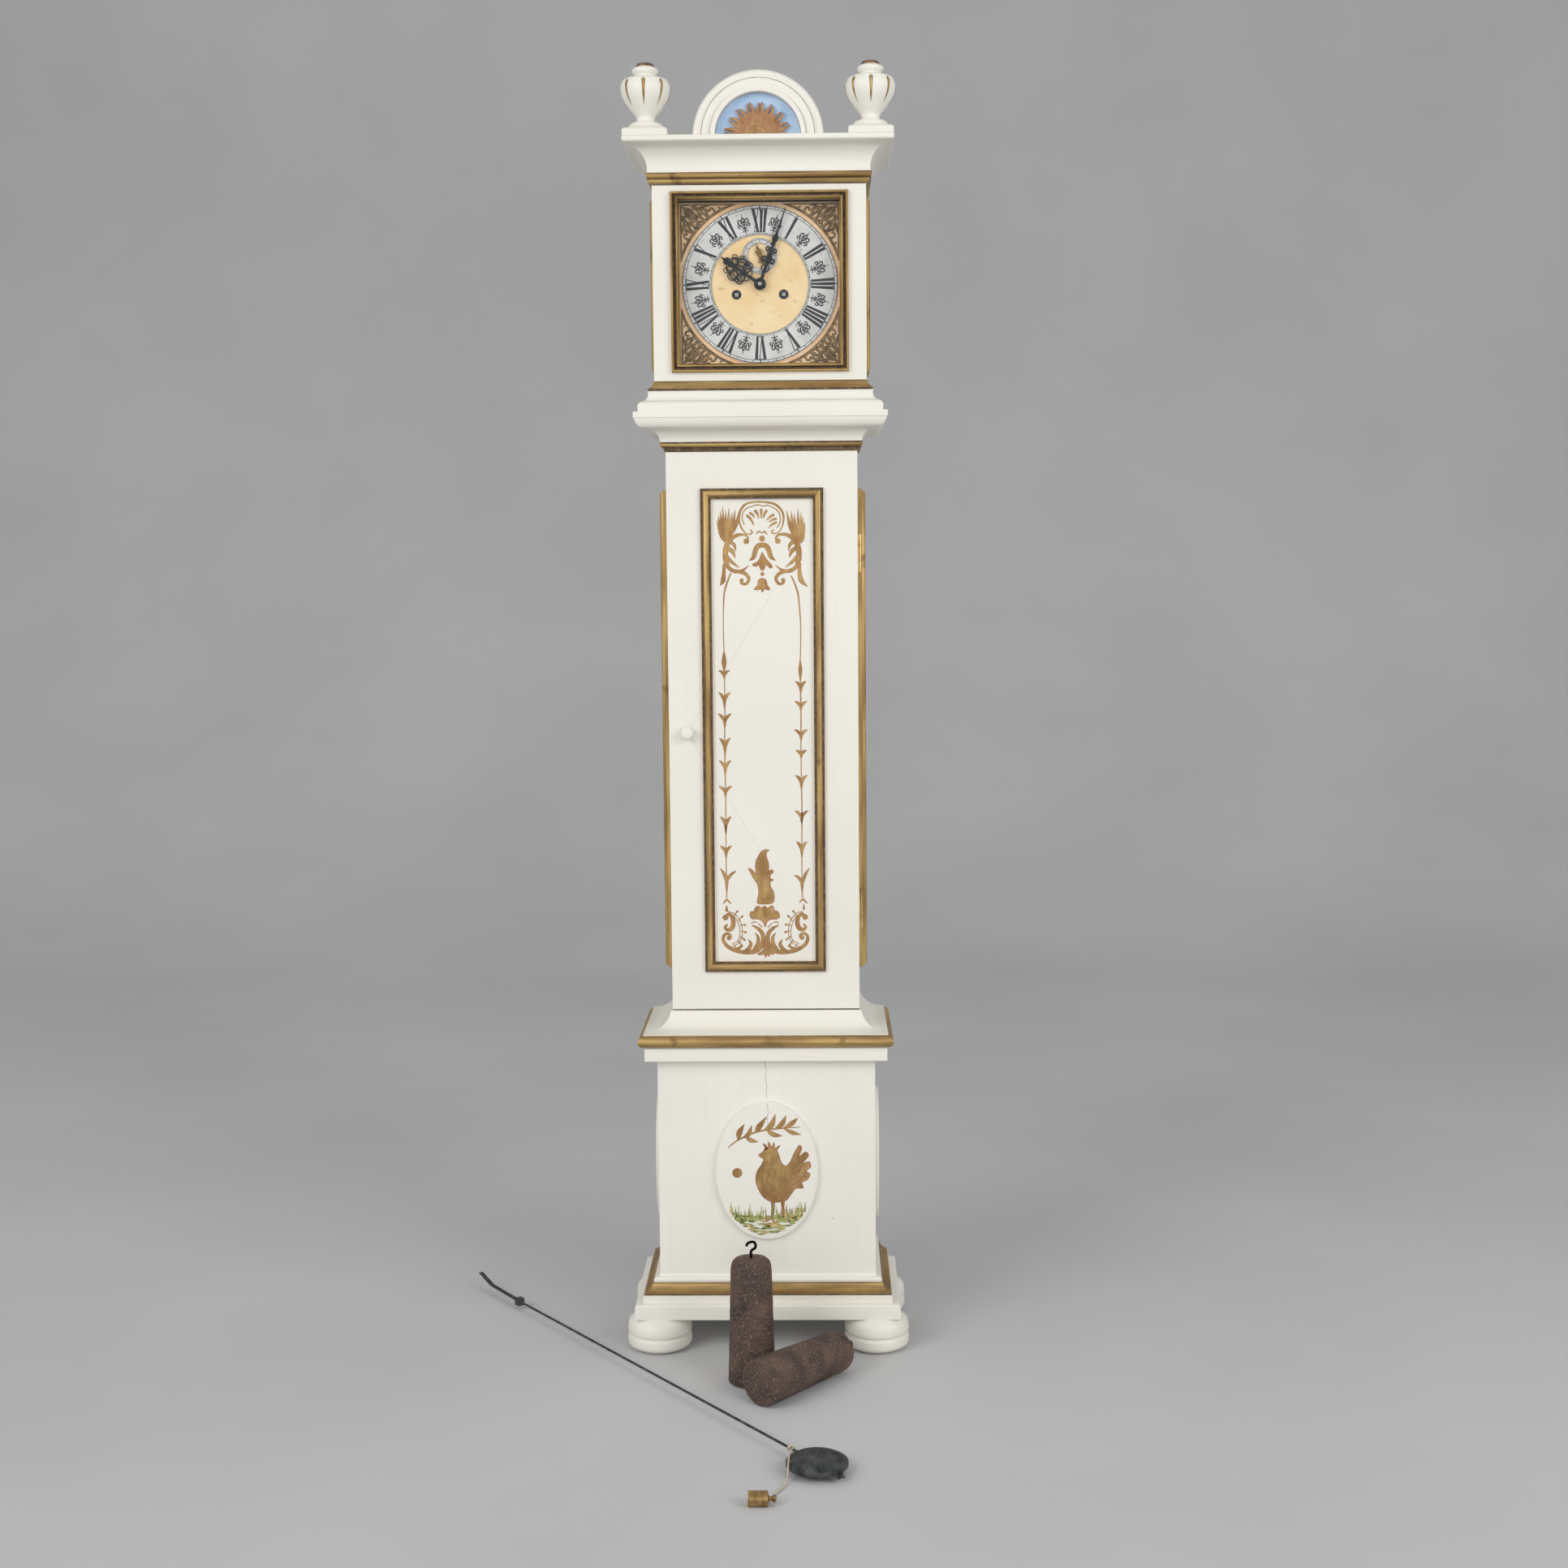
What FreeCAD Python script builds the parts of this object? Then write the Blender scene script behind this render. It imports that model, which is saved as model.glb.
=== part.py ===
import FreeCAD, Part
import Sketcher
import math
import os

# A longcase clock with a painted case: z is up from the floor, the front faces -y
# and x runs to the viewer's right. All lengths are in millimetres.

DRIVING = {
    # Case: trunk first, the base and the hood stand out from it
    "trunk_half_width": 151,
    "trunk_depth": 183,
    "back_y": 103,
    "base_reach": 24,
    "hood_reach": 15,
    "base_board": 16,
    "side_board": 12,
    "back_board": 12,
    "door_board": 16,
    "panel_gap": 0.5,
    "door_gap": 1,
    # Heights of the stages, from the floor up
    "foot_height": 55,
    "plinth_height": 36,
    "base_gilt_height": 15,
    "base_bead_height": 13,
    "base_panel_height": 350,
    "neck_cove_height": 5,
    "waist_fillet_height": 22.5,
    "waist_gilt_height": 19.5,
    "waist_cove_height": 32,
    "trunk_panel_height": 893.5,
    "trunk_gilt_height": 14,
    "trunk_cornice_height": 44.5,
    "hood_base_height": 33,
    "hood_base_gilt_height": 15,
    "frieze_gilt_height": 16,
    "cavetto_height": 41,
    "lip_height": 9,
    # How far each moulding stands out of its face
    "plinth_out": 38.5,
    "base_gilt_out": 24.5,
    "base_bead_out": 11.5,
    "neck_cove_out": 5,
    "waist_fillet_out": 43,
    "waist_gilt_out": 53,
    "waist_cove_out": 44.5,
    "trunk_gilt_out": 8,
    "trunk_cornice_out": 46.5,
    "hood_base_out": 24.5,
    "hood_base_gilt_out": 10,
    "frieze_gilt_out": 8,
    "cavetto_out": 39,
    "lip_out": 42,
    # Feet
    "foot_radius": 52,
    "foot_spacing_half": 176,
    "foot_front_inset": 3,
    "foot_back_inset": 41,
    # Oval medallions of the base
    "oval_half_width": 82,
    "oval_half_height": 113,
    "oval_out": 7,
    "side_oval_half_width": 70,
    "side_oval_half_height": 109.5,
    # Gilt frames laid on the case
    "door_frame_half_width": 97,
    "door_frame_width": 16.5,
    "door_frame_out": 8,
    "door_frame_margin_low": 64,
    "door_frame_margin_high": 58.5,
    "side_frame_margin": 34,
    "side_frame_width": 16,
    "side_frame_out": 13,
    "hood_side_frame_out": 6.5,
    "hood_side_frame_margin": 15.5,
    # Trunk door fittings
    "knob_radius": 11,
    "knob_out": 17,
    "knob_from_edge": 29,
    "knob_rise": 449,
    "latch_shaft_radius": 3,
    "latch_tongue_length": 26,
    "latch_tongue_width": 10,
    "latch_tongue_thickness": 3,
    "latch_mortise_depth": 8,
    "latch_mortise_slack": 1.2,
    "hinge_length": 60,
    "hinge_leaf": 1.6,
    "hinge_leaf_width": 12,
    "hinge_knuckle_radius": 3.2,
    "hinge_pin_radius": 1.5,
    "hinge_low_rise": 132,
    "hinge_high_drop": 191.5,
    "running_clearance": 0.06,
    # Hood door
    "hood_stile": 39,
    "hood_rail_height": 23,
    "dial_frame_out": 7,
    "dial_frame_width": 13.5,
    "dial_frame_lap": 2.5,
    "glass_thickness": 2,
    "glass_gap": 0.3,
    "hood_pin_radius": 2.5,
    "hood_pin_depth": 6,
    # Crest and finials
    "crest_radius": 100.5,
    "crest_front_y": -125,
    "crest_depth": 24,
    "crest_panel_sink": 14,
    "sun_radius": 52,
    "sun_disc_radius": 19,
    "sun_out": 5,
    "sun_rays": 17,
    "finial_spacing_half": 173,
    "finial_y": -102,
    "finial_block": 69,
    "finial_block_height": 12,
    "finial_radius": 38.6,
    "finial_height": 102,
    # Movement: places on the dial and in depth
    "dial_plate_y": -66,
    "dial_plate_thickness": 2,
    "dial_above_middle": 1,
    "dial_margin": 4,
    "chapter_width": 46,
    "chapter_thickness": 2,
    "seconds_rise": 44,
    "seconds_outer_radius": 27.5,
    "seconds_inner_radius": 19,
    "winding_side": 37,
    "winding_drop": 15.5,
    "winding_hole_radius": 6.7,
    "spandrel_gap": 2,
    "spandrel_thickness": 2,
    "plate_half_width": 62,
    "plate_top": 92,
    "plate_bottom": 80,
    "front_plate_y": -38,
    "plate_thickness": 3,
    "plates_apart": 62,
    "pillar_radius": 5,
    "pillar_inset": 9,
    "dial_foot_radius": 3,
    "seat_board_thickness": 18,
    "seat_board_front": 46,
    "seat_board_back": 32,
    "line_slot_width": 12,
    "line_slot_length": 44,
    "great_teeth": 96,
    "strike_great_teeth": 84,
    "pinion_leaves": 8,
    "great_module": 0.7714,
    "centre_teeth": 60,
    "centre_module": 0.9,
    "third_teeth": 56,
    "escape_pinion_leaves": 7,
    "third_module": 0.8,
    "motion_teeth": 36,
    "motion_module": 0.8,
    "hour_teeth": 72,
    "hour_pinion_leaves": 6,
    "escape_teeth": 30,
    "escape_radius": 22,
    "wheel_thickness": 2,
    "pinion_length": 7,
    "hour_pinion_length": 6,
    "arbor_radius": 1.6,
    "pivot_radius": 0.9,
    "cannon_radius": 3,
    "hour_pipe_radius": 4.4,
    "winding_arbor_radius": 3.2,
    "barrel_radius": 20,
    "barrel_length": 28,
    "barrel_flange": 1,
    "winding_square": 5,
    "anchor_rise": 31,
    "anchor_thickness": 3,
    "crutch_length": 120,
    "cock_reach": 22,
    "cock_half_gap": 15,
    "fork_half_gap": 3.2,
    "fork_prong": 1.6,
    "bell_radius": 36,
    "bell_height": 30,
    "bell_rise": 122,
    "bell_rod_radius": 2.4,
    "hammer_head_radius": 6,
    "minute_boss_radius": 6,
    "hour_boss_radius": 9.6,
    "seconds_boss_radius": 2.6,
    "minute_hand_length": 125,
    "minute_hand_angle": 19.4,
    "hour_hand_length": 76,
    "hour_hand_angle": -55.3,
    "seconds_hand_length": 21,
    "seconds_hand_angle": -18,
    "hand_thickness": 1.2,
    "hand_gap": 0.6,
    # Loose pieces on the floor
    "iron_radius": 37,
    "iron_height": 196,
    "iron_wire_radius": 2.5,
    "iron_hook_radius": 8,
    "iron_hook_stem": 12,
    "lift_gap": 0.1,
    "iron_standing_x": -22,
    "iron_standing_y": -258,
    "iron_lying_x": -7,
    "iron_lying_y": -360,
    "iron_lying_turn": 50.5,
    "bob_radius": 44,
    "bob_thickness": 26,
    "bob_x": 79,
    "bob_y": -589,
    "rod_length": 835,
    "rod_radius": 1.9,
    "rod_tail": 16.5,
    "rod_turn": -52.1,
    "rating_nut_radius": 7,
    "rating_nut_height": 6,
    "spring_block": 12,
    "spring_strip_width": 8,
    "spring_strip_thickness": 1,
    "spring_bend": 90,
    "spring_tip": 40,
    "spring_tip_rise": 14,
    "string_radius": 1.5,
    "tie_radius": 5,
    "tie_width": 6,
    "brass_weight_radius": 10.5,
    "brass_length": 37.5,
}

doc = FreeCAD.newDocument("longcase_clock")
sheet = doc.addObject("Spreadsheet::Sheet", "Sizes")
for row, (name, number) in enumerate(DRIVING.items(), start=1):
    sheet.set(f"A{row}", name)
    sheet.set(f"B{row}", str(number))
    sheet.setAlias(f"B{row}", name)
doc.recompute()


# A size carries its number and the sheet formula that gives it


class Size:
    def __init__(self, value, formula):
        self.value = value
        self.formula = formula

    def joined(self, sign, other, value):
        return Size(value, f"({self.formula} {sign} {as_size(other).formula})")

    def __add__(self, other):
        return self.joined("+", other, self.value + as_size(other).value)

    def __radd__(self, other):
        return as_size(other) + self

    def __sub__(self, other):
        return self.joined("-", other, self.value - as_size(other).value)

    def __rsub__(self, other):
        return as_size(other) - self

    def __mul__(self, other):
        return self.joined("*", other, self.value * as_size(other).value)

    def __rmul__(self, other):
        return as_size(other) * self

    def __truediv__(self, other):
        return self.joined("/", other, self.value / as_size(other).value)

    def __neg__(self):
        return 0 - self


def as_size(number):
    if isinstance(number, Size):
        return number
    return Size(float(number), repr(float(number)))


class Driving:
    def __getattr__(self, name):
        return Size(float(sheet.get(name)), f"Sizes.{name}")


s = Driving()
nodes = []


def vector(x, y, z):
    return FreeCAD.Vector(as_size(x).value, as_size(y).value, as_size(z).value)


def bind(piece, prop, size):
    piece.setExpression(prop, as_size(size).formula)


def place(piece, x=0, y=0, z=0, turn=None):
    """Puts a piece at (x, y, z), turned by a FreeCAD rotation."""
    piece.Placement = FreeCAD.Placement(vector(x, y, z), turn or FreeCAD.Rotation())
    for axis, size in zip("xyz", (x, y, z)):
        if isinstance(size, Size):
            bind(piece, f".Placement.Base.{axis}", size)


def node(label, *pieces):
    """Names one finished sub-part, alone or as a group of solids."""
    whole = pieces[0]
    if len(pieces) > 1:
        whole = doc.addObject("Part::Compound", "group_" + label)
        whole.Links = list(pieces)
    whole.Label = label
    nodes.append(whole)
    return whole


def box(x, y, z):
    """A board between two corners, each given as a (low, high) pair."""
    board = doc.addObject("Part::Box", "board")
    for prop, (low, high) in zip(("Length", "Width", "Height"), (x, y, z)):
        setattr(board, prop, as_size(high - low).value)
        bind(board, prop, as_size(high - low))
    place(board, x[0], y[0], z[0])
    return board


def bar(radius, length, sides=0):
    """A round bar, or one with flat sides where their count is given."""
    piece = doc.addObject("Part::Prism" if sides else "Part::Cylinder", "bar")
    if sides:
        piece.Polygon = sides
    bind(piece, "Circumradius" if sides else "Radius", radius)
    bind(piece, "Height", length)
    return piece


def bar_along_y(radius, low, high, x, z, sides=0):
    """A bar along y from low to high."""
    piece = bar(radius, high - low, sides)
    place(piece, x, low, z, UP_TO_BACK)
    return piece


def arbor(radius, low, high, x, z):
    """A slim bar along y with flat sides, for arbors, pillars and their bores."""
    return bar_along_y(radius, low, high, x, z, ROD_SIDES)


def bar_along_z(radius, low, high, x, y, sides=0):
    piece = bar(radius, high - low, sides)
    place(piece, x, y, low)
    return piece


UP_TO_RIGHT = FreeCAD.Rotation(FreeCAD.Vector(0, 1, 0), 90)
UP_TO_FRONT = FreeCAD.Rotation(FreeCAD.Vector(1, 0, 0), 90)
UP_TO_BACK = FreeCAD.Rotation(FreeCAD.Vector(1, 0, 0), -90)


def cut(base, tool):
    result = doc.addObject("Part::Cut", "cut")
    result.Base = base
    result.Tool = tool
    return result


def fuse(*pieces):
    result = doc.addObject("Part::MultiFuse", "joined")
    result.Shapes = list(pieces)
    return result


def origin_plane(body, role):
    return next(f for f in body.Origin.OriginFeatures if f.Role == role)


def new_body(name):
    return doc.addObject("PartDesign::Body", name)


def sketch_on(body, role, name, points, closed=True, shift=0):
    """Draws straight runs and arcs through points of (x, y, bulge).

    A bulge is the arc's height as a share of its chord, positive to the left of the
    direction of travel, and belongs to the run that leaves its point.
    """
    sketch = body.newObject("Sketcher::SketchObject", name)
    sketch.AttachmentSupport = [(origin_plane(body, role), "")]
    sketch.MapMode = "FlatFace"
    if isinstance(shift, Size):
        sketch.AttachmentOffset = FreeCAD.Placement(vector(0, 0, shift), FreeCAD.Rotation())
        bind(sketch, ".AttachmentOffset.Base.z", shift)
    points = [(*point, 0)[:3] for point in points]
    ends = points[1:] + points[:1] if closed else points[1:]
    starts = []
    for index, ((x0, y0, bulge), (x1, y1, _)) in enumerate(zip(points, ends)):
        a = vector(x0, y0, 0)
        b = vector(x1, y1, 0)
        if bulge:
            across = FreeCAD.Vector(a.y - b.y, b.x - a.x, 0)
            middle = (a + b) / 2 + across * bulge
            sketch.addGeometry(Part.Arc(a, middle, b), False)
        else:
            sketch.addGeometry(Part.LineSegment(a, b), False)
        backwards = sketch.getPoint(index, 1).distanceToPoint(a) > SNAP_SHARE * (b - a).Length
        starts.append((2, 1) if backwards else (1, 2))
    for index in range(len(ends) if closed else len(ends) - 1):
        after = (index + 1) % len(ends)
        sketch.addConstraint(
            Sketcher.Constraint("Coincident", index, starts[index][1], after, starts[after][0])
        )
    for index, (x, y, bulge) in enumerate(points):
        geo, pos = (index, starts[index][0]) if index < len(ends) else (index - 1, starts[-1][1])
        for kind, axis, size in (("DistanceX", -2, x), ("DistanceY", -1, y)):
            if isinstance(size, Size) and abs(size.value) > 0:
                at = sketch.addConstraint(Sketcher.Constraint(kind, -1, 1, geo, pos, size.value))
                sketch.setExpression(f"Constraints[{at}]", size.formula)
            else:
                sketch.addConstraint(Sketcher.Constraint("PointOnObject", geo, pos, axis))
    return sketch


SNAP_SHARE = 0.01


def swept_run(name, path, path_role, section, section_role, shift=0):
    """Runs a moulding's section along a path, with mitred corners."""
    body = new_body(name)
    spine = sketch_on(body, path_role, name + "_path", path, closed=False)
    profile = sketch_on(body, section_role, name + "_section", section, shift=shift)
    run = body.newObject("PartDesign::AdditivePipe", name + "_run")
    run.Profile = profile
    run.Spine = (spine, [f"Edge{n}" for n in range(1, len(path))])
    run.Transition = "Right corner"
    return body


def moulding(name, half_width, front, base, out, height, shares):
    """A moulding round the front and both sides, mitred at the front corners."""
    path = [
        (-half_width, s.back_y),
        (-half_width, front),
        (half_width, front),
        (half_width, s.back_y),
    ]
    section = [
        (-half_width - out * reach_share, height * rise_share, *[-share for share in bulge])
        for reach_share, rise_share, *bulge in shares
    ]
    body = swept_run(name, path, "XY_Plane", section, "XZ_Plane", shift=-s.back_y)
    place(body, z=base)
    return body


def laid_frame(name, half_width, height, width, out, shares):
    """A mitred rectangular frame on the y = 0 face, standing out towards -y."""
    path = [
        (0, 0),
        (half_width, 0),
        (half_width, height),
        (-half_width, height),
        (-half_width, 0),
        (0, 0),
    ]
    section = [
        (-out * out_share, width * width_share, *bulge)
        for out_share, width_share, *bulge in shares
    ]
    return swept_run(name, path, "XZ_Plane", section, "YZ_Plane")


def turned(name, radius, height, rings_shares, sides):
    """A turned piece about its own z axis, drawn with flat sides between its rings."""
    rings = []
    for radius_share, height_share in rings_shares:
        ring = doc.addObject("Part::RegularPolygon", name + "_ring")
        ring.Polygon = sides
        bind(ring, "Circumradius", radius * radius_share)
        place(ring, 0, 0, height * height_share)
        rings.append(ring)
    piece = doc.addObject("Part::Loft", name)
    piece.Sections = rings
    piece.Solid = True
    piece.Ruled = True
    piece.Linearize = True
    return piece


TURNED_SIDES = 20
SMALL_SIDES = 16
ROD_SIDES = 12
BORE_SHARE = 1 / math.cos(math.pi / ROD_SIDES)
FULL_TURN = 360

# Faces and levels of the case, worked out from the driving sizes

trunk_half = s.trunk_half_width
base_half = trunk_half + s.base_reach
hood_half = trunk_half + s.hood_reach
trunk_front = s.back_y - s.trunk_depth
base_front = trunk_front - s.base_reach
hood_front = trunk_front - s.hood_reach
back_inner = s.back_y - s.back_board
trunk_door_back = trunk_front + s.door_board
hood_door_back = hood_front + s.door_board
trunk_inner = trunk_half - s.side_board
hood_inner = hood_half - s.side_board
glazed = hood_half - s.hood_stile
dial_half = glazed - s.door_gap
chapter_outer = dial_half - s.dial_margin
chapter_inner = chapter_outer - s.chapter_width
hood_door_half_height = glazed + s.hood_rail_height + s.door_gap

z_plinth = s.foot_height
z_base_gilt = z_plinth + s.plinth_height
z_bead = z_base_gilt + s.base_gilt_height
z_base_top = z_bead + s.base_bead_height + s.base_panel_height
z_waist = z_base_top + s.neck_cove_height
z_waist_gilt = z_waist + s.waist_fillet_height
z_waist_cove = z_waist_gilt + s.waist_gilt_height
z_trunk = z_waist_cove + s.waist_cove_height
z_trunk_gilt = z_trunk + s.trunk_panel_height
z_cornice = z_trunk_gilt + s.trunk_gilt_height
z_hood = z_cornice + s.trunk_cornice_height
z_hood_gilt = z_hood + s.hood_base_height
z_hood_door = z_hood_gilt + s.hood_base_gilt_height
dial_z = z_hood_door + hood_door_half_height + s.dial_above_middle
z_frieze = z_hood_door + hood_door_half_height * 2
z_cavetto = z_frieze + s.frieze_gilt_height
z_lip = z_cavetto + s.cavetto_height
z_top = z_lip + s.lip_height
hood_floor = z_hood + s.panel_gap
knob_z = z_trunk + s.knob_rise
bell_z = dial_z + s.bell_rise


def pair(half):
    return (-half, half)


def polar(radius, degrees):
    angle = math.radians(degrees)
    return (radius * math.cos(angle), radius * math.sin(angle))


# Bun feet, turned with a groove round the middle

FOOT_RINGS_SHARES = [(0.74, 0), (0.96, 0.13), (1, 0.3), (0.92, 0.47), (1, 0.64), (0.94, 0.86), (0.74, 1)]


def foot(x, y):
    piece = turned("foot", s.foot_radius, s.foot_height, FOOT_RINGS_SHARES, TURNED_SIDES)
    place(piece, x, y, 0)
    return piece


foot_front_y = base_front - s.foot_front_inset
foot_back_y = s.back_y - s.foot_back_inset
node(
    "bun_feet",
    foot(-s.foot_spacing_half, foot_front_y),
    foot(s.foot_spacing_half, foot_front_y),
    foot(-s.foot_spacing_half, foot_back_y),
    foot(s.foot_spacing_half, foot_back_y),
)

# Base box: floor, front, sides and back

base_inner = base_half - s.base_board
base_front_inner = base_front + s.base_board
node(
    "base_boards",
    box(pair(base_inner), (base_front_inner, back_inner), (z_plinth, z_plinth + s.base_board)),
    box(pair(base_half), (base_front, base_front_inner), (z_plinth, z_waist)),
    box((-base_half, -base_inner), (base_front_inner, back_inner), (z_plinth, z_waist)),
    box((base_inner, base_half), (base_front_inner, back_inner), (z_plinth, z_waist)),
    box(pair(base_half), (back_inner, s.back_y), (z_plinth, z_waist)),
)

PLINTH_SHARES = [(0, 0), (1, 0), (1, 0.58, -0.17), (0.9, 0.67), (0.68, 0.67), (0.68, 1), (0, 1)]
BEAD_SHARES = [(0, 0), (0.6, 0, -0.3), (0.6, 0.69), (0.35, 0.69, 0.2), (0, 1)]
NECK_SHARES = [(0, 0, 0.2), (1, 1), (0, 1)]
node(
    "plinth_mouldings",
    moulding("plinth", base_half, base_front, z_plinth, s.plinth_out, s.plinth_height, PLINTH_SHARES),
    moulding("bead", base_half, base_front, z_bead, s.base_bead_out, s.base_bead_height, BEAD_SHARES),
)
SLOPE_SHARES = [(0, 0), (1, 0), (1, 0.15, 0.15), (0.45, 1), (0, 1)]
plinth_slope = moulding(
    "slope", base_half, base_front, z_base_gilt, s.base_gilt_out, s.base_gilt_height, SLOPE_SHARES
)

# Oval medallions glued to the front and the sides of the base


def oval(half_width, half_height, thickness):
    """An oval board, long axis up, its back on the y = 0 face."""
    rim = doc.addObject("Part::Ellipse", "oval_line")
    bind(rim, "MajorRadius", half_height)
    bind(rim, "MinorRadius", half_width)
    board = doc.addObject("Part::Extrusion", "oval_board")
    board.Base = rim
    board.DirMode = "Custom"
    board.Dir = FreeCAD.Vector(0, 0, 1)
    board.Solid = True
    bind(board, "LengthFwd", thickness)
    return board


OVAL_UP = FreeCAD.Rotation(FreeCAD.Vector(1, 0, 0), 90) * FreeCAD.Rotation(FreeCAD.Vector(0, 0, 1), 90)
TO_RIGHT = FreeCAD.Rotation(FreeCAD.Vector(0, 0, 1), 90)
TO_LEFT = FreeCAD.Rotation(FreeCAD.Vector(0, 0, 1), -90)
OVAL_RISE_SHARE = 0.524
oval_z = z_base_gilt + (z_waist - z_base_gilt) * OVAL_RISE_SHARE
side_middle = (base_front + s.back_y) / 2
front_oval = oval(s.oval_half_width, s.oval_half_height, s.oval_out)
right_oval = oval(s.side_oval_half_width, s.side_oval_half_height, s.oval_out)
left_oval = oval(s.side_oval_half_width, s.side_oval_half_height, s.oval_out)
place(front_oval, 0, base_front, oval_z, OVAL_UP)
place(right_oval, base_half, side_middle, oval_z, TO_RIGHT * OVAL_UP)
place(left_oval, -base_half, side_middle, oval_z, TO_LEFT * OVAL_UP)
node("base_medallions", front_oval, right_oval, left_oval)

# Backboard of trunk and hood, and the waist mouldings that carry the trunk

node("backboard", box(pair(trunk_half), (back_inner, s.back_y), (z_waist, z_lip - s.door_gap)))
FILLET_SHARES = [(0, 0), (1, 0), (1, 0.84, -0.17), (0.9, 1), (0, 1)]
HALF_ROUND_SHARES = [(0, 0), (0.82, 0, -0.49), (0.82, 1), (0, 1)]
COVE_SHARES = [(0, 0), (1, 0), (1, 0.06, 0.2), (0.05, 1), (0, 1)]
node(
    "waist_mouldings",
    moulding("neck", base_half, base_front, z_base_top, s.neck_cove_out, s.neck_cove_height, NECK_SHARES),
    moulding(
        "fillet", trunk_half, trunk_front, z_waist, s.waist_fillet_out, s.waist_fillet_height, FILLET_SHARES
    ),
    moulding(
        "cove", trunk_half, trunk_front, z_waist_cove, s.waist_cove_out, s.waist_cove_height, COVE_SHARES
    ),
)
waist_bead = moulding(
    "half_round",
    trunk_half,
    trunk_front,
    z_waist_gilt,
    s.waist_gilt_out,
    s.waist_gilt_height,
    HALF_ROUND_SHARES,
)

# Trunk: side boards that run up into the hood as cheeks, rails above and below the door

z_seat = dial_z - s.plate_bottom - s.seat_board_thickness
side_front = trunk_door_back + s.panel_gap
MORTISE_DROP_SHARE = 0.75
left_side = box((-trunk_half, -trunk_inner), (side_front, back_inner), (z_waist, z_seat))
mortise = box(
    (-trunk_inner - s.latch_mortise_depth, -trunk_inner + s.panel_gap),
    (
        trunk_door_back + s.panel_gap * 2,
        trunk_door_back + s.panel_gap * 2 + s.latch_tongue_thickness + s.latch_mortise_slack * 2,
    ),
    (
        knob_z - s.latch_tongue_length * MORTISE_DROP_SHARE,
        knob_z + s.latch_tongue_width / 2 + s.latch_mortise_slack,
    ),
)
node(
    "trunk_side_boards",
    cut(left_side, mortise),
    box((trunk_inner, trunk_half), (side_front, back_inner), (z_waist, z_seat)),
)
node(
    "trunk_rails",
    box(pair(trunk_half), (trunk_front, trunk_door_back), (z_waist, z_trunk)),
    box(pair(trunk_half), (trunk_front, trunk_door_back), (z_trunk_gilt, z_hood)),
)
OVOLO_SHARES = [(0, 0), (0.3, 0, 0.2), (0.62, 0.45, -0.25), (1, 0.8), (1, 1), (0, 1)]
trunk_bead = moulding(
    "trunk_bead", trunk_half, trunk_front, z_trunk_gilt, s.trunk_gilt_out, s.trunk_gilt_height, OVOLO_SHARES
)
node("case_gilt_mouldings", plinth_slope, waist_bead, trunk_bead)
CYMA_SHARES = [(0, 0), (0.16, 0, 0.2), (0.55, 0.42, -0.2), (0.97, 0.78), (1, 0.8), (1, 1), (0, 1)]
node(
    "trunk_cornice",
    moulding(
        "cornice",
        trunk_half,
        trunk_front,
        z_cornice,
        s.trunk_cornice_out,
        s.trunk_cornice_height,
        CYMA_SHARES,
    ),
)

# Gilt frames on the trunk's sides: a rounded bead between two small steps

FRAME_SHARES = [
    (0, 0),
    (0.55, 0),
    (0.55, 0.2),
    (0.82, 0.27),
    (1, 0.42),
    (1, 0.58),
    (0.82, 0.73),
    (0.55, 0.8),
    (0.55, 1),
    (0, 1),
]


def side_frame(name, face, front, back, low, high, out, margin, turn, mirror):
    """A frame on one side of the case, inset by the margin."""
    half = (back - front) / 2 - margin
    frame = laid_frame(name, half, high - low, s.side_frame_width, out, FRAME_SHARES)
    place(frame, face * mirror, (front + back) / 2, low, turn)
    return frame


def side_frames(name, face, front, low, high, out, margin):
    return [
        side_frame(f"{name}_{word}", face, front, s.back_y, low, high, out, margin, turn, mirror)
        for word, turn, mirror in (("right", TO_RIGHT, 1), ("left", TO_LEFT, -1))
    ]


frame_low = z_trunk + s.door_frame_margin_low - s.panel_gap
frame_high = z_trunk_gilt - s.door_frame_margin_high
node(
    "trunk_side_frames",
    *side_frames(
        "trunk_frame", trunk_half, trunk_front, frame_low, frame_high, s.side_frame_out, s.side_frame_margin
    ),
)

# Seat board on the cheeks, which carries the movement

seat_slab = box(
    pair(trunk_half), (-s.seat_board_front, s.seat_board_back), (z_seat, z_seat + s.seat_board_thickness)
)
line_slots = doc.addObject("Part::Compound", "line_slots")
line_slots.Links = [
    box(
        (middle - s.line_slot_width / 2, middle + s.line_slot_width / 2),
        (-s.line_slot_length / 2, s.line_slot_length / 2),
        (z_seat - s.panel_gap, z_seat + s.seat_board_thickness + s.panel_gap),
    )
    for middle in (-s.winding_side - s.barrel_radius, s.winding_side + s.barrel_radius)
]
node("seat_board", cut(seat_slab, line_slots))

# Trunk door: one board, bored for the knob's shaft, with the gilt frame on it

door_low = z_trunk + s.door_gap
door_high = z_trunk_gilt - s.door_gap
knob_x = -trunk_half + s.knob_from_edge
door_board = box(pair(trunk_half), (trunk_front, trunk_door_back), (door_low, door_high))
shaft_bore = bar_along_y(
    s.latch_shaft_radius + s.running_clearance,
    trunk_front - s.panel_gap,
    trunk_door_back + s.panel_gap,
    knob_x,
    knob_z,
)
node("trunk_door_board", cut(door_board, shaft_bore))
door_frame = laid_frame(
    "door_frame",
    s.door_frame_half_width,
    frame_high - frame_low,
    s.door_frame_width,
    s.door_frame_out,
    FRAME_SHARES,
)
place(door_frame, 0, trunk_front, frame_low)
node("trunk_door_frame", door_frame)

# Turned knob on a shaft through the door, and the tongue that it turns

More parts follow.
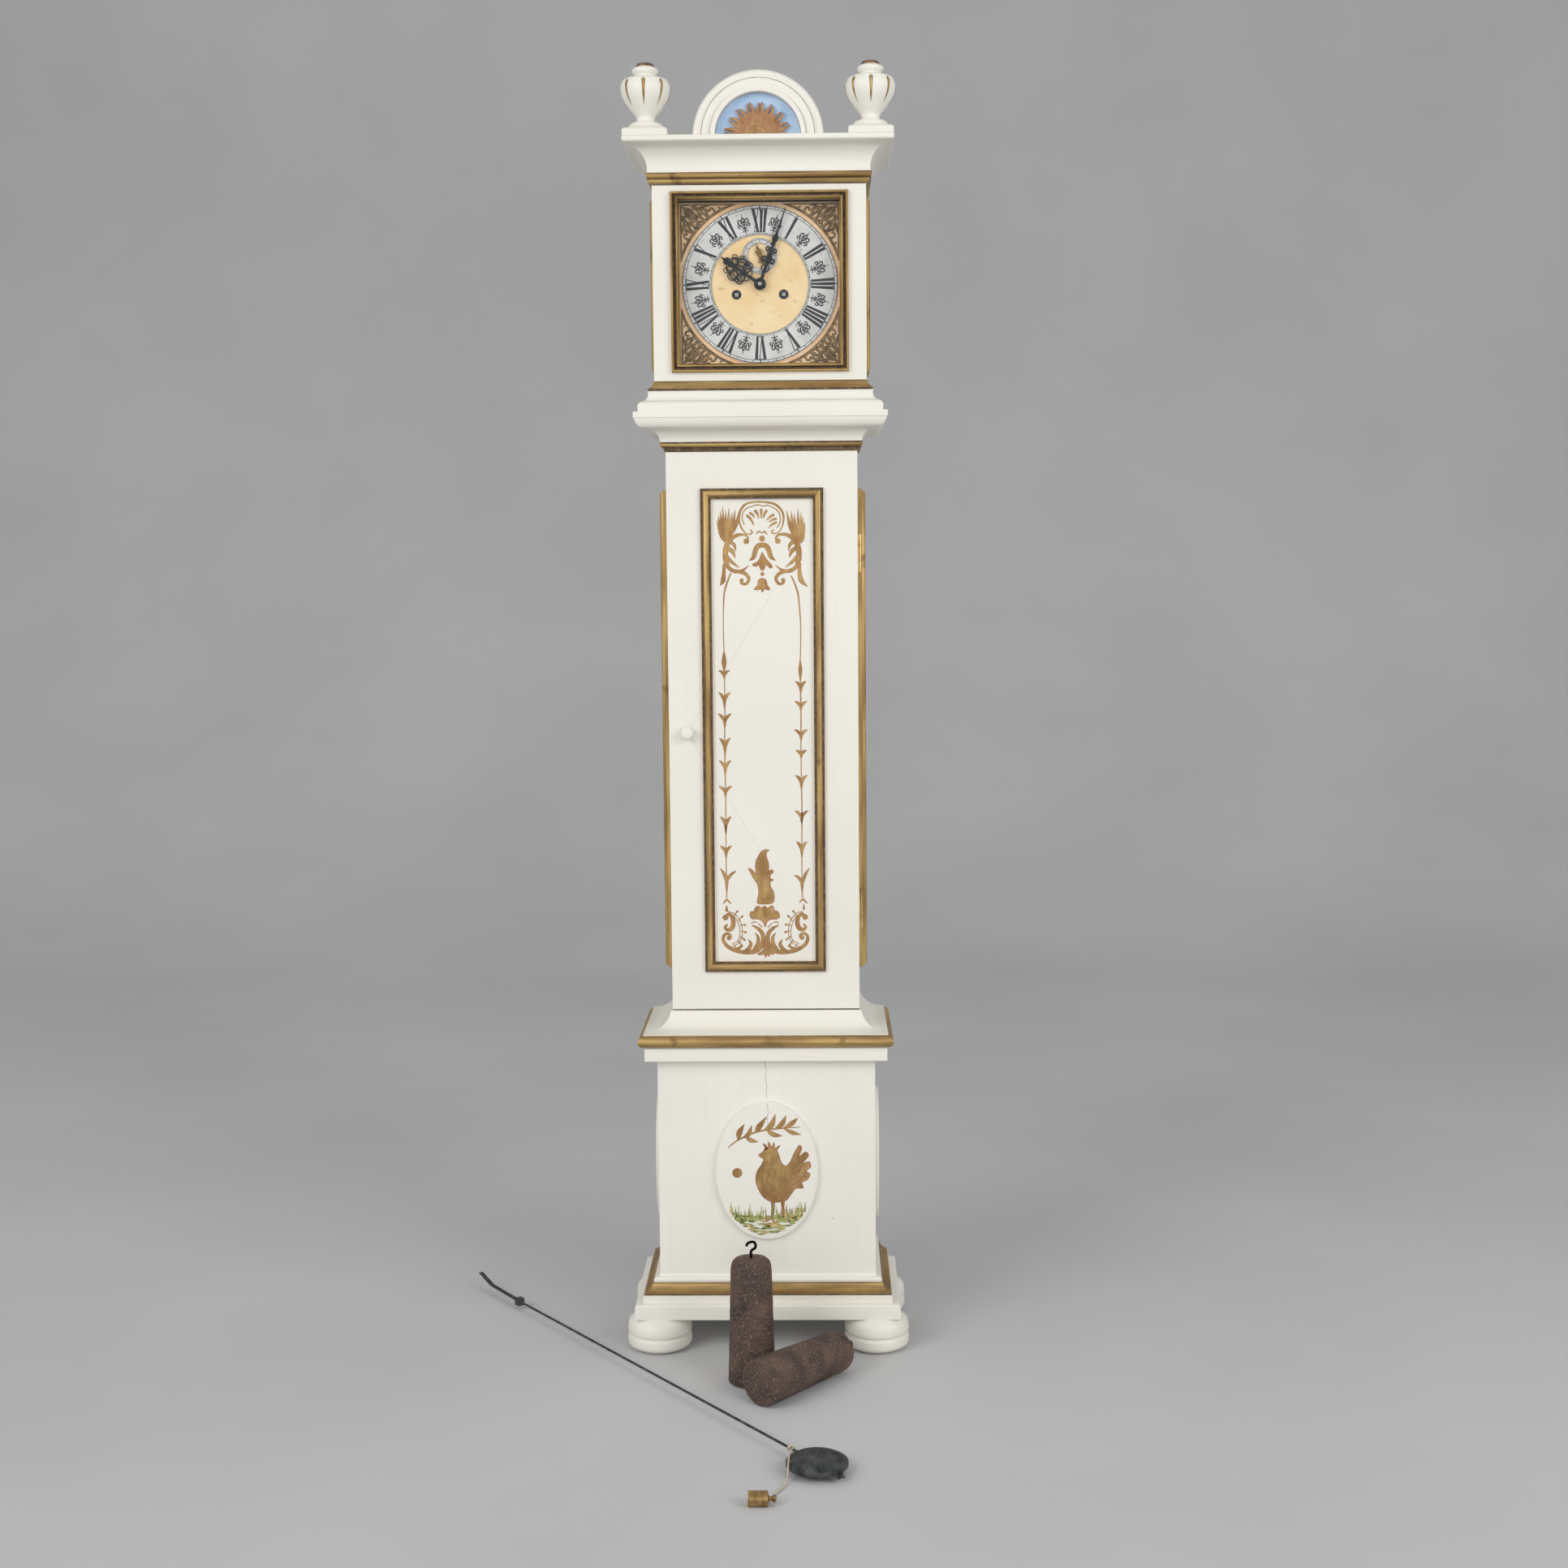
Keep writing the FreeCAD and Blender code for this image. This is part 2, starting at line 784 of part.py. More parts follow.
KNOB_RINGS_SHARES = [(0.6, 0), (0.5, 0.25), (0.9, 0.45), (1, 0.65), (0.85, 0.88), (0.35, 1)]
knob = turned("knob", s.knob_radius, s.knob_out, KNOB_RINGS_SHARES, SMALL_SIDES)
place(knob, knob_x, trunk_front - s.panel_gap, knob_z, UP_TO_FRONT)
tongue_front = trunk_door_back + s.panel_gap * 2 + s.latch_mortise_slack
knob_shaft = bar_along_y(
    s.latch_shaft_radius, trunk_front - s.panel_gap, tongue_front, knob_x, knob_z
)
node("door_knob", fuse(knob, knob_shaft))
node(
    "door_latch",
    box(
        (knob_x - s.latch_tongue_width / 2, knob_x + s.latch_tongue_width / 2),
        (tongue_front, tongue_front + s.latch_tongue_thickness),
        (knob_z - s.latch_tongue_length + s.latch_tongue_width / 2, knob_z + s.latch_tongue_width / 2),
    ),
)

# Butt hinges on the right edge: two knuckles and the pin on the case, one on the door

hinge_x = trunk_half + s.hinge_knuckle_radius + s.panel_gap
hinge_y = trunk_door_back + s.panel_gap / 2
knuckle_third = s.hinge_length / 3


HINGE_NECK_SHARE = 1.3


def knuckle(low, high, towards):
    """A hinge knuckle and the neck that ties it to its leaf."""
    barrel = bar_along_z(s.hinge_knuckle_radius, low, high, hinge_x, hinge_y, ROD_SIDES)
    reach = hinge_y + (s.hinge_knuckle_radius + s.panel_gap) * towards
    neck_y = (hinge_y, reach) if towards > 0 else (reach, hinge_y)
    neck = box((trunk_half, hinge_x - s.hinge_pin_radius * HINGE_NECK_SHARE), neck_y, (low, high))
    return [barrel, neck]


def case_hinge(base):
    leaf_low = hinge_y + s.hinge_knuckle_radius + s.panel_gap
    leaf = box(
        (trunk_half, trunk_half + s.hinge_leaf),
        (leaf_low, leaf_low + s.hinge_leaf_width),
        (base, base + s.hinge_length),
    )
    pin = bar_along_z(s.hinge_pin_radius, base, base + s.hinge_length, hinge_x, hinge_y)
    low = knuckle(base, base + knuckle_third - s.panel_gap / 2, 1)
    high = knuckle(base + knuckle_third * 2 + s.panel_gap / 2, base + s.hinge_length, 1)
    return fuse(leaf, pin, *low, *high)


def door_hinge(base):
    leaf_high = hinge_y - s.hinge_knuckle_radius - s.panel_gap
    leaf = box(
        (trunk_half, trunk_half + s.hinge_leaf),
        (trunk_front + s.panel_gap, leaf_high),
        (base, base + s.hinge_length),
    )
    middle = knuckle(base + knuckle_third + s.panel_gap / 2, base + knuckle_third * 2 - s.panel_gap / 2, -1)
    bore = bar_along_z(
        s.hinge_pin_radius + s.running_clearance, base, base + s.hinge_length, hinge_x, hinge_y
    )
    return cut(fuse(leaf, *middle), bore)


hinge_places = (z_trunk + s.hinge_low_rise, z_trunk_gilt - s.hinge_high_drop)
node("trunk_case_hinges", *[case_hinge(base) for base in hinge_places])
node("trunk_door_hinges", *[door_hinge(base) for base in hinge_places])

# Hood: sides, front rails bored for the door's pins, roof

hood_pin_x = hood_half - s.door_board / 2
hood_pin_y = hood_front + s.door_board / 2
node(
    "hood_boards",
    box(pair(hood_half), (hood_front, s.back_y), (z_lip, z_top)),
    box((-hood_half, -hood_inner), (hood_door_back + s.door_gap, s.back_y), (hood_floor, z_lip)),
    box((hood_inner, hood_half), (hood_door_back + s.door_gap, s.back_y), (hood_floor, z_lip)),
)
pin_bore_low = bar_along_z(
    s.hood_pin_radius + s.running_clearance,
    z_hood_door - s.hood_pin_depth - s.panel_gap,
    z_hood_door + s.panel_gap,
    hood_pin_x,
    hood_pin_y,
)
pin_bore_high = bar_along_z(
    s.hood_pin_radius + s.running_clearance,
    z_frieze - s.panel_gap,
    z_frieze + s.hood_pin_depth + s.panel_gap,
    hood_pin_x,
    hood_pin_y,
)
node(
    "hood_rails",
    cut(box(pair(hood_half), (hood_front, hood_door_back), (hood_floor, z_hood_door)), pin_bore_low),
    cut(box(pair(hood_half), (hood_front, hood_door_back), (z_frieze, z_lip)), pin_bore_high),
)
OGEE_SHARES = [(0, 0), (1, 0), (1, 0.12, -0.22), (0.72, 0.5, 0.22), (0.41, 1), (0, 1)]
node(
    "hood_base_moulding",
    moulding(
        "hood_base",
        hood_half,
        hood_front,
        hood_floor,
        s.hood_base_out,
        s.hood_base_height - s.panel_gap,
        OGEE_SHARES,
    ),
)
HOOD_SLOPE_SHARES = [(0, 0), (1, 0), (0.9, 0.25, 0.1), (0.05, 1), (0, 1)]
hood_slope = moulding(
    "hood_slope",
    hood_half,
    hood_front,
    z_hood_gilt,
    s.hood_base_gilt_out,
    s.hood_base_gilt_height,
    HOOD_SLOPE_SHARES,
)
STEP_SHARES = [(0, 0), (0.35, 0, -0.25), (0.5, 0.45), (0.75, 0.5, -0.25), (1, 0.95), (1, 1), (0, 1)]
frieze_steps = moulding(
    "frieze", hood_half, hood_front, z_frieze, s.frieze_gilt_out, s.frieze_gilt_height, STEP_SHARES
)
node("hood_gilt_mouldings", hood_slope, frieze_steps)
CAVETTO_SHARES = [(0, 0), (0.17, 0, 0.22), (1, 1), (0, 1)]
LIP_SHARES = [(0, 0), (0.95, 0), (1, 0.2), (1, 0.9), (0.97, 1), (0, 1)]
node(
    "hood_cornice",
    moulding("cavetto", hood_half, hood_front, z_cavetto, s.cavetto_out, s.cavetto_height, CAVETTO_SHARES),
    moulding("lip", hood_half, hood_front, z_lip, s.lip_out, s.lip_height, LIP_SHARES),
)
node(
    "hood_side_frames",
    *side_frames(
        "hood_frame",
        hood_half,
        hood_front,
        z_hood_door + s.hood_side_frame_margin,
        z_frieze - s.hood_side_frame_margin,
        s.hood_side_frame_out,
        s.side_frame_margin,
    ),
)

# Crest: a half round arch with stepped edges, its recessed panel and the half sun

CREST_SHARES = [
    (0.66, 0),
    (0.66, 0.96),
    (0.69, 1),
    (0.73, 1),
    (0.73, 0.8),
    (0.87, 0.8),
    (0.87, 0.6),
    (1, 0.45),
    (1, 0),
]
CREST_STEPS = 20
crest_step = FULL_TURN / 2 / CREST_STEPS
crest_corner = 1 / math.cos(math.radians(crest_step / 2))
crest_ways = [polar(crest_corner, crest_step * step + crest_step / 2) for step in range(CREST_STEPS)]
crest_path = [(s.crest_radius * x, s.crest_radius * y) for x, y in [(1, 0)] + crest_ways + [(-1, 0)]]
crest_section = [
    (s.crest_radius * radius_share, s.crest_depth * depth_share) for radius_share, depth_share in CREST_SHARES
]
crest = swept_run("crest", crest_path, "XY_Plane", crest_section, "XZ_Plane")
crest_back = s.crest_front_y + s.crest_depth
place(crest, 0, crest_back, z_top, UP_TO_FRONT)
node("crest_arch", crest)


def half_disc(radius, low, high):
    """A half round board standing on the roof, between two depths."""
    board = doc.addObject("Part::Cylinder", "half_disc")
    bind(board, "Radius", radius)
    bind(board, "Height", high - low)
    board.Angle = FULL_TURN / 2
    place(board, 0, high, z_top, UP_TO_FRONT)
    return board


panel_front = s.crest_front_y + s.crest_panel_sink
node("crest_panel", half_disc(s.crest_radius * CREST_SHARES[0][0], panel_front, crest_back))


def flat_piece(name, loops, thickness):
    """A flat piece cut from sheet: the first loop is its edge, the rest are holes."""
    faces = [Part.Face(loop) for loop in loops]
    face = faces[0]
    for hole in faces[1:]:
        face = face.cut(hole)
    piece = doc.addObject("Part::Feature", name)
    piece.Shape = face.extrude(FreeCAD.Vector(0, 0, thickness))
    return piece


def loop_of(points):
    corners = [FreeCAD.Vector(x, y, 0) for x, y in points]
    return Part.makePolygon(corners + corners[:1])


RAY_BEND_SHARE = 0.22
RAY_NECK_SHARE = 0.62
RAY_ROOT_SHARE = 1.25
RAY_LEFT_SHARE = 0.34
RAY_RIGHT_SHARE = 0.3


def sun_edge():
    """Wavy rays round the upper half, each with a leaning neck and a point."""
    count = int(s.sun_rays.value)
    step = FULL_TURN / 2 / count
    inner = s.sun_disc_radius.value * RAY_ROOT_SHARE
    neck = s.sun_radius.value * RAY_NECK_SHARE
    points = [(inner, 0)]
    for ray in range(count):
        middle = step * ray + step / 2
        lean = step * RAY_BEND_SHARE
        points.append(polar(neck, middle - step * RAY_LEFT_SHARE + lean))
        points.append(polar(s.sun_radius.value, middle))
        points.append(polar(neck, middle + step * RAY_RIGHT_SHARE + lean / 2))
        points.append(polar(inner, middle + step / 2))
    return points


rays = flat_piece("sun_rays", [loop_of(sun_edge())], s.sun_out.value / 2)
place(rays, 0, panel_front, z_top, UP_TO_FRONT)
node("crest_sun", rays, half_disc(s.sun_disc_radius, panel_front - s.sun_out, panel_front - s.sun_out / 2))

# Finials: urns turned in wood on square blocks

FINIAL_RINGS_SHARES = [
    (0.62, 0),
    (0.7, 0.05),
    (0.62, 0.1),
    (0.4, 0.13),
    (0.38, 0.2),
    (0.64, 0.32),
    (0.9, 0.46),
    (1, 0.6),
    (0.96, 0.69),
    (0.84, 0.75),
    (0.42, 0.8),
    (0.52, 0.87),
    (0.5, 0.93),
    (0.36, 0.94),
    (0.2, 1),
]
finials = []
for side in (-1, 1):
    urn = turned("urn", s.finial_radius, s.finial_height, FINIAL_RINGS_SHARES, TURNED_SIDES)
    middle = s.finial_spacing_half * side
    place(urn, middle, s.finial_y, z_top + s.finial_block_height)
    half = s.finial_block / 2
    block = box(
        (middle - half, middle + half),
        (s.finial_y - half, s.finial_y + half),
        (z_top, z_top + s.finial_block_height),
    )
    finials += [urn, block]
node("finials", *finials)

# Hood door: rails and stiles, the gilt frame, the glass and the pins it swings on

hood_low = z_hood_door + s.door_gap
hood_high = z_frieze - s.door_gap
hinge_stile = fuse(
    box((glazed, hood_pin_x), (hood_front, hood_door_back), (hood_low, hood_high)),
    box((hood_pin_x, hood_half), (hood_front, hood_pin_y), (hood_low, hood_high)),
    bar_along_z(s.door_board / 2, hood_low, hood_high, hood_pin_x, hood_pin_y),
)
rail_y = (hood_front, hood_door_back)
glass_low = dial_z - glazed
glass_high = dial_z + glazed
node(
    "hood_door_rails",
    box((-hood_half, -glazed), rail_y, (hood_low, hood_high)),
    hinge_stile,
    box(pair(glazed), rail_y, (hood_low, glass_low)),
    box(pair(glazed), rail_y, (glass_high, hood_high)),
)
sight = glazed - s.dial_frame_lap
outer = sight + s.dial_frame_width
THREE_LINE_SHARES = [
    (0, 0),
    (0.75, 0),
    (1, 0.1),
    (1, 0.22),
    (0.75, 0.32),
    (0.3, 0.36),
    (0.3, 0.52),
    (0.75, 0.56),
    (0.95, 0.66),
    (0.95, 0.78),
    (0.75, 0.88),
    (0.4, 1),
    (0, 1),
]
dial_frame = laid_frame(
    "dial_frame", outer, outer * 2, s.dial_frame_width, s.dial_frame_out, THREE_LINE_SHARES
)
place(dial_frame, 0, hood_front, dial_z - outer)
node("hood_door_gilt_frame", dial_frame)
pane = glazed - s.glass_gap
node(
    "hood_door_glass",
    box(pair(pane), (hood_front, hood_front + s.glass_thickness), (dial_z - pane, dial_z + pane)),
)
node(
    "hood_door_pins",
    bar_along_z(s.hood_pin_radius, z_hood_door - s.hood_pin_depth, hood_low, hood_pin_x, hood_pin_y),
    bar_along_z(s.hood_pin_radius, hood_high, z_frieze + s.hood_pin_depth, hood_pin_x, hood_pin_y),
)

# Movement frame: two plates held apart by pillars

front_plate_back = s.front_plate_y + s.plate_thickness
back_plate_front = front_plate_back + s.plates_apart
back_plate_back = back_plate_front + s.plate_thickness
winding_z = dial_z - s.winding_drop
escape_z = dial_z + s.seconds_rise
anchor_z = escape_z + s.anchor_rise
centre_distance = s.centre_module * (s.centre_teeth + s.pinion_leaves) / 2
third_distance = s.third_module * (s.third_teeth + s.escape_pinion_leaves) / 2
rise = s.seconds_rise.value
third_up = (centre_distance.value**2 - third_distance.value**2 + rise**2) / (2 * rise)
third_x = math.sqrt(centre_distance.value**2 - third_up**2)
third_z = dial_z.value + third_up
motion_distance = s.motion_module * s.motion_teeth
motion_z = dial_z - motion_distance
hammer_x = s.plate_half_width - s.pillar_inset * 2


inside_front = front_plate_back + s.panel_gap
inside_back = back_plate_front - s.panel_gap


def pivot_holes(low, high):
    """The bores of one plate, as (x, z, radius) of every arbor that passes it."""
    slack = s.running_clearance
    spots = [
        (0, dial_z, s.cannon_radius),
        (third_x, third_z, s.pivot_radius),
        (0, escape_z, s.pivot_radius),
        (0, anchor_z, s.pivot_radius),
        (s.winding_side, winding_z, s.winding_arbor_radius),
        (-s.winding_side, winding_z, s.winding_arbor_radius),
        (hammer_x, anchor_z, s.pivot_radius),
    ]
    return [arbor((radius + slack) * BORE_SHARE, low, high, x, z) for x, z, radius in spots]


def movement_plate(low, high):
    plate = box(
        pair(s.plate_half_width), (low, high), (dial_z - s.plate_bottom, dial_z + s.plate_top)
    )
    holes = doc.addObject("Part::Compound", "plate_bores")
    holes.Links = pivot_holes(low - s.panel_gap, high + s.panel_gap)
    return cut(plate, holes)


node(
    "movement_plates",
    movement_plate(s.front_plate_y, front_plate_back),
    movement_plate(back_plate_front, back_plate_back),
)
pillar_x = s.plate_half_width - s.pillar_inset
cannon_y = s.front_plate_y - s.wheel_thickness * 2
hour_wheel_y = cannon_y - s.wheel_thickness * 2
node(
    "movement_pillars",
    arbor(s.arbor_radius, hour_wheel_y - s.wheel_thickness * 2, s.front_plate_y, 0, motion_z),
    *[
        arbor(s.pillar_radius, front_plate_back, back_plate_front, pillar_x * side, z)
        for side in (-1, 1)
        for z in (dial_z - s.plate_bottom + s.pillar_inset, dial_z + s.plate_top - s.pillar_inset)
    ],
)

# Dial: brass plate on four feet, the silvered rings and the cast corner spandrels

dial_back = s.dial_plate_y + s.dial_plate_thickness
dial_sheet = box(
    pair(dial_half), (s.dial_plate_y, dial_back), (dial_z - dial_half, dial_z + dial_half)
)
dial_holes = doc.addObject("Part::Compound", "dial_holes")
dial_holes.Links = [
    arbor(radius, s.dial_plate_y - s.panel_gap, dial_back + s.panel_gap, x, z)
    for x, z, radius in (
        (0, dial_z, s.hour_pipe_radius + s.panel_gap),
        (0, escape_z, s.arbor_radius + s.panel_gap),
        (s.winding_side, winding_z, s.winding_hole_radius),
        (-s.winding_side, winding_z, s.winding_hole_radius),
    )
]
node(
    "dial_plate",
    cut(dial_sheet, dial_holes),
    *[
        arbor(
            s.dial_foot_radius,
            dial_back,
            s.front_plate_y,
            (s.plate_half_width - s.pillar_inset) * side,
            dial_z + (s.plate_bottom - s.pillar_inset) * level,
        )
        for side in (-1, 1)
        for level in (-1, 1)
    ],
)


RING_SIDES = 48


def dial_ring(outer_radius, inner_radius, z):
    low = s.dial_plate_y - s.chapter_thickness
    disc = bar_along_y(outer_radius, low, s.dial_plate_y, 0, z, RING_SIDES)
    hole = bar_along_y(inner_radius, low - s.panel_gap, s.dial_plate_y + s.panel_gap, 0, z, RING_SIDES)
    return cut(disc, hole)


node(
    "dial_rings",
    dial_ring(chapter_outer, chapter_inner, dial_z),
    dial_ring(s.seconds_outer_radius, s.seconds_inner_radius, escape_z),
)

SPANDREL_ARC_STEPS = 6
SPANDREL_LOBES = 5
SPANDREL_DIP_SHARE = 0.035
SPANDREL_START_SHARE = 0.62
SPANDREL_SHOULDER_SHARE = 0.6
SPANDREL_STEP_SHARE = 0.2
SPANDREL_HOLES_SHARES = [(0.65, 0.86, 0.0375), (0.86, 0.65, 0.0375), (0.81, 0.81, 0.045), (0.9, 0.9, 0.03)]


def spandrel_edge():
    """One corner casting: a hollow arc by the ring and lobed outer edges."""
    half = (dial_half - s.spandrel_gap).value
    ring = (chapter_outer + s.spandrel_gap).value
    first = math.degrees(math.asin(SPANDREL_START_SHARE))
    quarter = FULL_TURN / 4
    sweep = quarter - 2 * first
    points = [polar(ring, first + sweep * n / SPANDREL_ARC_STEPS) for n in range(SPANDREL_ARC_STEPS + 1)]
    ax, ay = points[-1]
    across = half - ax
    top = [(ax, ay + (half - ay) * SPANDREL_SHOULDER_SHARE), (ax + across * SPANDREL_STEP_SHARE, half)]
    for lobe in range(1, SPANDREL_LOBES):
        share = SPANDREL_STEP_SHARE + (1 - SPANDREL_STEP_SHARE) * lobe / SPANDREL_LOBES
        dip = half * SPANDREL_DIP_SHARE * (lobe % 2)
        top.append((ax + across * share, half - dip))
    side = [(y, x) for x, y in reversed(top)]
    return points + top + [(half, half)] + side


def many_sided(x, y, radius, sides):
    corners = [polar(radius, FULL_TURN * corner / sides) for corner in range(sides)]
    return loop_of([(x + px, y + py) for px, py in corners])


PIERCING_SIDES = 8


def spandrel(quarter):
    half = dial_half.value
    holes = [
        many_sided(half * x_share, half * y_share, half * radius_share, PIERCING_SIDES)
        for x_share, y_share, radius_share in SPANDREL_HOLES_SHARES
    ]
    piece = flat_piece("spandrel", [loop_of(spandrel_edge())] + holes, s.spandrel_thickness.value)
    turn = FreeCAD.Rotation(FreeCAD.Vector(0, 0, 1), FULL_TURN / 4 * quarter)
    place(piece, 0, s.dial_plate_y, dial_z, UP_TO_FRONT * turn)
    return piece


node("spandrels", *[spandrel(quarter) for quarter in range(4)])

# Wheels and pinions, cut from sheet with slim teeth that leave running backlash

TOOTH_ROOT_SHARE = 1.35
TOOTH_TIP_SHARE = 0.85
LEAF_WIDTH_SHARE = 0.32
LEAF_TOP_SHARE = 0.05
MOST_LEAVES = 12


def toothed_edge(teeth, module, first_angle):
    """Teeth round a wheel, the first one centred on first_angle in degrees.

    Wheels have pointed teeth; the leaves of a pinion have narrow tops.
    """
    root = teeth * module / 2 - module * TOOTH_ROOT_SHARE
    tip = teeth * module / 2 + module * TOOTH_TIP_SHARE
    step = FULL_TURN / teeth
    points = []
    for tooth in range(int(teeth)):
        middle = first_angle + step * tooth
        if teeth > MOST_LEAVES:
            points += [polar(root, middle - step / 2), polar(tip, middle)]
        else:
            points.append(polar(root, middle - step * LEAF_WIDTH_SHARE))
            points.append(polar(tip, middle - step * LEAF_TOP_SHARE))
            points.append(polar(tip, middle + step * LEAF_TOP_SHARE))
            points.append(polar(root, middle + step * LEAF_WIDTH_SHARE))
    return points


CROSSING_RIM_SHARE = 0.84
CROSSING_HUB_SHARE = 0.3
CROSSING_ARM_SHARE = 0.16


def crossings(radius, arms):
    """The openings between the arms of a crossed-out wheel."""
    step = FULL_TURN / arms
    loops = []
    for arm in range(arms):
        low = step * arm + step * CROSSING_ARM_SHARE
        high = step * (arm + 1) - step * CROSSING_ARM_SHARE
        middle = (low + high) / 2
        outside = [polar(radius * CROSSING_RIM_SHARE, angle) for angle in (low, middle, high)]
        inside = [polar(radius * CROSSING_HUB_SHARE, angle) for angle in (high, low)]
        loops.append(loop_of(outside + inside))
    return loops


def round_loop(radius):
    return many_sided(0, 0, radius, ROD_SIDES)


WHEEL_ARMS = 4


def gear(teeth, module, first_angle, bore, thickness, arms=0):
    radius = teeth * module / 2 - module * TOOTH_ROOT_SHARE
    loops = [loop_of(toothed_edge(teeth, module, first_angle)), round_loop(bore)]
    if arms:
        loops += crossings(radius, arms)
    return flat_piece("gear", loops, thickness)


def on_arbor(piece, x, front, z):
    """Stands a sheet piece upright with its back at the depth front plus its thickness."""
    place(piece, x, front, z, UP_TO_FRONT)
    return piece


def mesh_angle(x, z, from_x, from_z, teeth, other_teeth, other_first):
    """The first tooth angle that puts a gap where the other wheel has a tooth."""
    towards = math.degrees(math.atan2(from_z - z, from_x - x))
    back = towards + FULL_TURN / 2
    other_step = FULL_TURN / other_teeth
    phase = ((back - other_first) / other_step) % 1
    step = FULL_TURN / teeth
    return towards + step / 2 + step * phase


CENTRE_WHEEL_SHARE = 0.73
CENTRE_PINION_SHARE = 0.6
STRIKE_WHEEL_SHARE = 0.11
THIRD_WHEEL_SHARE = 0.4
ESCAPE_WHEEL_SHARE = 0.88
pinion_leaves = s.pinion_leaves.value
dial_height = dial_z.value
wheel_thickness = s.wheel_thickness.value
centre_wheel_y = front_plate_back + s.plates_apart * CENTRE_WHEEL_SHARE
centre_pinion_y = front_plate_back + s.plates_apart * CENTRE_PINION_SHARE
strike_wheel_y = front_plate_back + s.plates_apart * STRIKE_WHEEL_SHARE
third_pinion_y = centre_wheel_y + s.pinion_length / 2 - s.wheel_thickness / 2
third_wheel_y = front_plate_back + s.plates_apart * THIRD_WHEEL_SHARE
escape_wheel_y = front_plate_back + s.plates_apart * ESCAPE_WHEEL_SHARE
escape_pinion_y = third_wheel_y + s.pinion_length / 2 - s.wheel_thickness / 2


# Centre arbor: wheel, great-wheel pinion, cannon pinion and the square for the minute hand

hand_y = s.dial_plate_y - s.chapter_thickness
seconds_front = hand_y - s.hand_gap
hour_hand_y = seconds_front - s.hand_thickness - s.hand_gap
minute_hand_y = hour_hand_y - s.hand_thickness - s.hand_gap * 2
centre_parts = [
    on_arbor(
        gear(s.centre_teeth.value, s.centre_module.value, 0, s.arbor_radius.value, wheel_thickness, WHEEL_ARMS),
        0,
        centre_wheel_y,
        dial_z,
    ),
    on_arbor(
        gear(pinion_leaves, s.great_module.value, 0, s.arbor_radius.value, s.pinion_length.value),
        0,
        centre_pinion_y,
        dial_z,
    ),
    on_arbor(
        gear(s.motion_teeth.value, s.motion_module.value, 0, s.arbor_radius.value, wheel_thickness),
        0,
        cannon_y,
        dial_z,
    ),
    arbor(s.arbor_radius, minute_hand_y, back_plate_back, 0, dial_z),
    arbor(s.cannon_radius - s.pivot_radius, minute_hand_y, cannon_y, 0, dial_z),
    arbor(s.cannon_radius, s.front_plate_y, front_plate_back + s.panel_gap, 0, dial_z),
    arbor(s.cannon_radius, back_plate_front - s.panel_gap, back_plate_back, 0, dial_z),
]
node("centre_arbor", fuse(*centre_parts))

# Third wheel and its pinion, then the escape wheel with the seconds arbor

third_pinion_angle = mesh_angle(third_x, third_z, 0, dial_height, pinion_leaves, s.centre_teeth.value, 0)
node(
    "third_wheel",
    fuse(
        on_arbor(
            gear(
                s.third_teeth.value,
                s.third_module.value,
                third_pinion_angle,
                s.arbor_radius.value,
                wheel_thickness,
                4,
            ),
            third_x,
            third_wheel_y,
            third_z,
        ),
        on_arbor(
            gear(
                pinion_leaves,
                s.centre_module.value,
                third_pinion_angle,
                s.arbor_radius.value,
                s.pinion_length.value,
            ),
            third_x,
            third_pinion_y,
            third_z,
        ),
        arbor(
            s.arbor_radius, inside_front, inside_back, third_x, third_z
        ),
        arbor(s.pivot_radius, s.front_plate_y, back_plate_back, third_x, third_z),
    ),
)
escape_angle = mesh_angle(
    0,
    escape_z.value,
    third_x,
    third_z,
    s.escape_pinion_leaves.value,
    s.third_teeth.value,
    third_pinion_angle,
)
ESCAPE_ROOT_SHARE = 0.8
ESCAPE_LEAN_SHARE = 0.7


def escape_edge():
    """Pointed teeth that all lean one way, as a recoil escape wheel has."""
    teeth = int(s.escape_teeth.value)
    step = FULL_TURN / teeth
    radius = s.escape_radius.value
    points = []
    for tooth in range(teeth):
        start = step * tooth
        points.append(polar(radius * ESCAPE_ROOT_SHARE, start))
        points.append(polar(radius, start + step * ESCAPE_LEAN_SHARE))
        points.append(polar(radius * ESCAPE_ROOT_SHARE, start + step * ESCAPE_LEAN_SHARE))
    return points


escape_loops = [loop_of(escape_edge()), round_loop(s.arbor_radius.value)]
escape_loops += crossings(s.escape_radius.value * ESCAPE_ROOT_SHARE, 4)
node(
    "escape_wheel",
    fuse(
        on_arbor(flat_piece("escape", escape_loops, wheel_thickness), 0, escape_wheel_y, escape_z),
        on_arbor(
            gear(
                s.escape_pinion_leaves.value,
                s.third_module.value,
                escape_angle,
                s.arbor_radius.value,
                s.pinion_length.value,
            ),
            0,
            escape_pinion_y,
            escape_z,
        ),
        arbor(s.arbor_radius, inside_front, inside_back, 0, escape_z),
        arbor(s.pivot_radius, seconds_front, back_plate_back, 0, escape_z),
    ),
)

# Motion work behind the dial: minute wheel with its pinion, and the hour wheel on a pipe

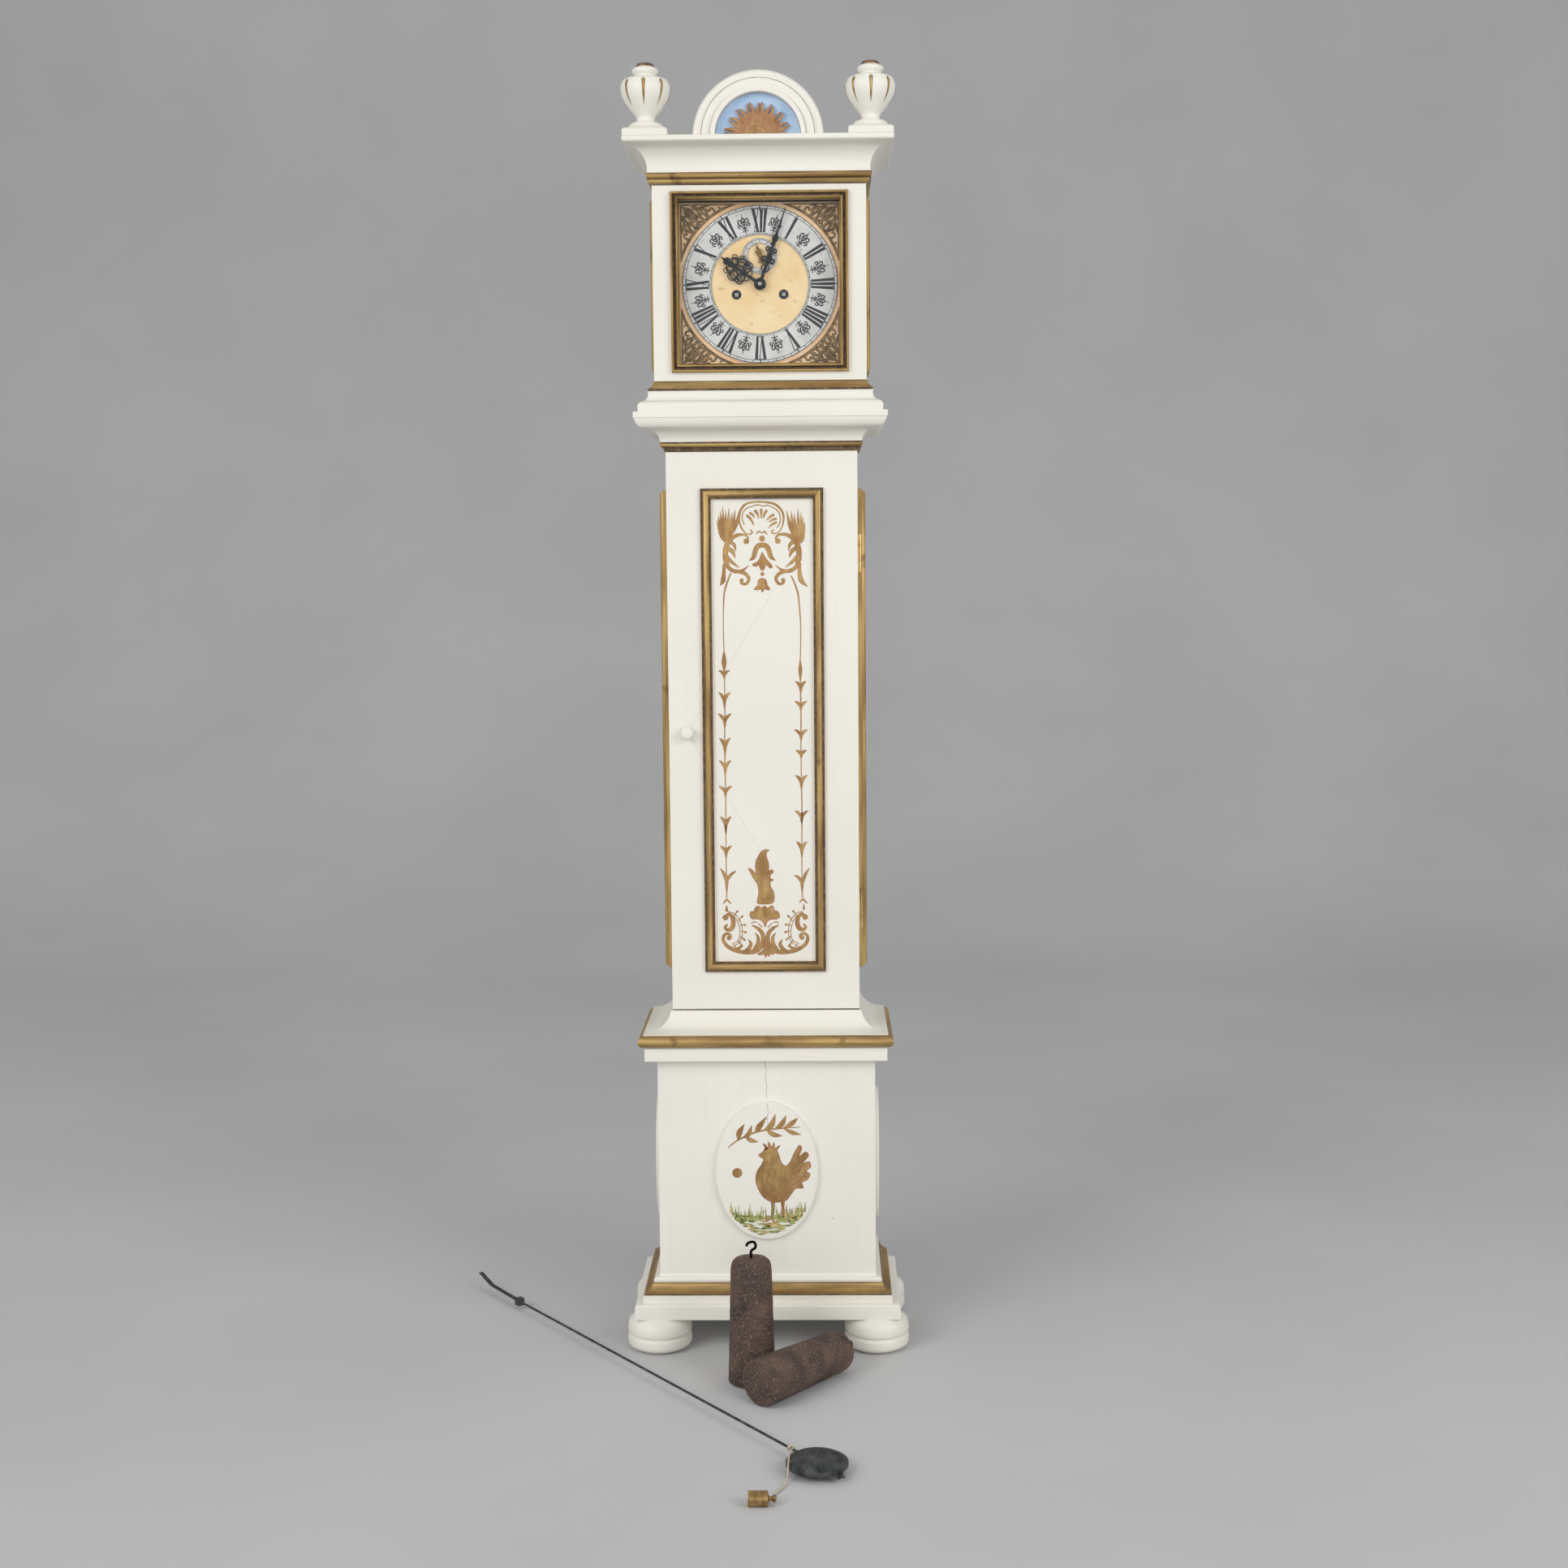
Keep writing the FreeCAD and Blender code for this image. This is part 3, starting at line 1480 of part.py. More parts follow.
motion_teeth = s.motion_teeth.value
minute_wheel_angle = mesh_angle(0, motion_z.value, 0, dial_height, motion_teeth, motion_teeth, 0)
hour_module = motion_distance.value * 2 / (s.hour_teeth.value + s.hour_pinion_leaves.value)
stud_bore = (s.arbor_radius + s.running_clearance) * BORE_SHARE
node(
    "minute_wheel",
    fuse(
        on_arbor(
            gear(
                motion_teeth,
                s.motion_module.value,
                minute_wheel_angle,
                stud_bore.value,
                wheel_thickness,
            ),
            0,
            cannon_y,
            motion_z,
        ),
        on_arbor(
            gear(
                s.hour_pinion_leaves.value,
                hour_module,
                minute_wheel_angle,
                stud_bore.value,
                s.hour_pinion_length.value,
            ),
            0,
            cannon_y - s.wheel_thickness,
            motion_z,
        ),
    ),
)
hour_angle = mesh_angle(
    0, dial_height, 0, motion_z.value, s.hour_teeth.value, s.hour_pinion_leaves.value, minute_wheel_angle
)
pipe_bore = (s.cannon_radius - s.pivot_radius + s.running_clearance) * BORE_SHARE
hour_pipe = cut(
    arbor(s.hour_pipe_radius, hour_hand_y, hour_wheel_y, 0, dial_z),
    arbor(pipe_bore, hour_hand_y - s.panel_gap, hour_wheel_y + s.panel_gap, 0, dial_z),
)
node(
    "hour_wheel",
    fuse(
        on_arbor(
            gear(s.hour_teeth.value, hour_module, hour_angle, pipe_bore.value, wheel_thickness, WHEEL_ARMS),
            0,
            hour_wheel_y,
            dial_z,
        ),
        hour_pipe,
    ),
)

# Going and striking sides: a great wheel with its drum, wound by a square through the dial


def great_wheel(word, side, wheel_y, teeth, angle):
    """A great wheel, loose on the drum's arbor."""
    bore = (s.winding_arbor_radius + s.running_clearance) * BORE_SHARE
    wheel = gear(teeth, s.great_module.value, angle, bore.value, wheel_thickness, WHEEL_ARMS)
    node(f"{word}_great_wheel", on_arbor(wheel, s.winding_side * side, wheel_y, winding_z))


def winding_drum(word, side, low):
    """A drum with its flanges, its arbor and the square for the key."""
    x = s.winding_side * side
    high = low + s.barrel_length
    half_square = s.winding_square / 2
    arbor_front = s.front_plate_y - s.plate_thickness
    node(
        f"{word}_barrel",
        fuse(
            arbor(s.barrel_radius, low, high, x, winding_z),
            arbor(s.barrel_radius + s.barrel_flange, low, low + s.barrel_flange, x, winding_z),
            arbor(s.barrel_radius + s.barrel_flange, high - s.barrel_flange, high, x, winding_z),
            arbor(s.winding_arbor_radius, arbor_front, back_plate_back, x, winding_z),
            box(
                (x - half_square, x + half_square),
                (s.dial_plate_y, arbor_front),
                (winding_z - half_square, winding_z + half_square),
            ),
        ),
    )


going_wheel_y = centre_pinion_y - s.pinion_length / 2 + s.wheel_thickness / 2
going_drum_back = going_wheel_y - s.wheel_thickness - s.wheel_thickness / 2
going_teeth = s.great_teeth.value
going_angle = mesh_angle(s.winding_side.value, winding_z.value, 0, dial_height, going_teeth, pinion_leaves, 0)
great_wheel("going", 1, going_wheel_y, going_teeth, going_angle)
great_wheel("strike", -1, strike_wheel_y, s.strike_great_teeth.value, 0)
winding_drum("going", 1, going_drum_back - s.barrel_length)
winding_drum("strike", -1, strike_wheel_y + s.wheel_thickness / 2)

# Anchor with its crutch, the back cock, the bell on its stand and the hammer

PALLET_SPAN_SHARE = 0.8
PALLET_REACH_SHARE = 0.62


ANCHOR_EDGE_SHARES = [
    (0, 1, 0),
    (0.7, 0.2, 0),
    (1, 0, -0.55),
    (0.93, 0, -0.6),
    (0.62, -1.4, 0),
    (0, -1, 0),
]


def anchor_edge():
    """The anchor's outline, in shares of its span, its arm's thickness and its drop."""
    span = s.escape_radius.value * PALLET_SPAN_SHARE
    drop = s.anchor_rise.value * PALLET_REACH_SHARE
    arm = s.anchor_thickness.value
    right = [
        (span * span_share, arm * arm_share + drop * drop_share)
        for span_share, arm_share, drop_share in ANCHOR_EDGE_SHARES
    ]
    left = [(-x, y) for x, y in reversed(right[1:-1])]
    return right + left


anchor_plate = on_arbor(
    flat_piece("pallets", [loop_of(anchor_edge())], s.anchor_thickness.value),
    0,
    escape_wheel_y + s.panel_gap,
    anchor_z,
)
CRUTCH_PLACE_SHARE = 0.3
FORK_REACH_SHARE = 0.7
crutch_y = back_plate_back + s.cock_reach * CRUTCH_PLACE_SHARE
crutch_end = anchor_z - s.crutch_length
fork_back = crutch_y + s.cock_reach * FORK_REACH_SHARE
fork_height = (crutch_end - s.arbor_radius, crutch_end + s.arbor_radius)
fork_side = s.fork_half_gap + s.fork_prong
node(
    "anchor",
    fuse(
        anchor_plate,
        arbor(s.arbor_radius, inside_front, inside_back, 0, anchor_z),
        arbor(s.pivot_radius, s.front_plate_y, crutch_y + s.arbor_radius * 2, 0, anchor_z),
        bar_along_z(s.arbor_radius, crutch_end, anchor_z, 0, crutch_y, ROD_SIDES),
        box(pair(fork_side), (crutch_y - s.arbor_radius, crutch_y + s.arbor_radius), fork_height),
        box((-fork_side, -s.fork_half_gap), (crutch_y, fork_back), fork_height),
        box((s.fork_half_gap, fork_side), (crutch_y, fork_back), fork_height),
    ),
)
cock_height = (anchor_z, anchor_z + s.pillar_radius * 2)
cock_arm_y = back_plate_back + s.cock_reach
cock_side = s.cock_half_gap + s.pillar_radius
cock_boards = [
    box((-cock_side, -s.cock_half_gap), (back_plate_back, cock_arm_y), cock_height),
    box((s.cock_half_gap, cock_side), (back_plate_back, cock_arm_y), cock_height),
    box(
        pair(cock_side),
        (cock_arm_y, cock_arm_y + s.plate_thickness),
        (anchor_z - s.pillar_radius, cock_height[1]),
    ),
]

BELL_RINGS_SHARES = [(1, 0), (0.93, 0.3), (0.8, 0.68), (0.6, 0.88), (0.25, 1)]
BELL_HOLLOW_RINGS_SHARES = [(0.95, -0.02), (0.87, 0.3), (0.74, 0.64), (0.54, 0.82), (0.22, 0.93)]
bell_cup = turned("bell_cup", s.bell_radius, s.bell_height, BELL_RINGS_SHARES, TURNED_SIDES)
bell_hollow = turned("bell_hollow", s.bell_radius, s.bell_height, BELL_HOLLOW_RINGS_SHARES, TURNED_SIDES)
bell = cut(bell_cup, bell_hollow)
bell_y = (front_plate_back + back_plate_front) / 2
place(bell, 0, bell_y, bell_z)
node("bell", bell)
bell_under = bell_z + s.bell_height * BELL_HOLLOW_RINGS_SHARES[-1][1]
stand_foot = dial_z + s.plate_top
node(
    "back_cock",
    *cock_boards,
    fuse(
        bar_along_z(s.bell_rod_radius, stand_foot - s.panel_gap, bell_under, 0, bell_y, ROD_SIDES),
        box(
            pair(s.pillar_radius),
            (bell_y - s.pillar_radius, back_plate_back),
            (stand_foot, stand_foot + s.plate_thickness),
        ),
    ),
)
HAMMER_HEIGHT_SHARE = 0.3
hammer_top = bell_z + s.bell_height * HAMMER_HEIGHT_SHARE
hammer_half = s.hammer_head_radius
node(
    "hammer",
    fuse(
        arbor(s.arbor_radius, inside_front, inside_back, hammer_x, anchor_z),
        arbor(s.pivot_radius, s.front_plate_y, back_plate_back, hammer_x, anchor_z),
        bar_along_z(s.arbor_radius, anchor_z, hammer_top, hammer_x, bell_y, ROD_SIDES),
        arbor(hammer_half, bell_y - hammer_half, bell_y + hammer_half, hammer_x, hammer_top),
    ),
)

# Hands: blackened steel, cut from sheet as bands round scrolls

SCROLL_SIDES = 8


def band(x, y, radius, width):
    """A ring of sheet, one scroll of a hand."""
    outside = Part.Face(many_sided(x, y, radius + width / 2, SCROLL_SIDES))
    inside = Part.Face(many_sided(x, y, radius - width / 2, SCROLL_SIDES))
    return outside.cut(inside)


def hand(name, length, boss, scrolls_shares, blade_shares, bore, y, degrees, x, z):
    """A hand that points up the page before it is turned by its angle."""
    blade = [(x_share * length, y_share * length) for x_share, y_share in blade_shares]
    blade += [(-px, py) for px, py in reversed(blade) if px]
    up = FreeCAD.Vector(0, 0, s.hand_thickness.value)
    sheet_parts = [Part.Face(loop_of(blade)), Part.Face(round_loop(boss))]
    for x_share, y_share, radius_share, width_share in scrolls_shares:
        for mirror in (-1, 1):
            sheet_parts.append(
                band(x_share * length * mirror, y_share * length, radius_share * length, width_share * length)
            )
    solids = [face.extrude(up) for face in sheet_parts]
    shape = solids[0].fuse(solids[1:]).removeSplitter()
    piece = doc.addObject("Part::Feature", name)
    piece.Shape = shape.cut(Part.Face(round_loop(bore)).extrude(up))
    turn = FreeCAD.Rotation(FreeCAD.Vector(0, 0, 1), -degrees.value)
    place(piece, x, y, z, UP_TO_FRONT * turn)
    return piece


MINUTE_BLADE_SHARES = [
    (0.022, 0.05),
    (0.018, 0.3),
    (0.036, 0.36),
    (0.014, 0.42),
    (0.014, 0.52),
    (0.04, 0.58),
    (0.014, 0.66),
    (0.006, 0.97),
    (0, 1),
]
MINUTE_SCROLLS_SHARES = [(0.05, 0.31, 0.032, 0.02), (0.042, 0.44, 0.026, 0.018)]
HOUR_BLADE_SHARES = [
    (0.035, 0.1),
    (0.028, 0.34),
    (0.07, 0.4),
    (0.03, 0.48),
    (0.03, 0.74),
    (0.085, 0.83),
    (0.02, 0.91),
    (0, 1),
]
HOUR_SCROLLS_SHARES = [
    (0.11, 0.4, 0.085, 0.032),
    (0.15, 0.55, 0.085, 0.032),
    (0.1, 0.68, 0.07, 0.03),
    (0.2, 0.44, 0.045, 0.028),
]
SECONDS_BLADE_SHARES = [(0.06, 0.05), (0.05, 0.5), (0.02, 0.95), (0, 1)]
node(
    "hour_hand",
    hand(
        "hour_hand_sheet",
        s.hour_hand_length.value,
        s.hour_boss_radius.value,
        HOUR_SCROLLS_SHARES,
        HOUR_BLADE_SHARES,
        pipe_bore.value,
        hour_hand_y,
        s.hour_hand_angle,
        0,
        dial_z,
    ),
)
node(
    "minute_hand",
    hand(
        "minute_hand_sheet",
        s.minute_hand_length.value,
        s.minute_boss_radius.value,
        MINUTE_SCROLLS_SHARES,
        MINUTE_BLADE_SHARES,
        s.arbor_radius.value / 2,
        minute_hand_y,
        s.minute_hand_angle,
        0,
        dial_z,
    ),
)
node(
    "seconds_hand",
    hand(
        "seconds_hand_sheet",
        s.seconds_hand_length.value,
        s.seconds_boss_radius.value,
        [],
        SECONDS_BLADE_SHARES,
        s.pivot_radius.value / 2,
        seconds_front,
        s.seconds_hand_angle,
        0,
        escape_z,
    ),
)

# Two cast iron weights with wire hooks: one stands, one lies before it

IRON_RINGS_SHARES = [(0.97, 0), (1, 0.015), (0.865, 0.93), (0.82, 0.98), (0.7, 1)]
WIRE_SIDES = 6


def iron_weight(label):
    body = turned("casting", s.iron_radius, s.iron_height, IRON_RINGS_SHARES, TURNED_SIDES)
    stem = bar_along_z(s.iron_wire_radius, s.iron_height, s.iron_height + s.iron_hook_stem, 0, 0)
    wire_corners = [polar(1, FULL_TURN * corner / WIRE_SIDES) for corner in range(WIRE_SIDES)]
    section = [
        (s.iron_hook_radius + s.iron_wire_radius * x, s.iron_wire_radius * y) for x, y in wire_corners
    ]
    corners = [polar(1, FULL_TURN * corner / ROD_SIDES) for corner in range(ROD_SIDES)]
    ring = [(s.iron_hook_radius * x, s.iron_hook_radius * y) for x, y in corners + corners[:1]]
    loop = swept_run("loop", ring, "XY_Plane", section, "XZ_Plane")
    loop_z = s.iron_height + s.iron_hook_stem + s.iron_hook_radius - s.iron_wire_radius
    place(loop, 0, 0, loop_z, UP_TO_FRONT)
    return node(label, fuse(body, stem, loop))


standing = iron_weight("iron_weight_standing")
place(standing, s.iron_standing_x, s.iron_standing_y, s.lift_gap)
lying = iron_weight("iron_weight_lying")
taper_radius_share, taper_height_share = IRON_RINGS_SHARES[2]
taper = s.iron_radius.value * (1 - taper_radius_share)
tilt = math.degrees(math.atan2(taper, s.iron_height.value * taper_height_share))
around_z = FreeCAD.Rotation(FreeCAD.Vector(0, 0, 1), s.iron_lying_turn.value)
laid_down = FreeCAD.Rotation(FreeCAD.Vector(0, 1, 0), FULL_TURN / 4 + tilt)
place(lying, s.iron_lying_x, s.iron_lying_y, s.iron_radius + s.lift_gap, around_z * laid_down)

# Pendulum laid on the floor: lens bob, rod, rating nut, block and bent suspension spring

BOB_RINGS_SHARES = [(0.3, 0), (0.68, 0.13), (1, 0.4), (1, 0.6), (0.68, 0.87), (0.3, 1)]
rod_x, rod_y = polar(1, s.rod_turn.value)
bob_z = s.bob_thickness / 2 + s.lift_gap
rod_bore_radius = (s.rod_radius + s.running_clearance) * BORE_SHARE
bob = turned("bob_lens", s.bob_radius, s.bob_thickness, BOB_RINGS_SHARES, TURNED_SIDES)
place(bob, s.bob_x, s.bob_y, s.lift_gap)
ALONG_ROD = FreeCAD.Rotation(FreeCAD.Vector(0, 0, 1), s.rod_turn.value) * UP_TO_RIGHT


def along_rod(radius, low, high):
    """A round piece about the rod, between two distances past the bob's centre."""
    piece = bar(radius, high - low, ROD_SIDES)
    place(piece, s.bob_x + low * rod_x, s.bob_y + low * rod_y, bob_z, ALONG_ROD)
    return piece


BOB_BORE_SHARE = 1.5
bob_bore_reach = s.bob_radius * BOB_BORE_SHARE
node("pendulum_bob", cut(bob, along_rod(rod_bore_radius, -bob_bore_reach, bob_bore_reach)))
block = doc.addObject("Part::Box", "spring_block")
bind(block, "Length", s.spring_block)
bind(block, "Width", s.spring_block)
bind(block, "Height", s.spring_block)
FLAT_ALONG = FreeCAD.Rotation(FreeCAD.Vector(0, 0, 1), s.rod_turn.value)
half_block = s.spring_block / 2
place(
    block,
    s.bob_x - s.rod_length * rod_x + half_block * rod_y,
    s.bob_y - s.rod_length * rod_y - half_block * rod_x,
    bob_z - half_block,
    FLAT_ALONG,
)
strip = new_body("strip")
strip_end = s.spring_bend + s.spring_tip
strip_rise = s.spring_strip_thickness * 2
strip_line = [
    (0, 0),
    (s.spring_bend, strip_rise),
    (strip_end, s.spring_tip_rise),
    (strip_end, s.spring_tip_rise + s.spring_strip_thickness),
    (s.spring_bend, strip_rise + s.spring_strip_thickness),
    (0, s.spring_strip_thickness),
]
strip_sketch = sketch_on(strip, "XZ_Plane", "strip_outline", strip_line)
strip_pad = strip.newObject("PartDesign::Pad", "strip_width")
strip_pad.Profile = strip_sketch
strip_pad.Midplane = True
bind(strip_pad, "Length", s.spring_strip_width)
place(
    strip,
    s.bob_x - s.rod_length * rod_x,
    s.bob_y - s.rod_length * rod_y,
    bob_z,
    FreeCAD.Rotation(FreeCAD.Vector(0, 0, 1), s.rod_turn.value + FULL_TURN / 2),
)
node(
    "pendulum_rod",
    fuse(
        along_rod(s.rod_radius, -s.rod_length, s.bob_radius + s.rod_tail),
        along_rod(s.rating_nut_radius, s.bob_radius, s.bob_radius + s.rating_nut_height),
        block,
        strip,
    ),
)

# Twisted cotton string, tied round the rod, with a small brass weight at its end

STRING_ROUTE = [
    (46.5, -543.5, 16),
    (44.5, -557, 20.5),
    (42, -574, 23.5),
    (40, -592, 24),
    (39, -609, 20),
    (38.5, -622, 10),
    (36, -635, 3),
    (29, -651, 1.9),
    (21, -666, 1.9),
    (19, -681, 3.5),
    (17, -693, 9),
]


def tube_path(points):
    """Straight runs joined by tangent arcs as large as their runs allow."""
    route = [FreeCAD.Vector(*point) for point in points]
    edges = []
    last = route[0]
    radii = []
    for before, corner, after in zip(route, route[1:], route[2:]):
        into = corner - before
        out = after - corner
        turn = into.getAngle(out)
        radius = TANGENT_SHARE * min(into.Length, out.Length) / math.tan(turn / 2)
        back = radius * math.tan(turn / 2)
        into.normalize()
        out.normalize()
        start = corner - into * back
        end = corner + out * back
        bisector = out - into
        bisector.normalize()
        middle = corner + bisector * (radius / math.cos(turn / 2) - radius)
        edges.append(Part.LineSegment(last, start).toShape())
        edges.append(Part.Arc(start, middle, end).toShape())
        last = end
        radii.append(radius)
    edges.append(Part.LineSegment(last, route[-1]).toShape())
    return Part.Wire(edges), radii


TANGENT_SHARE = 0.45
STRING_SIDES = 6
string_line, string_radii = tube_path(STRING_ROUTE)
start_way = FreeCAD.Vector(*STRING_ROUTE[1]) - FreeCAD.Vector(*STRING_ROUTE[0])
string_end = many_sided(0, 0, s.string_radius.value, STRING_SIDES)
string_end.Placement = FreeCAD.Placement(
    FreeCAD.Vector(*STRING_ROUTE[0]), FreeCAD.Rotation(FreeCAD.Vector(0, 0, 1), start_way)
)
string = doc.addObject("Part::Feature", "string_tube")
string.Shape = string_line.makePipeShell([string_end], True, False)
expected = Part.Face(string_end).Area * string_line.Length
print("string length", round(string_line.Length, 1), "volume share", round(string.Shape.Volume / expected, 4))
print("string radii", [round(radius, 1) for radius in string_radii])
TIE_PLACE_SHARE = 1.35
tie_distance = -s.bob_radius * TIE_PLACE_SHARE
tie = cut(
    along_rod(s.tie_radius, tie_distance - s.tie_width, tie_distance),
    along_rod(rod_bore_radius, tie_distance - s.tie_width * 2, tie_distance + s.tie_width),
)
node("bob_string", string, tie)

BRASS_RINGS_SHARES = [
    (0.9, 0),
    (1, 0.03),
    (1, 0.67),
    (0.8, 0.72),
    (0.3, 0.75),
    (0.3, 0.86),
    (0.5, 0.92),
    (0.3, 1),
]
BRASS_NECK_SHARE = 0.805
BRASS_ASIDE_SHARE = 0.4
brass = turned("brass_casting", s.brass_weight_radius, s.brass_length, BRASS_RINGS_SHARES, SMALL_SIDES)
brass_x = STRING_ROUTE[-1][0] - (s.brass_length * BRASS_NECK_SHARE).value
brass_y = STRING_ROUTE[-1][1] - s.brass_weight_radius.value * BRASS_ASIDE_SHARE
place(brass, brass_x, brass_y, s.brass_weight_radius + s.lift_gap, UP_TO_RIGHT)
node("brass_weight", brass)

# Every sub-part must be whole and valid before anything is written

doc.recompute()
broken = [piece.Label for piece in doc.Objects if "Invalid" in piece.State or "Error" in piece.State]
if broken:
    raise RuntimeError(f"failed objects: {broken}")
for piece in nodes:
    if piece.Shape.isNull() or not piece.Shape.isValid() or not piece.Shape.Solids:
        raise RuntimeError(f"{piece.Label} is not a valid solid")
os.makedirs("parts", exist_ok=True)
for piece in nodes:
    piece.Shape.exportStep(f"parts/{piece.Label}.step")
print(len(nodes), "sub-parts written")
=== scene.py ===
import itertools
import math
import random

import bmesh
import bpy
from mathutils import Matrix, Vector
from mathutils.geometry import tessellate_polygon


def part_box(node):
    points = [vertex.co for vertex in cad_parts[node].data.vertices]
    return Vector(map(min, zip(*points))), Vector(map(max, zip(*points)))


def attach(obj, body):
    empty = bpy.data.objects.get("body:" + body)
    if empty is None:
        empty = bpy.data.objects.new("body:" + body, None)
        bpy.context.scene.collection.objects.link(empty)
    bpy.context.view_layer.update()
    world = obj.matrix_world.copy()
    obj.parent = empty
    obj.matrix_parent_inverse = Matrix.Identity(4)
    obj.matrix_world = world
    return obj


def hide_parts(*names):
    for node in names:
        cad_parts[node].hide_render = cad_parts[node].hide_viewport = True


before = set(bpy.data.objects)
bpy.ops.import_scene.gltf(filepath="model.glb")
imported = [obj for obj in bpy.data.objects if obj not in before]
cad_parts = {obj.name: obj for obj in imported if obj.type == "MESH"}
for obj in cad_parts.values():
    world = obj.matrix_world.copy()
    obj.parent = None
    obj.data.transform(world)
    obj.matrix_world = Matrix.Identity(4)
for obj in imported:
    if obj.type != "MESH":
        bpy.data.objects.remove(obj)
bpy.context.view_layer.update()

# Camera, studio and light
# The clock is seen from a little above chest height, more than three metres off,
# through a long lens. A grey paper sweep and three broad soft lamps stand round it.

LENS_MM, SENSOR_MM, SIGHT_LIMIT = 47.46, 36, 40
EYE_PLACE = (0.086, -3.366, 1.232)
EYE_TURN, EYE_NOD, EYE_ROLL = 0.01652, -0.09633, -0.00775
eye = bpy.data.cameras.new("eye")
eye.sensor_width = SENSOR_MM
eye.lens = LENS_MM
eye.clip_end = SIGHT_LIMIT


def placed(name, data):
    """A named object in the scene that shows the given data."""
    holder = bpy.data.objects.new(name, data)
    bpy.context.collection.objects.link(holder)
    return holder


watcher = placed("watcher", eye)
watcher.matrix_world = (
    Matrix.Translation(EYE_PLACE)
    @ Matrix.Rotation(EYE_TURN, 4, "Z")
    @ Matrix.Rotation(math.pi / 2 + EYE_NOD, 4, "X")
    @ Matrix.Rotation(EYE_ROLL, 4, "Z")
)
bpy.context.scene.camera = watcher


def new_finish(name, colour, metallic, roughness):
    """A material, its node tree and its shader."""
    finish = bpy.data.materials.new(name)
    finish.use_nodes = True
    shader = finish.node_tree.nodes["Principled BSDF"]
    shader.inputs["Base Color"].default_value = (*colour, 1)
    shader.inputs["Metallic"].default_value = metallic
    shader.inputs["Roughness"].default_value = roughness
    return finish, finish.node_tree, shader


def mottled(tree, scale, low, high, stretch=(1, 1, 1), detail=4, start=0, end=1):
    """Uneven patches over a piece, drawn between two levels into a share."""
    place = tree.nodes.new("ShaderNodeTexCoord")
    spread = tree.nodes.new("ShaderNodeMapping")
    spread.inputs["Scale"].default_value = stretch
    noise = tree.nodes.new("ShaderNodeTexNoise")
    noise.inputs["Scale"].default_value = scale
    noise.inputs["Detail"].default_value = detail
    drawn = tree.nodes.new("ShaderNodeMapRange")
    drawn.inputs["From Min"].default_value = low
    drawn.inputs["From Max"].default_value = high
    drawn.inputs["To Min"].default_value = start
    drawn.inputs["To Max"].default_value = end
    tree.links.new(place.outputs["Object"], spread.inputs["Vector"])
    tree.links.new(spread.outputs["Vector"], noise.inputs["Vector"])
    tree.links.new(noise.outputs["Fac"], drawn.inputs["Value"])
    return drawn.outputs["Result"]


def laid_over(tree, share, under, over):
    """One colour laid over another where the share is high."""
    mix = tree.nodes.new("ShaderNodeMix")
    mix.data_type = "RGBA"
    tree.links.new(share, mix.inputs["Factor"])
    for slot, colour in ((6, under), (7, over)):
        if isinstance(colour, tuple):
            mix.inputs[slot].default_value = (*colour, 1)
        else:
            tree.links.new(colour, mix.inputs[slot])
    return mix.outputs[2]


def relief(tree, shader, height, strength, depth):
    """Roughens the surface by a height pattern, with its depth in metres."""
    bump = tree.nodes.new("ShaderNodeBump")
    bump.inputs["Strength"].default_value = strength
    bump.inputs["Distance"].default_value = depth
    tree.links.new(height, bump.inputs["Height"])
    tree.links.new(bump.outputs["Normal"], shader.inputs["Normal"])


def finish_of(
    name, colour, metallic, roughness, under, over, scale, low=0.35, high=0.65, stretch=(1, 1, 1), detail=4,
    rim=None, flecks=None, grain=None, pits=None,
):
    """A material mottled between two tones, with its rim, flecks, grain or pits where they are given."""
    finish, tree, shader = new_finish(name, colour, metallic, roughness)
    pattern = mottled(tree, scale, low, high, stretch, detail)
    tone = laid_over(tree, pattern, under, over)
    if rim:
        edge = tree.nodes.new("ShaderNodeAttribute")
        edge.attribute_name = "rim"
        tone = laid_over(tree, edge.outputs["Fac"], tone, rim)
    if flecks:
        tone = laid_over(tree, mottled(tree, *flecks[:3]), tone, flecks[3])
    if grain:
        relief(tree, shader, pattern, *grain)
    if pits:
        relief(tree, shader, mottled(tree, pits[0], 0.3, 0.7, detail=8), *pits[1:])
    tree.links.new(tone, shader.inputs["Base Color"])
    return finish


def skin(rings, sides, closed=False, open_sides=False):
    """Faces between rings of points, each with so many places round it."""
    return [
        (a * sides + n, a * sides + m, b * sides + m, b * sides + n)
        for a, b in ((ring, (ring + 1) % rings) for ring in range(rings if closed else rings - 1))
        for n, m in ((side, (side + 1) % sides) for side in range(sides - 1 if open_sides else sides))
    ]


def part(points, faces, tag=0, rims=None):
    """Points in millimetres and their faces, with a finish number for each face."""
    return points, faces, [tag] * len(faces), rims or [0] * len(points)


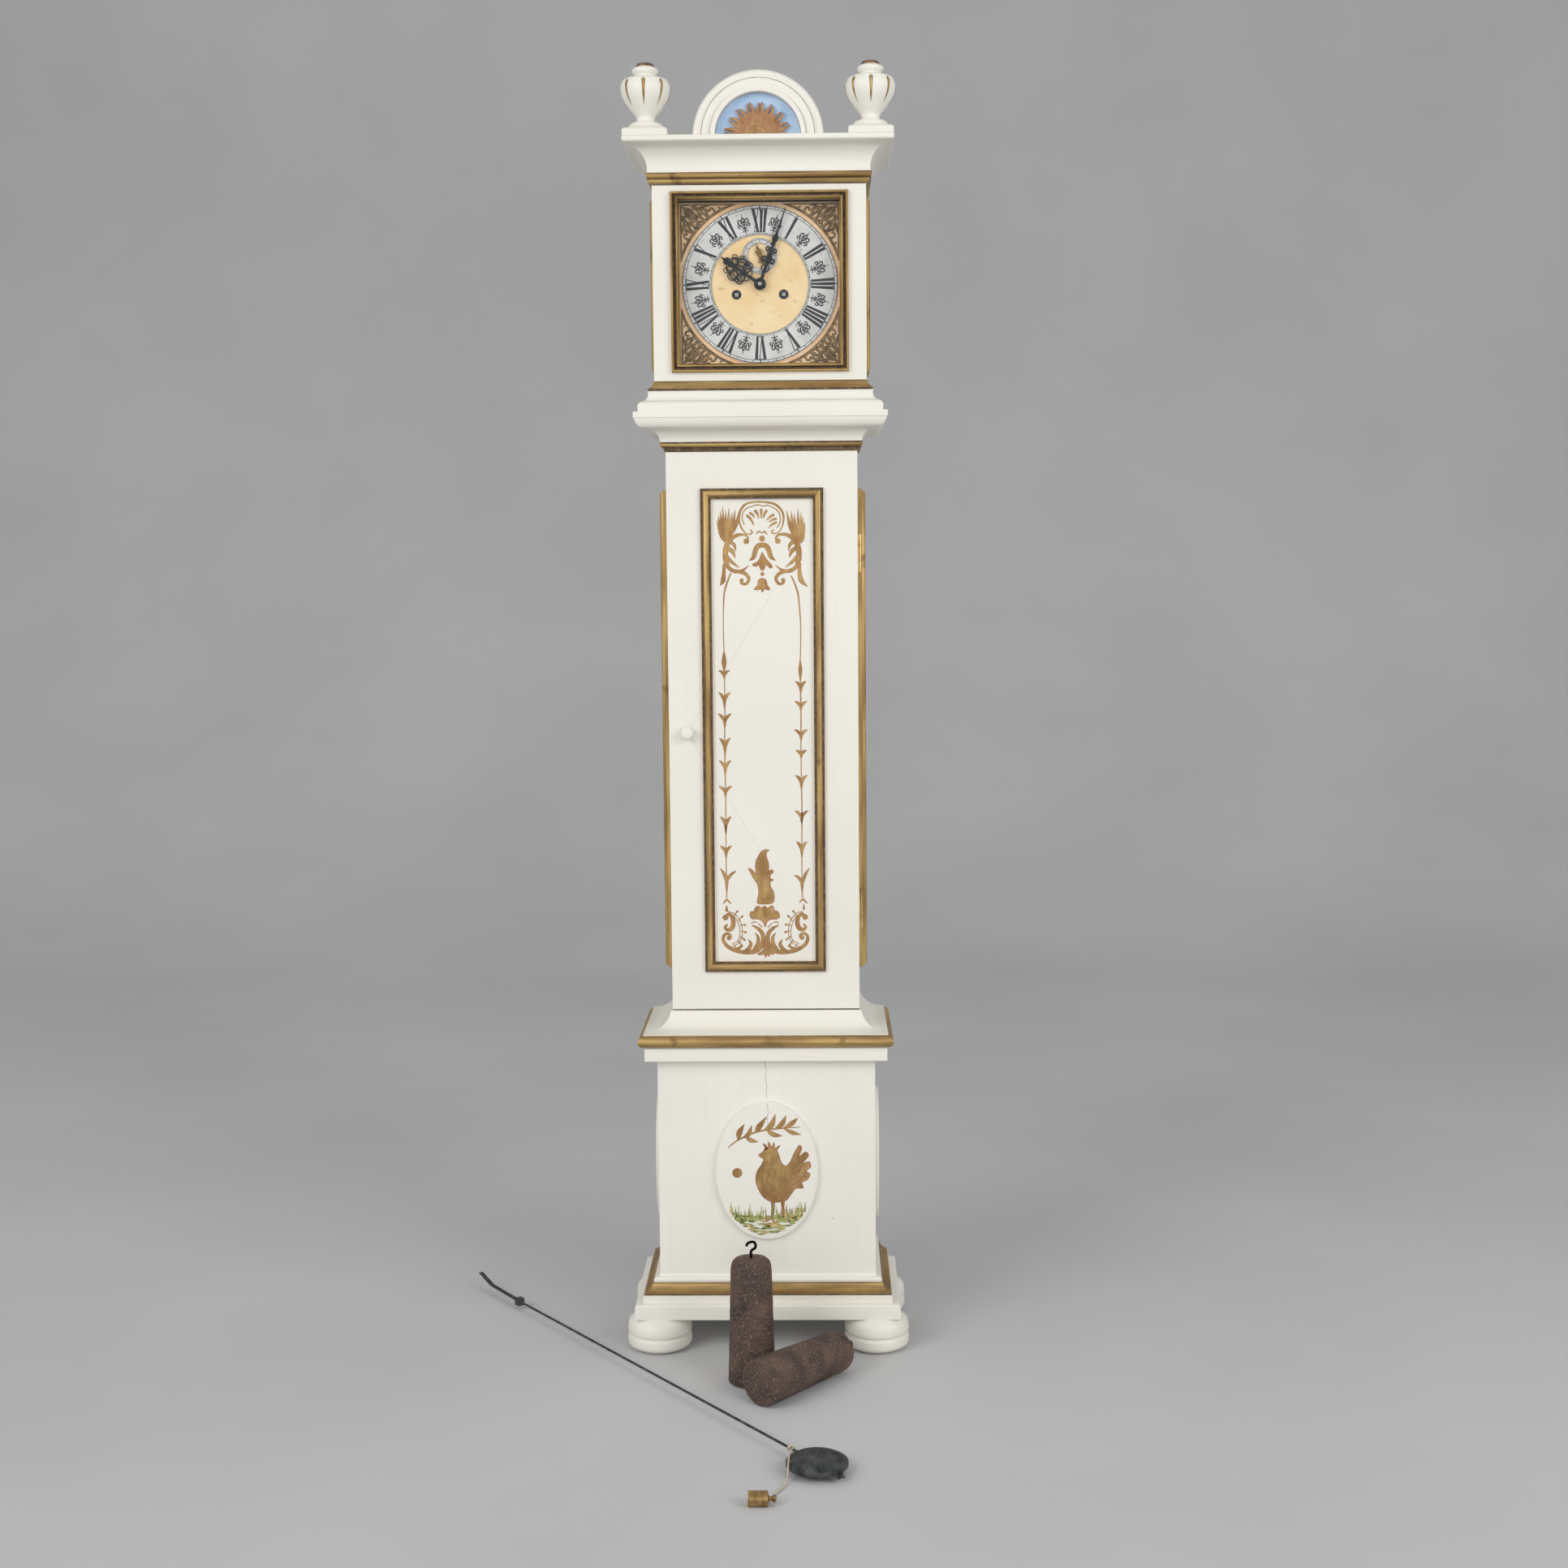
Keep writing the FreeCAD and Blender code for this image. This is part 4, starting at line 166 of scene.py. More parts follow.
def build(name, parts, body, finishes, nodes=(), smooth=35, forward=False):
    """Joins parts into one piece in metres that rides on its body."""
    points, faces, tags, rims = [], [], [], []
    for part_points, part_faces, part_tags, part_rims in parts:
        first = len(points)
        points += part_points
        faces += [tuple(first + n for n in face) for face in part_faces]
        tags += part_tags
        rims += part_rims
    mesh = bpy.data.meshes.new(name)
    mesh.from_pydata([Vector(point) / 1000 for point in points], [], faces)
    for finish in finishes:
        mesh.materials.append(finish)
    mesh.polygons.foreach_set("material_index", tags)
    if any(rims):
        mesh.attributes.new("rim", "FLOAT", "POINT").data.foreach_set("value", rims)
    work = bmesh.new()
    work.from_mesh(mesh)
    if forward:
        for face in work.faces:
            face.normal_update()
            if face.normal.y > 0:
                face.normal_flip()
    else:
        bmesh.ops.remove_doubles(work, verts=work.verts, dist=1e-7)
        bmesh.ops.recalc_face_normals(work, faces=work.faces)
    work.to_mesh(mesh)
    work.free()
    if smooth:
        mesh.polygons.foreach_set("use_smooth", [True] * len(mesh.polygons))
        mesh.set_sharp_from_angle(angle=math.radians(smooth))
    piece = placed(name, mesh)
    if body:
        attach(piece, body)
    if nodes:
        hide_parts(*nodes)
    return piece


paper = finish_of("studio_paper", (0.56, 0.56, 0.565), 0, 0.85, (0.55, 0.55, 0.555), (0.59, 0.59, 0.595), 1.2)
SWEEP_NEAR, SWEEP_START, SWEEP_HALF, SWEEP_TOP = -14000, 3000, 15000, 9000
SWEEP_BEND, SWEEP_STEPS = 2500, 16
sweep = [(SWEEP_NEAR, 0), (0, 0), (SWEEP_START, 0)]
for step in range(1, SWEEP_STEPS + 1):
    turn = math.pi / 2 * step / SWEEP_STEPS
    sweep.append((SWEEP_START + SWEEP_BEND * math.sin(turn), SWEEP_BEND - SWEEP_BEND * math.cos(turn)))
sweep.append((SWEEP_START + SWEEP_BEND, SWEEP_TOP))
sweep_points = [(x, y, z) for y, z in sweep for x in (-SWEEP_HALF, SWEEP_HALF)]
sweep_part = part(sweep_points, skin(len(sweep), 2, open_sides=True))
build("studio_sweep", [sweep_part], None, [paper])

for name, place, aim, power, width in (
    ("left_softbox", (-3.2, -3.6, 3.0), (0, 0, 1.1), 91, 2.6),
    ("right_softbox", (3.4, -3.2, 2.6), (0, 0, 1.0), 76, 2.6),
    ("low_fill", (0.2, -5.5, 1.0), (0, 0, 0.9), 33, 3.0),
):
    lamp = bpy.data.lights.new(name, "AREA")
    lamp.shape = "SQUARE"
    lamp.size = width
    lamp.energy = power
    holder = placed(name, lamp)
    way = Vector(aim) - Vector(place)
    holder.matrix_world = Matrix.Translation(place) @ way.to_track_quat("-Z", "Y").to_matrix().to_4x4()

air = bpy.data.worlds.new("studio_air")
air.use_nodes = True
air.node_tree.nodes["Background"].inputs["Color"].default_value = (1, 1, 1, 1)
air.node_tree.nodes["Background"].inputs["Strength"].default_value = 0.5
bpy.context.scene.world = air
bpy.context.scene.view_settings.view_transform = "Standard"

# Bun feet
# Four flattened balls turned in pine, with a groove round the middle, painted
# cream like the case and doweled under the plinth's corners.


def span(node):
    """A node's lowest and highest corners in millimetres."""
    return [[share * 1000 for share in corner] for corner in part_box(node)]


def cream_paint(name, stretch):
    """Aged cream oil paint with faint brush marks along one way and a few chips."""
    finish, tree, shader = new_finish(name, (0.84, 0.82, 0.755), 0, 0.42)
    tone = mottled(tree, 3.5, 0.35, 0.68)
    marks = mottled(tree, 110, 0.3, 0.7, stretch, 3)
    chips = mottled(tree, 42, 0.75, 0.76, (1, 1, 1), 6)
    even = laid_over(tree, tone, (0.87, 0.845, 0.77), (0.82, 0.79, 0.705))
    brushed = laid_over(tree, mottled(tree, 110, 0.5, 1, stretch, 3), even, (0.815, 0.787, 0.703))
    chipped = laid_over(tree, chips, brushed, (0.2, 0.14, 0.09))
    tree.links.new(chipped, shader.inputs["Base Color"])
    relief(tree, shader, marks, 0.07, 0.0006)
    return finish


cream_up = cream_paint("cream_paint_upright", (1, 1, 0.06))
cream_level = cream_paint("cream_paint_level", (0.06, 0.06, 1))


def listed(table, each=2):
    """The points written in a table, each with so many numbers."""
    return list(zip(*[map(float, table.split())] * each))


def between_points(p, q, r, s, t):
    """A place on the smooth line from the second of four points to the third."""
    return tuple(
        (2 * b + (c - a) * t + (2 * a - 5 * b + 4 * c - d) * t**2 + (3 * b - a - 3 * c + d) * t**3) / 2
        for a, b, c, d in zip(p, q, r, s)
    )


def eased(line, steps=5):
    """A smooth line through the given points, never wider than the widest."""
    widest = max(point[0] for point in line)
    ends = line[:1] + line + line[-1:]
    fours = zip(ends, ends[1:], ends[2:], ends[3:])
    smooth = [between_points(*four, step / steps) for four in fours for step in range(steps)]
    return [(min(point[0], widest), *point[1:]) for point in smooth + line[-1:]]


def both_ends(rings, sides):
    """The faces that close the first and the last ring."""
    return [tuple(reversed(range(sides))), tuple(range((rings - 1) * sides, rings * sides))]


def turned(line, place, sides=64):
    """A form turned on a lathe from a line of radius and height."""
    points = []
    for radius, height in line:
        for side in range(sides):
            angle = 2 * math.pi * side / sides
            points.append(tuple(place @ Vector((radius * math.cos(angle), radius * math.sin(angle), height))))
    return part(points, skin(len(line), sides) + both_ends(len(line), sides))


def scaled(line, radius, height):
    """A line drawn in shares, at its real radius and height."""
    return [(across * radius, up * height) for across, up in line]


FOOT_LINE = listed("0.74 0  0.96 0.13  1 0.3  0.985 0.42  0.92 0.47  0.985 0.52  1 0.64  0.94 0.86  0.74 1")
(foot_left, foot_front, _), (foot_right, foot_back, foot_top) = span("bun_feet")
FOOT_RADIUS = 52
foot_line = scaled(eased(FOOT_LINE), FOOT_RADIUS, foot_top)
feet = [
    turned(foot_line, Matrix.Translation((x, y, 0)))
    for x in (foot_left + FOOT_RADIUS, foot_right - FOOT_RADIUS)
    for y in (foot_front + FOOT_RADIUS, foot_back - FOOT_RADIUS)
]
build("bun_feet_turned", feet, "case", [cream_level], ["bun_feet"])

# Boards of the case
# Pine boards, planed and butted together, painted cream outside. Their arrises
# are rubbed soft. The backboard and the seat board of the movement stay bare.


def node_tree(name, inputs, nodes, lines):
    """A geometry node tree from its inputs, its nodes and the lines between their sockets."""
    tree = bpy.data.node_groups.new(name, "GeometryNodeTree")
    ways = {}
    for word, kind in inputs.items():
        socket = tree.interface.new_socket(word, in_out="INPUT", socket_type="NodeSocket" + kind)
        ways[word] = socket.identifier
    tree.interface.new_socket("Geometry", in_out="OUTPUT", socket_type="NodeSocketGeometry")
    made = {"given": tree.nodes.new("NodeGroupInput"), "result": tree.nodes.new("NodeGroupOutput")}
    for word, (kind, *settings) in nodes.items():
        made[word] = tree.nodes.new(kind)
        for key, value in settings:
            if key in made[word].inputs:
                made[word].inputs[key].default_value = value
            else:
                setattr(made[word], key, value)
    for line in lines.strip().splitlines():
        (source, leaving), (target, entering) = (end.split(".") for end in line.split(" > "))
        outputs, entries = made[source].outputs, made[target].inputs
        tree.links.new(
            outputs[int(leaving) if leaving.isdigit() else leaving],
            entries[int(entering) if entering.isdigit() else entering],
        )
    return tree, ways


def with_nodes(holder, tree, ways, **values):
    """Adds a node tree to an object, with its named inputs set."""
    nodes = holder.modifiers.new(tree.name, "NODES")
    nodes.node_group = tree
    for word, value in values.items():
        nodes[ways[word]] = value


softener = node_tree(
    "softened_by_edge",
    {"Geometry": "Geometry", "Sharpest": "Float"},
    {
        "edge_angle": ("GeometryNodeInputMeshEdgeAngle",),
        "over_sharp": ("FunctionNodeCompare", ("data_type", "FLOAT"), ("operation", "GREATER_THAN")),
        "all_smooth": ("GeometryNodeSetShadeSmooth",),
        "keep_sharp": ("GeometryNodeSetShadeSmooth", ("domain", "EDGE"), ("Shade Smooth", False)),
    },
    """
given.Geometry > all_smooth.0
edge_angle.Unsigned Angle > over_sharp.A
given.Sharpest > over_sharp.B
all_smooth.0 > keep_sharp.0
over_sharp.Result > keep_sharp.Selection
keep_sharp.0 > result.Geometry
""",
)
WELD_REACH, SOFT_ANGLE = 1e-6, 0.6


def dress(finish, *nodes, arris=0):
    """Gives nodes of the frame their finish, and rounds their arrises by a width in millimetres."""
    for node in nodes:
        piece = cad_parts[node]
        piece.data.materials.clear()
        piece.data.materials.append(finish)
        weld = piece.modifiers.new("weld", "WELD")
        weld.merge_threshold = WELD_REACH
        if arris:
            bevel = piece.modifiers.new("rubbed_arris", "BEVEL")
            bevel.width = arris / 1000
            bevel.segments = 2
            bevel.limit_method = "ANGLE"
            bevel.angle_limit = math.radians(40)
        else:
            with_nodes(piece, *softener, Sharpest=SOFT_ANGLE)


pine = finish_of(
    "bare_pine", (0.42, 0.29, 0.17), 0, 0.75, (0.3, 0.19, 0.1), (0.5, 0.35, 0.2), 60, 0.3, 0.7,
    (1, 1, 0.05), 6, grain=(0.4, 0.0008),
)
dress(cream_up, "base_boards", "trunk_side_boards", "trunk_door_board", "hood_boards", arris=0.7)
dress(cream_level, "trunk_rails", "hood_rails", "hood_door_rails", arris=0.5)
dress(pine, "backboard", "seat_board", arris=0.5)

# Cream mouldings of the case
# Long runs of pine, planed to their section, mitred at the front corners and
# nailed round three sides of the case, then painted with it.


ARC_STEPS = 8


def flowing(shares, reach, rise):
    """A moulding's section with its rounds and hollows, and the number of each stretch."""
    line = []
    tags = []
    for number, ((x0, y0, *bulge), (x1, y1, *_)) in enumerate(zip(shares, shares[1:] + shares[:1])):
        ax, ay, bx, by = x0 * reach, y0 * rise, x1 * reach, y1 * rise
        wide, tall = bx - ax, by - ay
        line.append((ax, ay))
        tags.append(number)
        if bulge:
            bend = 4 * math.atan(2 * bulge[0])
            for step in range(1, ARC_STEPS):
                angle = bend * (step / ARC_STEPS - 0.5)
                along = 0.5 + math.sin(angle) / (2 * math.sin(bend / 2))
                aside = (math.cos(angle) - math.cos(bend / 2)) / (2 * math.sin(bend / 2))
                line.append((ax + wide * along - tall * aside, ay + tall * along + wide * aside))
                tags.append(number)
    return line, tags


def mitred(stations, section, dark, closed):
    """Carries a section through its stations, each a corner, the way out and the way up."""
    line, tags = section
    points = [
        tuple(Vector(corner) + Vector(out) * x + Vector(up) * y)
        for corner, out, up in stations
        for x, y in line
    ]
    runs = len(stations) if closed else len(stations) - 1
    faces = skin(len(stations), len(line), closed)
    finish_tags = [1 if tag in dark else 0 for _ in range(runs) for tag in tags]
    if not closed:
        faces += both_ends(len(stations), len(line))
        finish_tags += [0, 0]
    return points, faces, finish_tags, [0] * len(points)


BACK = span("backboard")[1][1]
TRUNK_HALF, TRUNK_FRONT = 151, span("trunk_door_board")[0][1]
BASE_HALF, BASE_FRONT = TRUNK_HALF + 24, TRUNK_FRONT - 24
HOOD_HALF, HOOD_FRONT = TRUNK_HALF + 15, TRUNK_FRONT - 15
BASE, TRUNK, HOOD = (BASE_HALF, BASE_FRONT), (TRUNK_HALF, TRUNK_FRONT), (HOOD_HALF, HOOD_FRONT)


def round_case(stage, low, high, reach, shares, dark=()):
    """A moulding round the front and both sides of a stage of the case."""
    half, front = stage
    corners = ((-half, BACK, -1, 0), (-half, front, -1, -1), (half, front, 1, -1), (half, BACK, 1, 0))
    stations = [((x, y, low), (out_x, out_y, 0), (0, 0, 1)) for x, y, out_x, out_y in corners]
    return mitred(stations, flowing(shares, reach, high - low), dark, False)


def levels(node):
    """The lowest and the highest level of a node."""
    return span(node)[0][2], span(node)[1][2]


PLINTH = [(0, 0), (1, 0), (1, 0.58, -0.17), (0.9, 0.67), (0.68, 0.67), (0.68, 1), (0, 1)]
BEAD = [(0, 0), (0.6, 0, -0.3), (0.6, 0.69), (0.35, 0.69, 0.2), (0, 1)]
NECK = [(0, 0, 0.2), (1, 1), (0, 1)]
FILLET = [(0, 0), (1, 0), (1, 0.84, -0.17), (0.9, 1), (0, 1)]
COVE = [(0, 0), (1, 0), (1, 0.06, 0.2), (0.05, 1), (0, 1)]
CYMA = [(0, 0), (0.16, 0, 0.2), (0.55, 0.42, -0.2), (0.97, 0.78), (1, 0.8), (1, 1), (0, 1)]
OGEE = [(0, 0), (1, 0), (1, 0.12, -0.22), (0.72, 0.5, 0.22), (0.41, 1), (0, 1)]
CAVETTO = [(0, 0), (0.17, 0, 0.22), (1, 1), (0, 1)]
LIP = [(0, 0), (0.95, 0), (1, 0.2), (1, 0.9), (0.97, 1), (0, 1)]
BEAD_RISE, NECK_RISE, FILLET_RISE, COVE_RISE, LIP_RISE = 13, 5, 22.5, 32, 9
plinth_low, plinth_high = levels("plinth_mouldings")
gilt_low, gilt_high = levels("case_gilt_mouldings")[0], plinth_high - BEAD_RISE
waist_low, waist_high = levels("waist_mouldings")
fillet_low, cove_low = waist_low + NECK_RISE, waist_high - COVE_RISE
fillet_high = fillet_low + FILLET_RISE
hollow_low, lip_high = levels("hood_cornice")
lip_low = lip_high - LIP_RISE
for name, node, body, *runs in (
    (
        "plinth_mouldings_painted", "plinth_mouldings", "case",
        (BASE, plinth_low, gilt_low, 38.5, PLINTH), (BASE, gilt_high, plinth_high, 11.5, BEAD),
    ),
    (
        "waist_mouldings_painted", "waist_mouldings", "case",
        (BASE, waist_low, fillet_low, 5, NECK), (TRUNK, fillet_low, fillet_high, 43, FILLET),
        (TRUNK, cove_low, waist_high, 44.5, COVE),
    ),
    ("trunk_cornice_painted", "trunk_cornice", "case", (TRUNK, *levels("trunk_cornice"), 46.5, CYMA)),
    ("hood_base_painted", "hood_base_moulding", "hood", (HOOD, *levels("hood_base_moulding"), 24.5, OGEE)),
    (
        "hood_cornice_painted", "hood_cornice", "hood",
        (HOOD, hollow_low, lip_low, 39, CAVETTO), (HOOD, lip_low, lip_high, 42, LIP),
    ),
):
    build(name, [round_case(*run) for run in runs], body, [cream_level], [node])

# Gilded mouldings
# Bronze paint rubbed on by hand over dark ground. The quirks and the lower
# edges get a dark finish, which is painted shade in the grooves. The runs are
# mitred and nailed like the cream ones.


GOLD = (0.54, 0.37, 0.145)


def gilding(name, stretch):
    """Worn bronze gilding, streaked along the run, with its dark ground showing through."""
    finish, tree, shader = new_finish(name, GOLD, 0.7, 0.42)
    streaks = mottled(tree, 90, 0.36, 0.6, stretch, 5)
    wear = mottled(tree, 28, 0.62, 0.76, (1, 1, 1), 6)
    streaked = laid_over(tree, streaks, (0.29, 0.18, 0.07), GOLD)
    tree.links.new(laid_over(tree, wear, streaked, (0.17, 0.1, 0.045)), shader.inputs["Base Color"])
    tree.links.new(mottled(tree, 60, 0.3, 0.7, stretch, 4, 0.34, 0.55), shader.inputs["Roughness"])
    relief(tree, shader, streaks, 0.3, 0.0005)
    return finish


gilt_level = gilding("gilding_level", (0.08, 0.08, 1))
gilt_up = gilding("gilding_upright", (1, 1, 0.08))
# The dark quirk finish is painted shade, laid in the grooves of the gilded runs and frames and along the door
# gaps.
quirk_shade = finish_of(
    "painted_groove_shade", (0.09, 0.055, 0.03), 0.2, 0.6, (0.07, 0.045, 0.025), (0.2, 0.13, 0.06), 120, 0.4, 0.7
)
SLOPE = [(0, 0), (1, 0), (1, 0.15, 0.15), (0.45, 1), (0, 1)]
HALF_ROUND = [(0, 0), (0.82, 0, -0.49), (0.82, 1), (0, 1)]
OVOLO = [(0, 0), (0.3, 0, 0.2), (0.62, 0.45, -0.25), (1, 0.8), (1, 1), (0, 1)]
HOOD_SLOPE = [(0, 0), (1, 0), (0.9, 0.25, 0.1), (0.05, 1), (0, 1)]
STEPS = [(0, 0), (0.35, 0, -0.25), (0.5, 0.45), (0.75, 0.5, -0.25), (1, 0.95), (1, 1), (0, 1)]
OVOLO_RISE, HOOD_SLOPE_RISE, STEPS_RISE = 14, 15, 16
gilt_top = levels("case_gilt_mouldings")[1]
hood_gilt_low, hood_gilt_high = levels("hood_gilt_mouldings")
for name, node, body, *runs in (
    (
        "case_mouldings_gilded", "case_gilt_mouldings", "case",
        (BASE, gilt_low, gilt_high, 24.5, SLOPE, (1,)),
        (TRUNK, fillet_high, cove_low, 53, HALF_ROUND, (0, 2)),
        (TRUNK, gilt_top - OVOLO_RISE, gilt_top, 8, OVOLO, (1, 3)),
    ),
    (
        "hood_mouldings_gilded", "hood_gilt_mouldings", "hood",
        (HOOD, hood_gilt_low, hood_gilt_low + HOOD_SLOPE_RISE, 10, HOOD_SLOPE, (1,)),
        (HOOD, hood_gilt_high - STEPS_RISE, hood_gilt_high, 8, STEPS, (2, 4)),
    ),
):
    build(name, [round_case(*run) for run in runs], body, [gilt_level, quirk_shade], [node])


def framed(low, high, wide, out, shares, side=0, dark=()):
    """A mitred frame on the front of the case, or on its side, with its section across its width."""
    (left, bottom, level), (right, top) = low, high
    corners = [(left, bottom, 1, 1), (right, bottom, -1, 1), (right, top, -1, -1), (left, top, 1, -1)]
    away = (side, 0, 0) if side else (0, -1, 0)
    stations = []
    for u, v, inward, upward in corners:
        corner = (level, u, v) if side else (u, level, v)
        across = (0, inward, upward) if side else (inward, 0, upward)
        stations.append((corner, away, across))
    points, faces, tags, rims = mitred(stations, flowing(shares, out, wide), dark, True)
    run = len(faces) // 4
    tags = [2 if tag == 0 and number // run % 2 == 0 else tag for number, tag in enumerate(tags)]
    return points, faces, tags, rims


FRAME = listed("0 0  0.55 0  0.55 0.2  0.82 0.27  1 0.42  1 0.58  0.82 0.73  0.55 0.8  0.55 1  0 1")
THREE_LINE = listed(
    """
    0 0  0.75 0  1 0.1  1 0.22  0.75 0.32  0.3 0.36  0.3 0.52  0.75 0.56  0.95 0.66  0.95 0.78  0.75 0.88
    0.4 1  0 1
"""
)
# The stretches of each section listed here take the dark finish as painted shade.
FRAME_QUIRKS, THREE_LINE_QUIRKS = (1, 7), (4, 5, 6, 7)


def frame_in_front(node, wide, shares, dark):
    """A frame on the front of its door, from the box of its node."""
    low, high = span(node)
    return [framed((low[0], low[2], high[1]), (high[0], high[2]), wide, high[1] - low[1], shares, 0, dark)]


def frame_on_sides(node, x, wide, out):
    """A pair of frames on the two sides of the case, from the box of their node."""
    low, high = span(node)
    return [
        framed((low[1], low[2], side * x), (high[1], high[2]), wide, out, FRAME, side, FRAME_QUIRKS)
        for side in (-1, 1)
    ]


for name, node, body, frames in (
    (
        "trunk_door_frame_gilded", "trunk_door_frame", "trunk_door",
        frame_in_front("trunk_door_frame", 16.5, FRAME, FRAME_QUIRKS),
    ),
    (
        "trunk_side_frames_gilded", "trunk_side_frames", "case",
        frame_on_sides("trunk_side_frames", TRUNK_HALF, 16, 13),
    ),
    (
        "hood_side_frames_gilded", "hood_side_frames", "hood",
        frame_on_sides("hood_side_frames", HOOD_HALF, 16, 6.5),
    ),
    (
        "hood_door_frame_gilded", "hood_door_gilt_frame", "hood_door",
        frame_in_front("hood_door_gilt_frame", 13.5, THREE_LINE, THREE_LINE_QUIRKS),
    ),
):
    build(name, frames, body, [gilt_up, quirk_shade, gilt_level], [node])

# Painted ornament of the trunk door
# Bronze paint laid with a soft brush over a reddish outline: a shell and scrolls
# at the top, hanging husks down both sides, acanthus and a flame at the foot.

ornament = finish_of(
    "bronze_painted", (0.42, 0.26, 0.1), 0.55, 0.5, (0.33, 0.19, 0.07), (0.53, 0.35, 0.14), 95, 0.36, 0.66,
    (1, 1, 0.4), rim=(0.42, 0.15, 0.08),
)
ACROSS = (-1, -0.62, 0, 0.62, 1)
TAPER = ((1, 0.1), (0.8, 0.6), (0.4, 0.92))
FIRST_LIFT, LIFT_STEP, LIFTS, BRUSH_STEPS = 0.1, 0.025, 10, 6
stroke_number = itertools.count(1)


def next_lift():
    """Lifts each stroke a little differently, so that crossing ones stay apart."""
    return FIRST_LIFT + LIFT_STEP * (next(stroke_number) % LIFTS)


def brush(line, widths, y, dome=0, thick=0):
    """One brush stroke on a front face, its widths given at its points, or a solid bar of some thickness."""
    lift = 0 if thick else next_lift()
    widths = widths if isinstance(widths, list) else [widths] * len(line)
    ends = [(u, v, w) for (u, v), w in zip(line, widths)]
    padded = [ends[0]] + ends + [ends[-1]]
    fours = zip(padded, padded[1:], padded[2:], padded[3:])
    run = [between_points(*four, step / BRUSH_STEPS) for four in fours for step in range(BRUSH_STEPS)]
    run += ends[-1:]
    ways = [Vector((b[0] - a[0], b[1] - a[1])) for a, b in zip(run[:1] + run[:-1], run[1:] + run[-1:])]
    rings = []
    for index, ((u, v, width), way) in enumerate(zip(run, ways)):
        way = way.normalized() if way.length else Vector((0, 1))
        half = max(width, 0.05) / 2
        out_u, out_v = way.x * half, way.y * half
        if index == 0:
            rings += [(u - out_u * on, v - out_v * on, half * side, way) for on, side in TAPER]
        rings.append((u, v, half, way))
        if index == len(run) - 1:
            rings += [(u + out_u * on, v + out_v * on, half * side, way) for on, side in TAPER[::-1]]
    points = []
    rims = []
    for u, v, half, way in rings:
        for share in ACROSS:
            height = lift + dome * half * (1 - share**2) ** 0.5
            points.append((u - way.y * half * share, y - height, v + way.x * half * share))
            rims.append(1 if abs(share) == 1 else 0)
        if thick:
            points += [(u - way.y * half * share, y + thick, v + way.x * half * share) for share in (1, -1)]
            rims += [1, 1]
    columns = len(ACROSS) + (2 if thick else 0)
    faces = skin(len(rings), columns, open_sides=not thick)
    if thick:
        faces += both_ends(len(rings), columns)
    return part(points, faces, 0, rims)


def strokes(table, y, side=1):
    """Brush strokes from a table: a line for each, with across, up and width at every place."""
    rows = [listed(row, 3) for row in table.strip().splitlines()]
    return [brush([(side * u, v) for u, v, _ in row], [width for *_, width in row], y) for row in rows]


def dot(u, v, radius, y):
    """A round dab of the brush."""
    return brush([(u - radius * 0.02, v), (u + radius * 0.02, v)], radius * 2, y)


def loop_through(outline, steps=5):
    """A smooth closed line through the given places."""
    corners = zip(outline[-1:] + outline[:-1], outline, outline[1:] + outline[:1], outline[2:] + outline[:2])
    return [between_points(*four, step / steps) for four in corners for step in range(steps)]


def filled(loop, y, back=None):
    """A flat shape on a front face, or a solid one that reaches to its back."""
    count = len(loop)
    points = [(u, y, v) for u, v in loop]
    faces = [tuple(face) for face in tessellate_polygon([[Vector((u, v, 0)) for u, v in loop]])]
    if back is not None:
        points += [(u, back, v) for u, v in loop]
        faces += [tuple(count + n for n in reversed(face)) for face in faces[:]]
        faces += [(n, (n + 1) % count, count + (n + 1) % count, count + n) for n in range(count)]
    return part(points, faces)


def edged(loop, y, width):
    """The reddish line round a painted shape."""
    points = []
    for (a, b), (u, v), (c, d) in zip(loop[-1:] + loop[:-1], loop, loop[1:] + loop[:1]):
        way = Vector((c - a, d - b)).normalized()
        points += [(u - way.y * width * side, y, v + way.x * width * side) for side in (-0.5, 0.5)]
    return part(points, skin(len(loop), 2, closed=True, open_sides=True), 0, [1] * len(points))


OUTLINE_WIDTH = 1.2


def painted(table, y):
    """A painted shape and the line round it."""
    loop = loop_through(listed(table))
    lift = next_lift()
    return [filled(loop, y - lift), edged(loop, y - lift - 0.03, OUTLINE_WIDTH)]


def husk(u, tip, node, y, spread=9, left=None, right=None):
    """A hanging husk: a cup that widens upwards from its node into two leaves."""
    rise = tip - node
    fork = node + rise * 0.7
    leaves = [brush([(u, node), (u, node + rise * 0.35), (u, fork)], [1.4, 4.4, 7.2], y)]
    for side, end in ((-1, left), (1, right)):
        end_u, end_v = end or (u + side * spread, tip)
        bend = ((u + end_u) / 2, fork * 0.5 + end_v * 0.5)
        leaves.append(brush([(u + side * 1.6, fork - rise * 0.1), bend, (end_u, end_v)], [4, 4.8, 1.8], y))
    return leaves


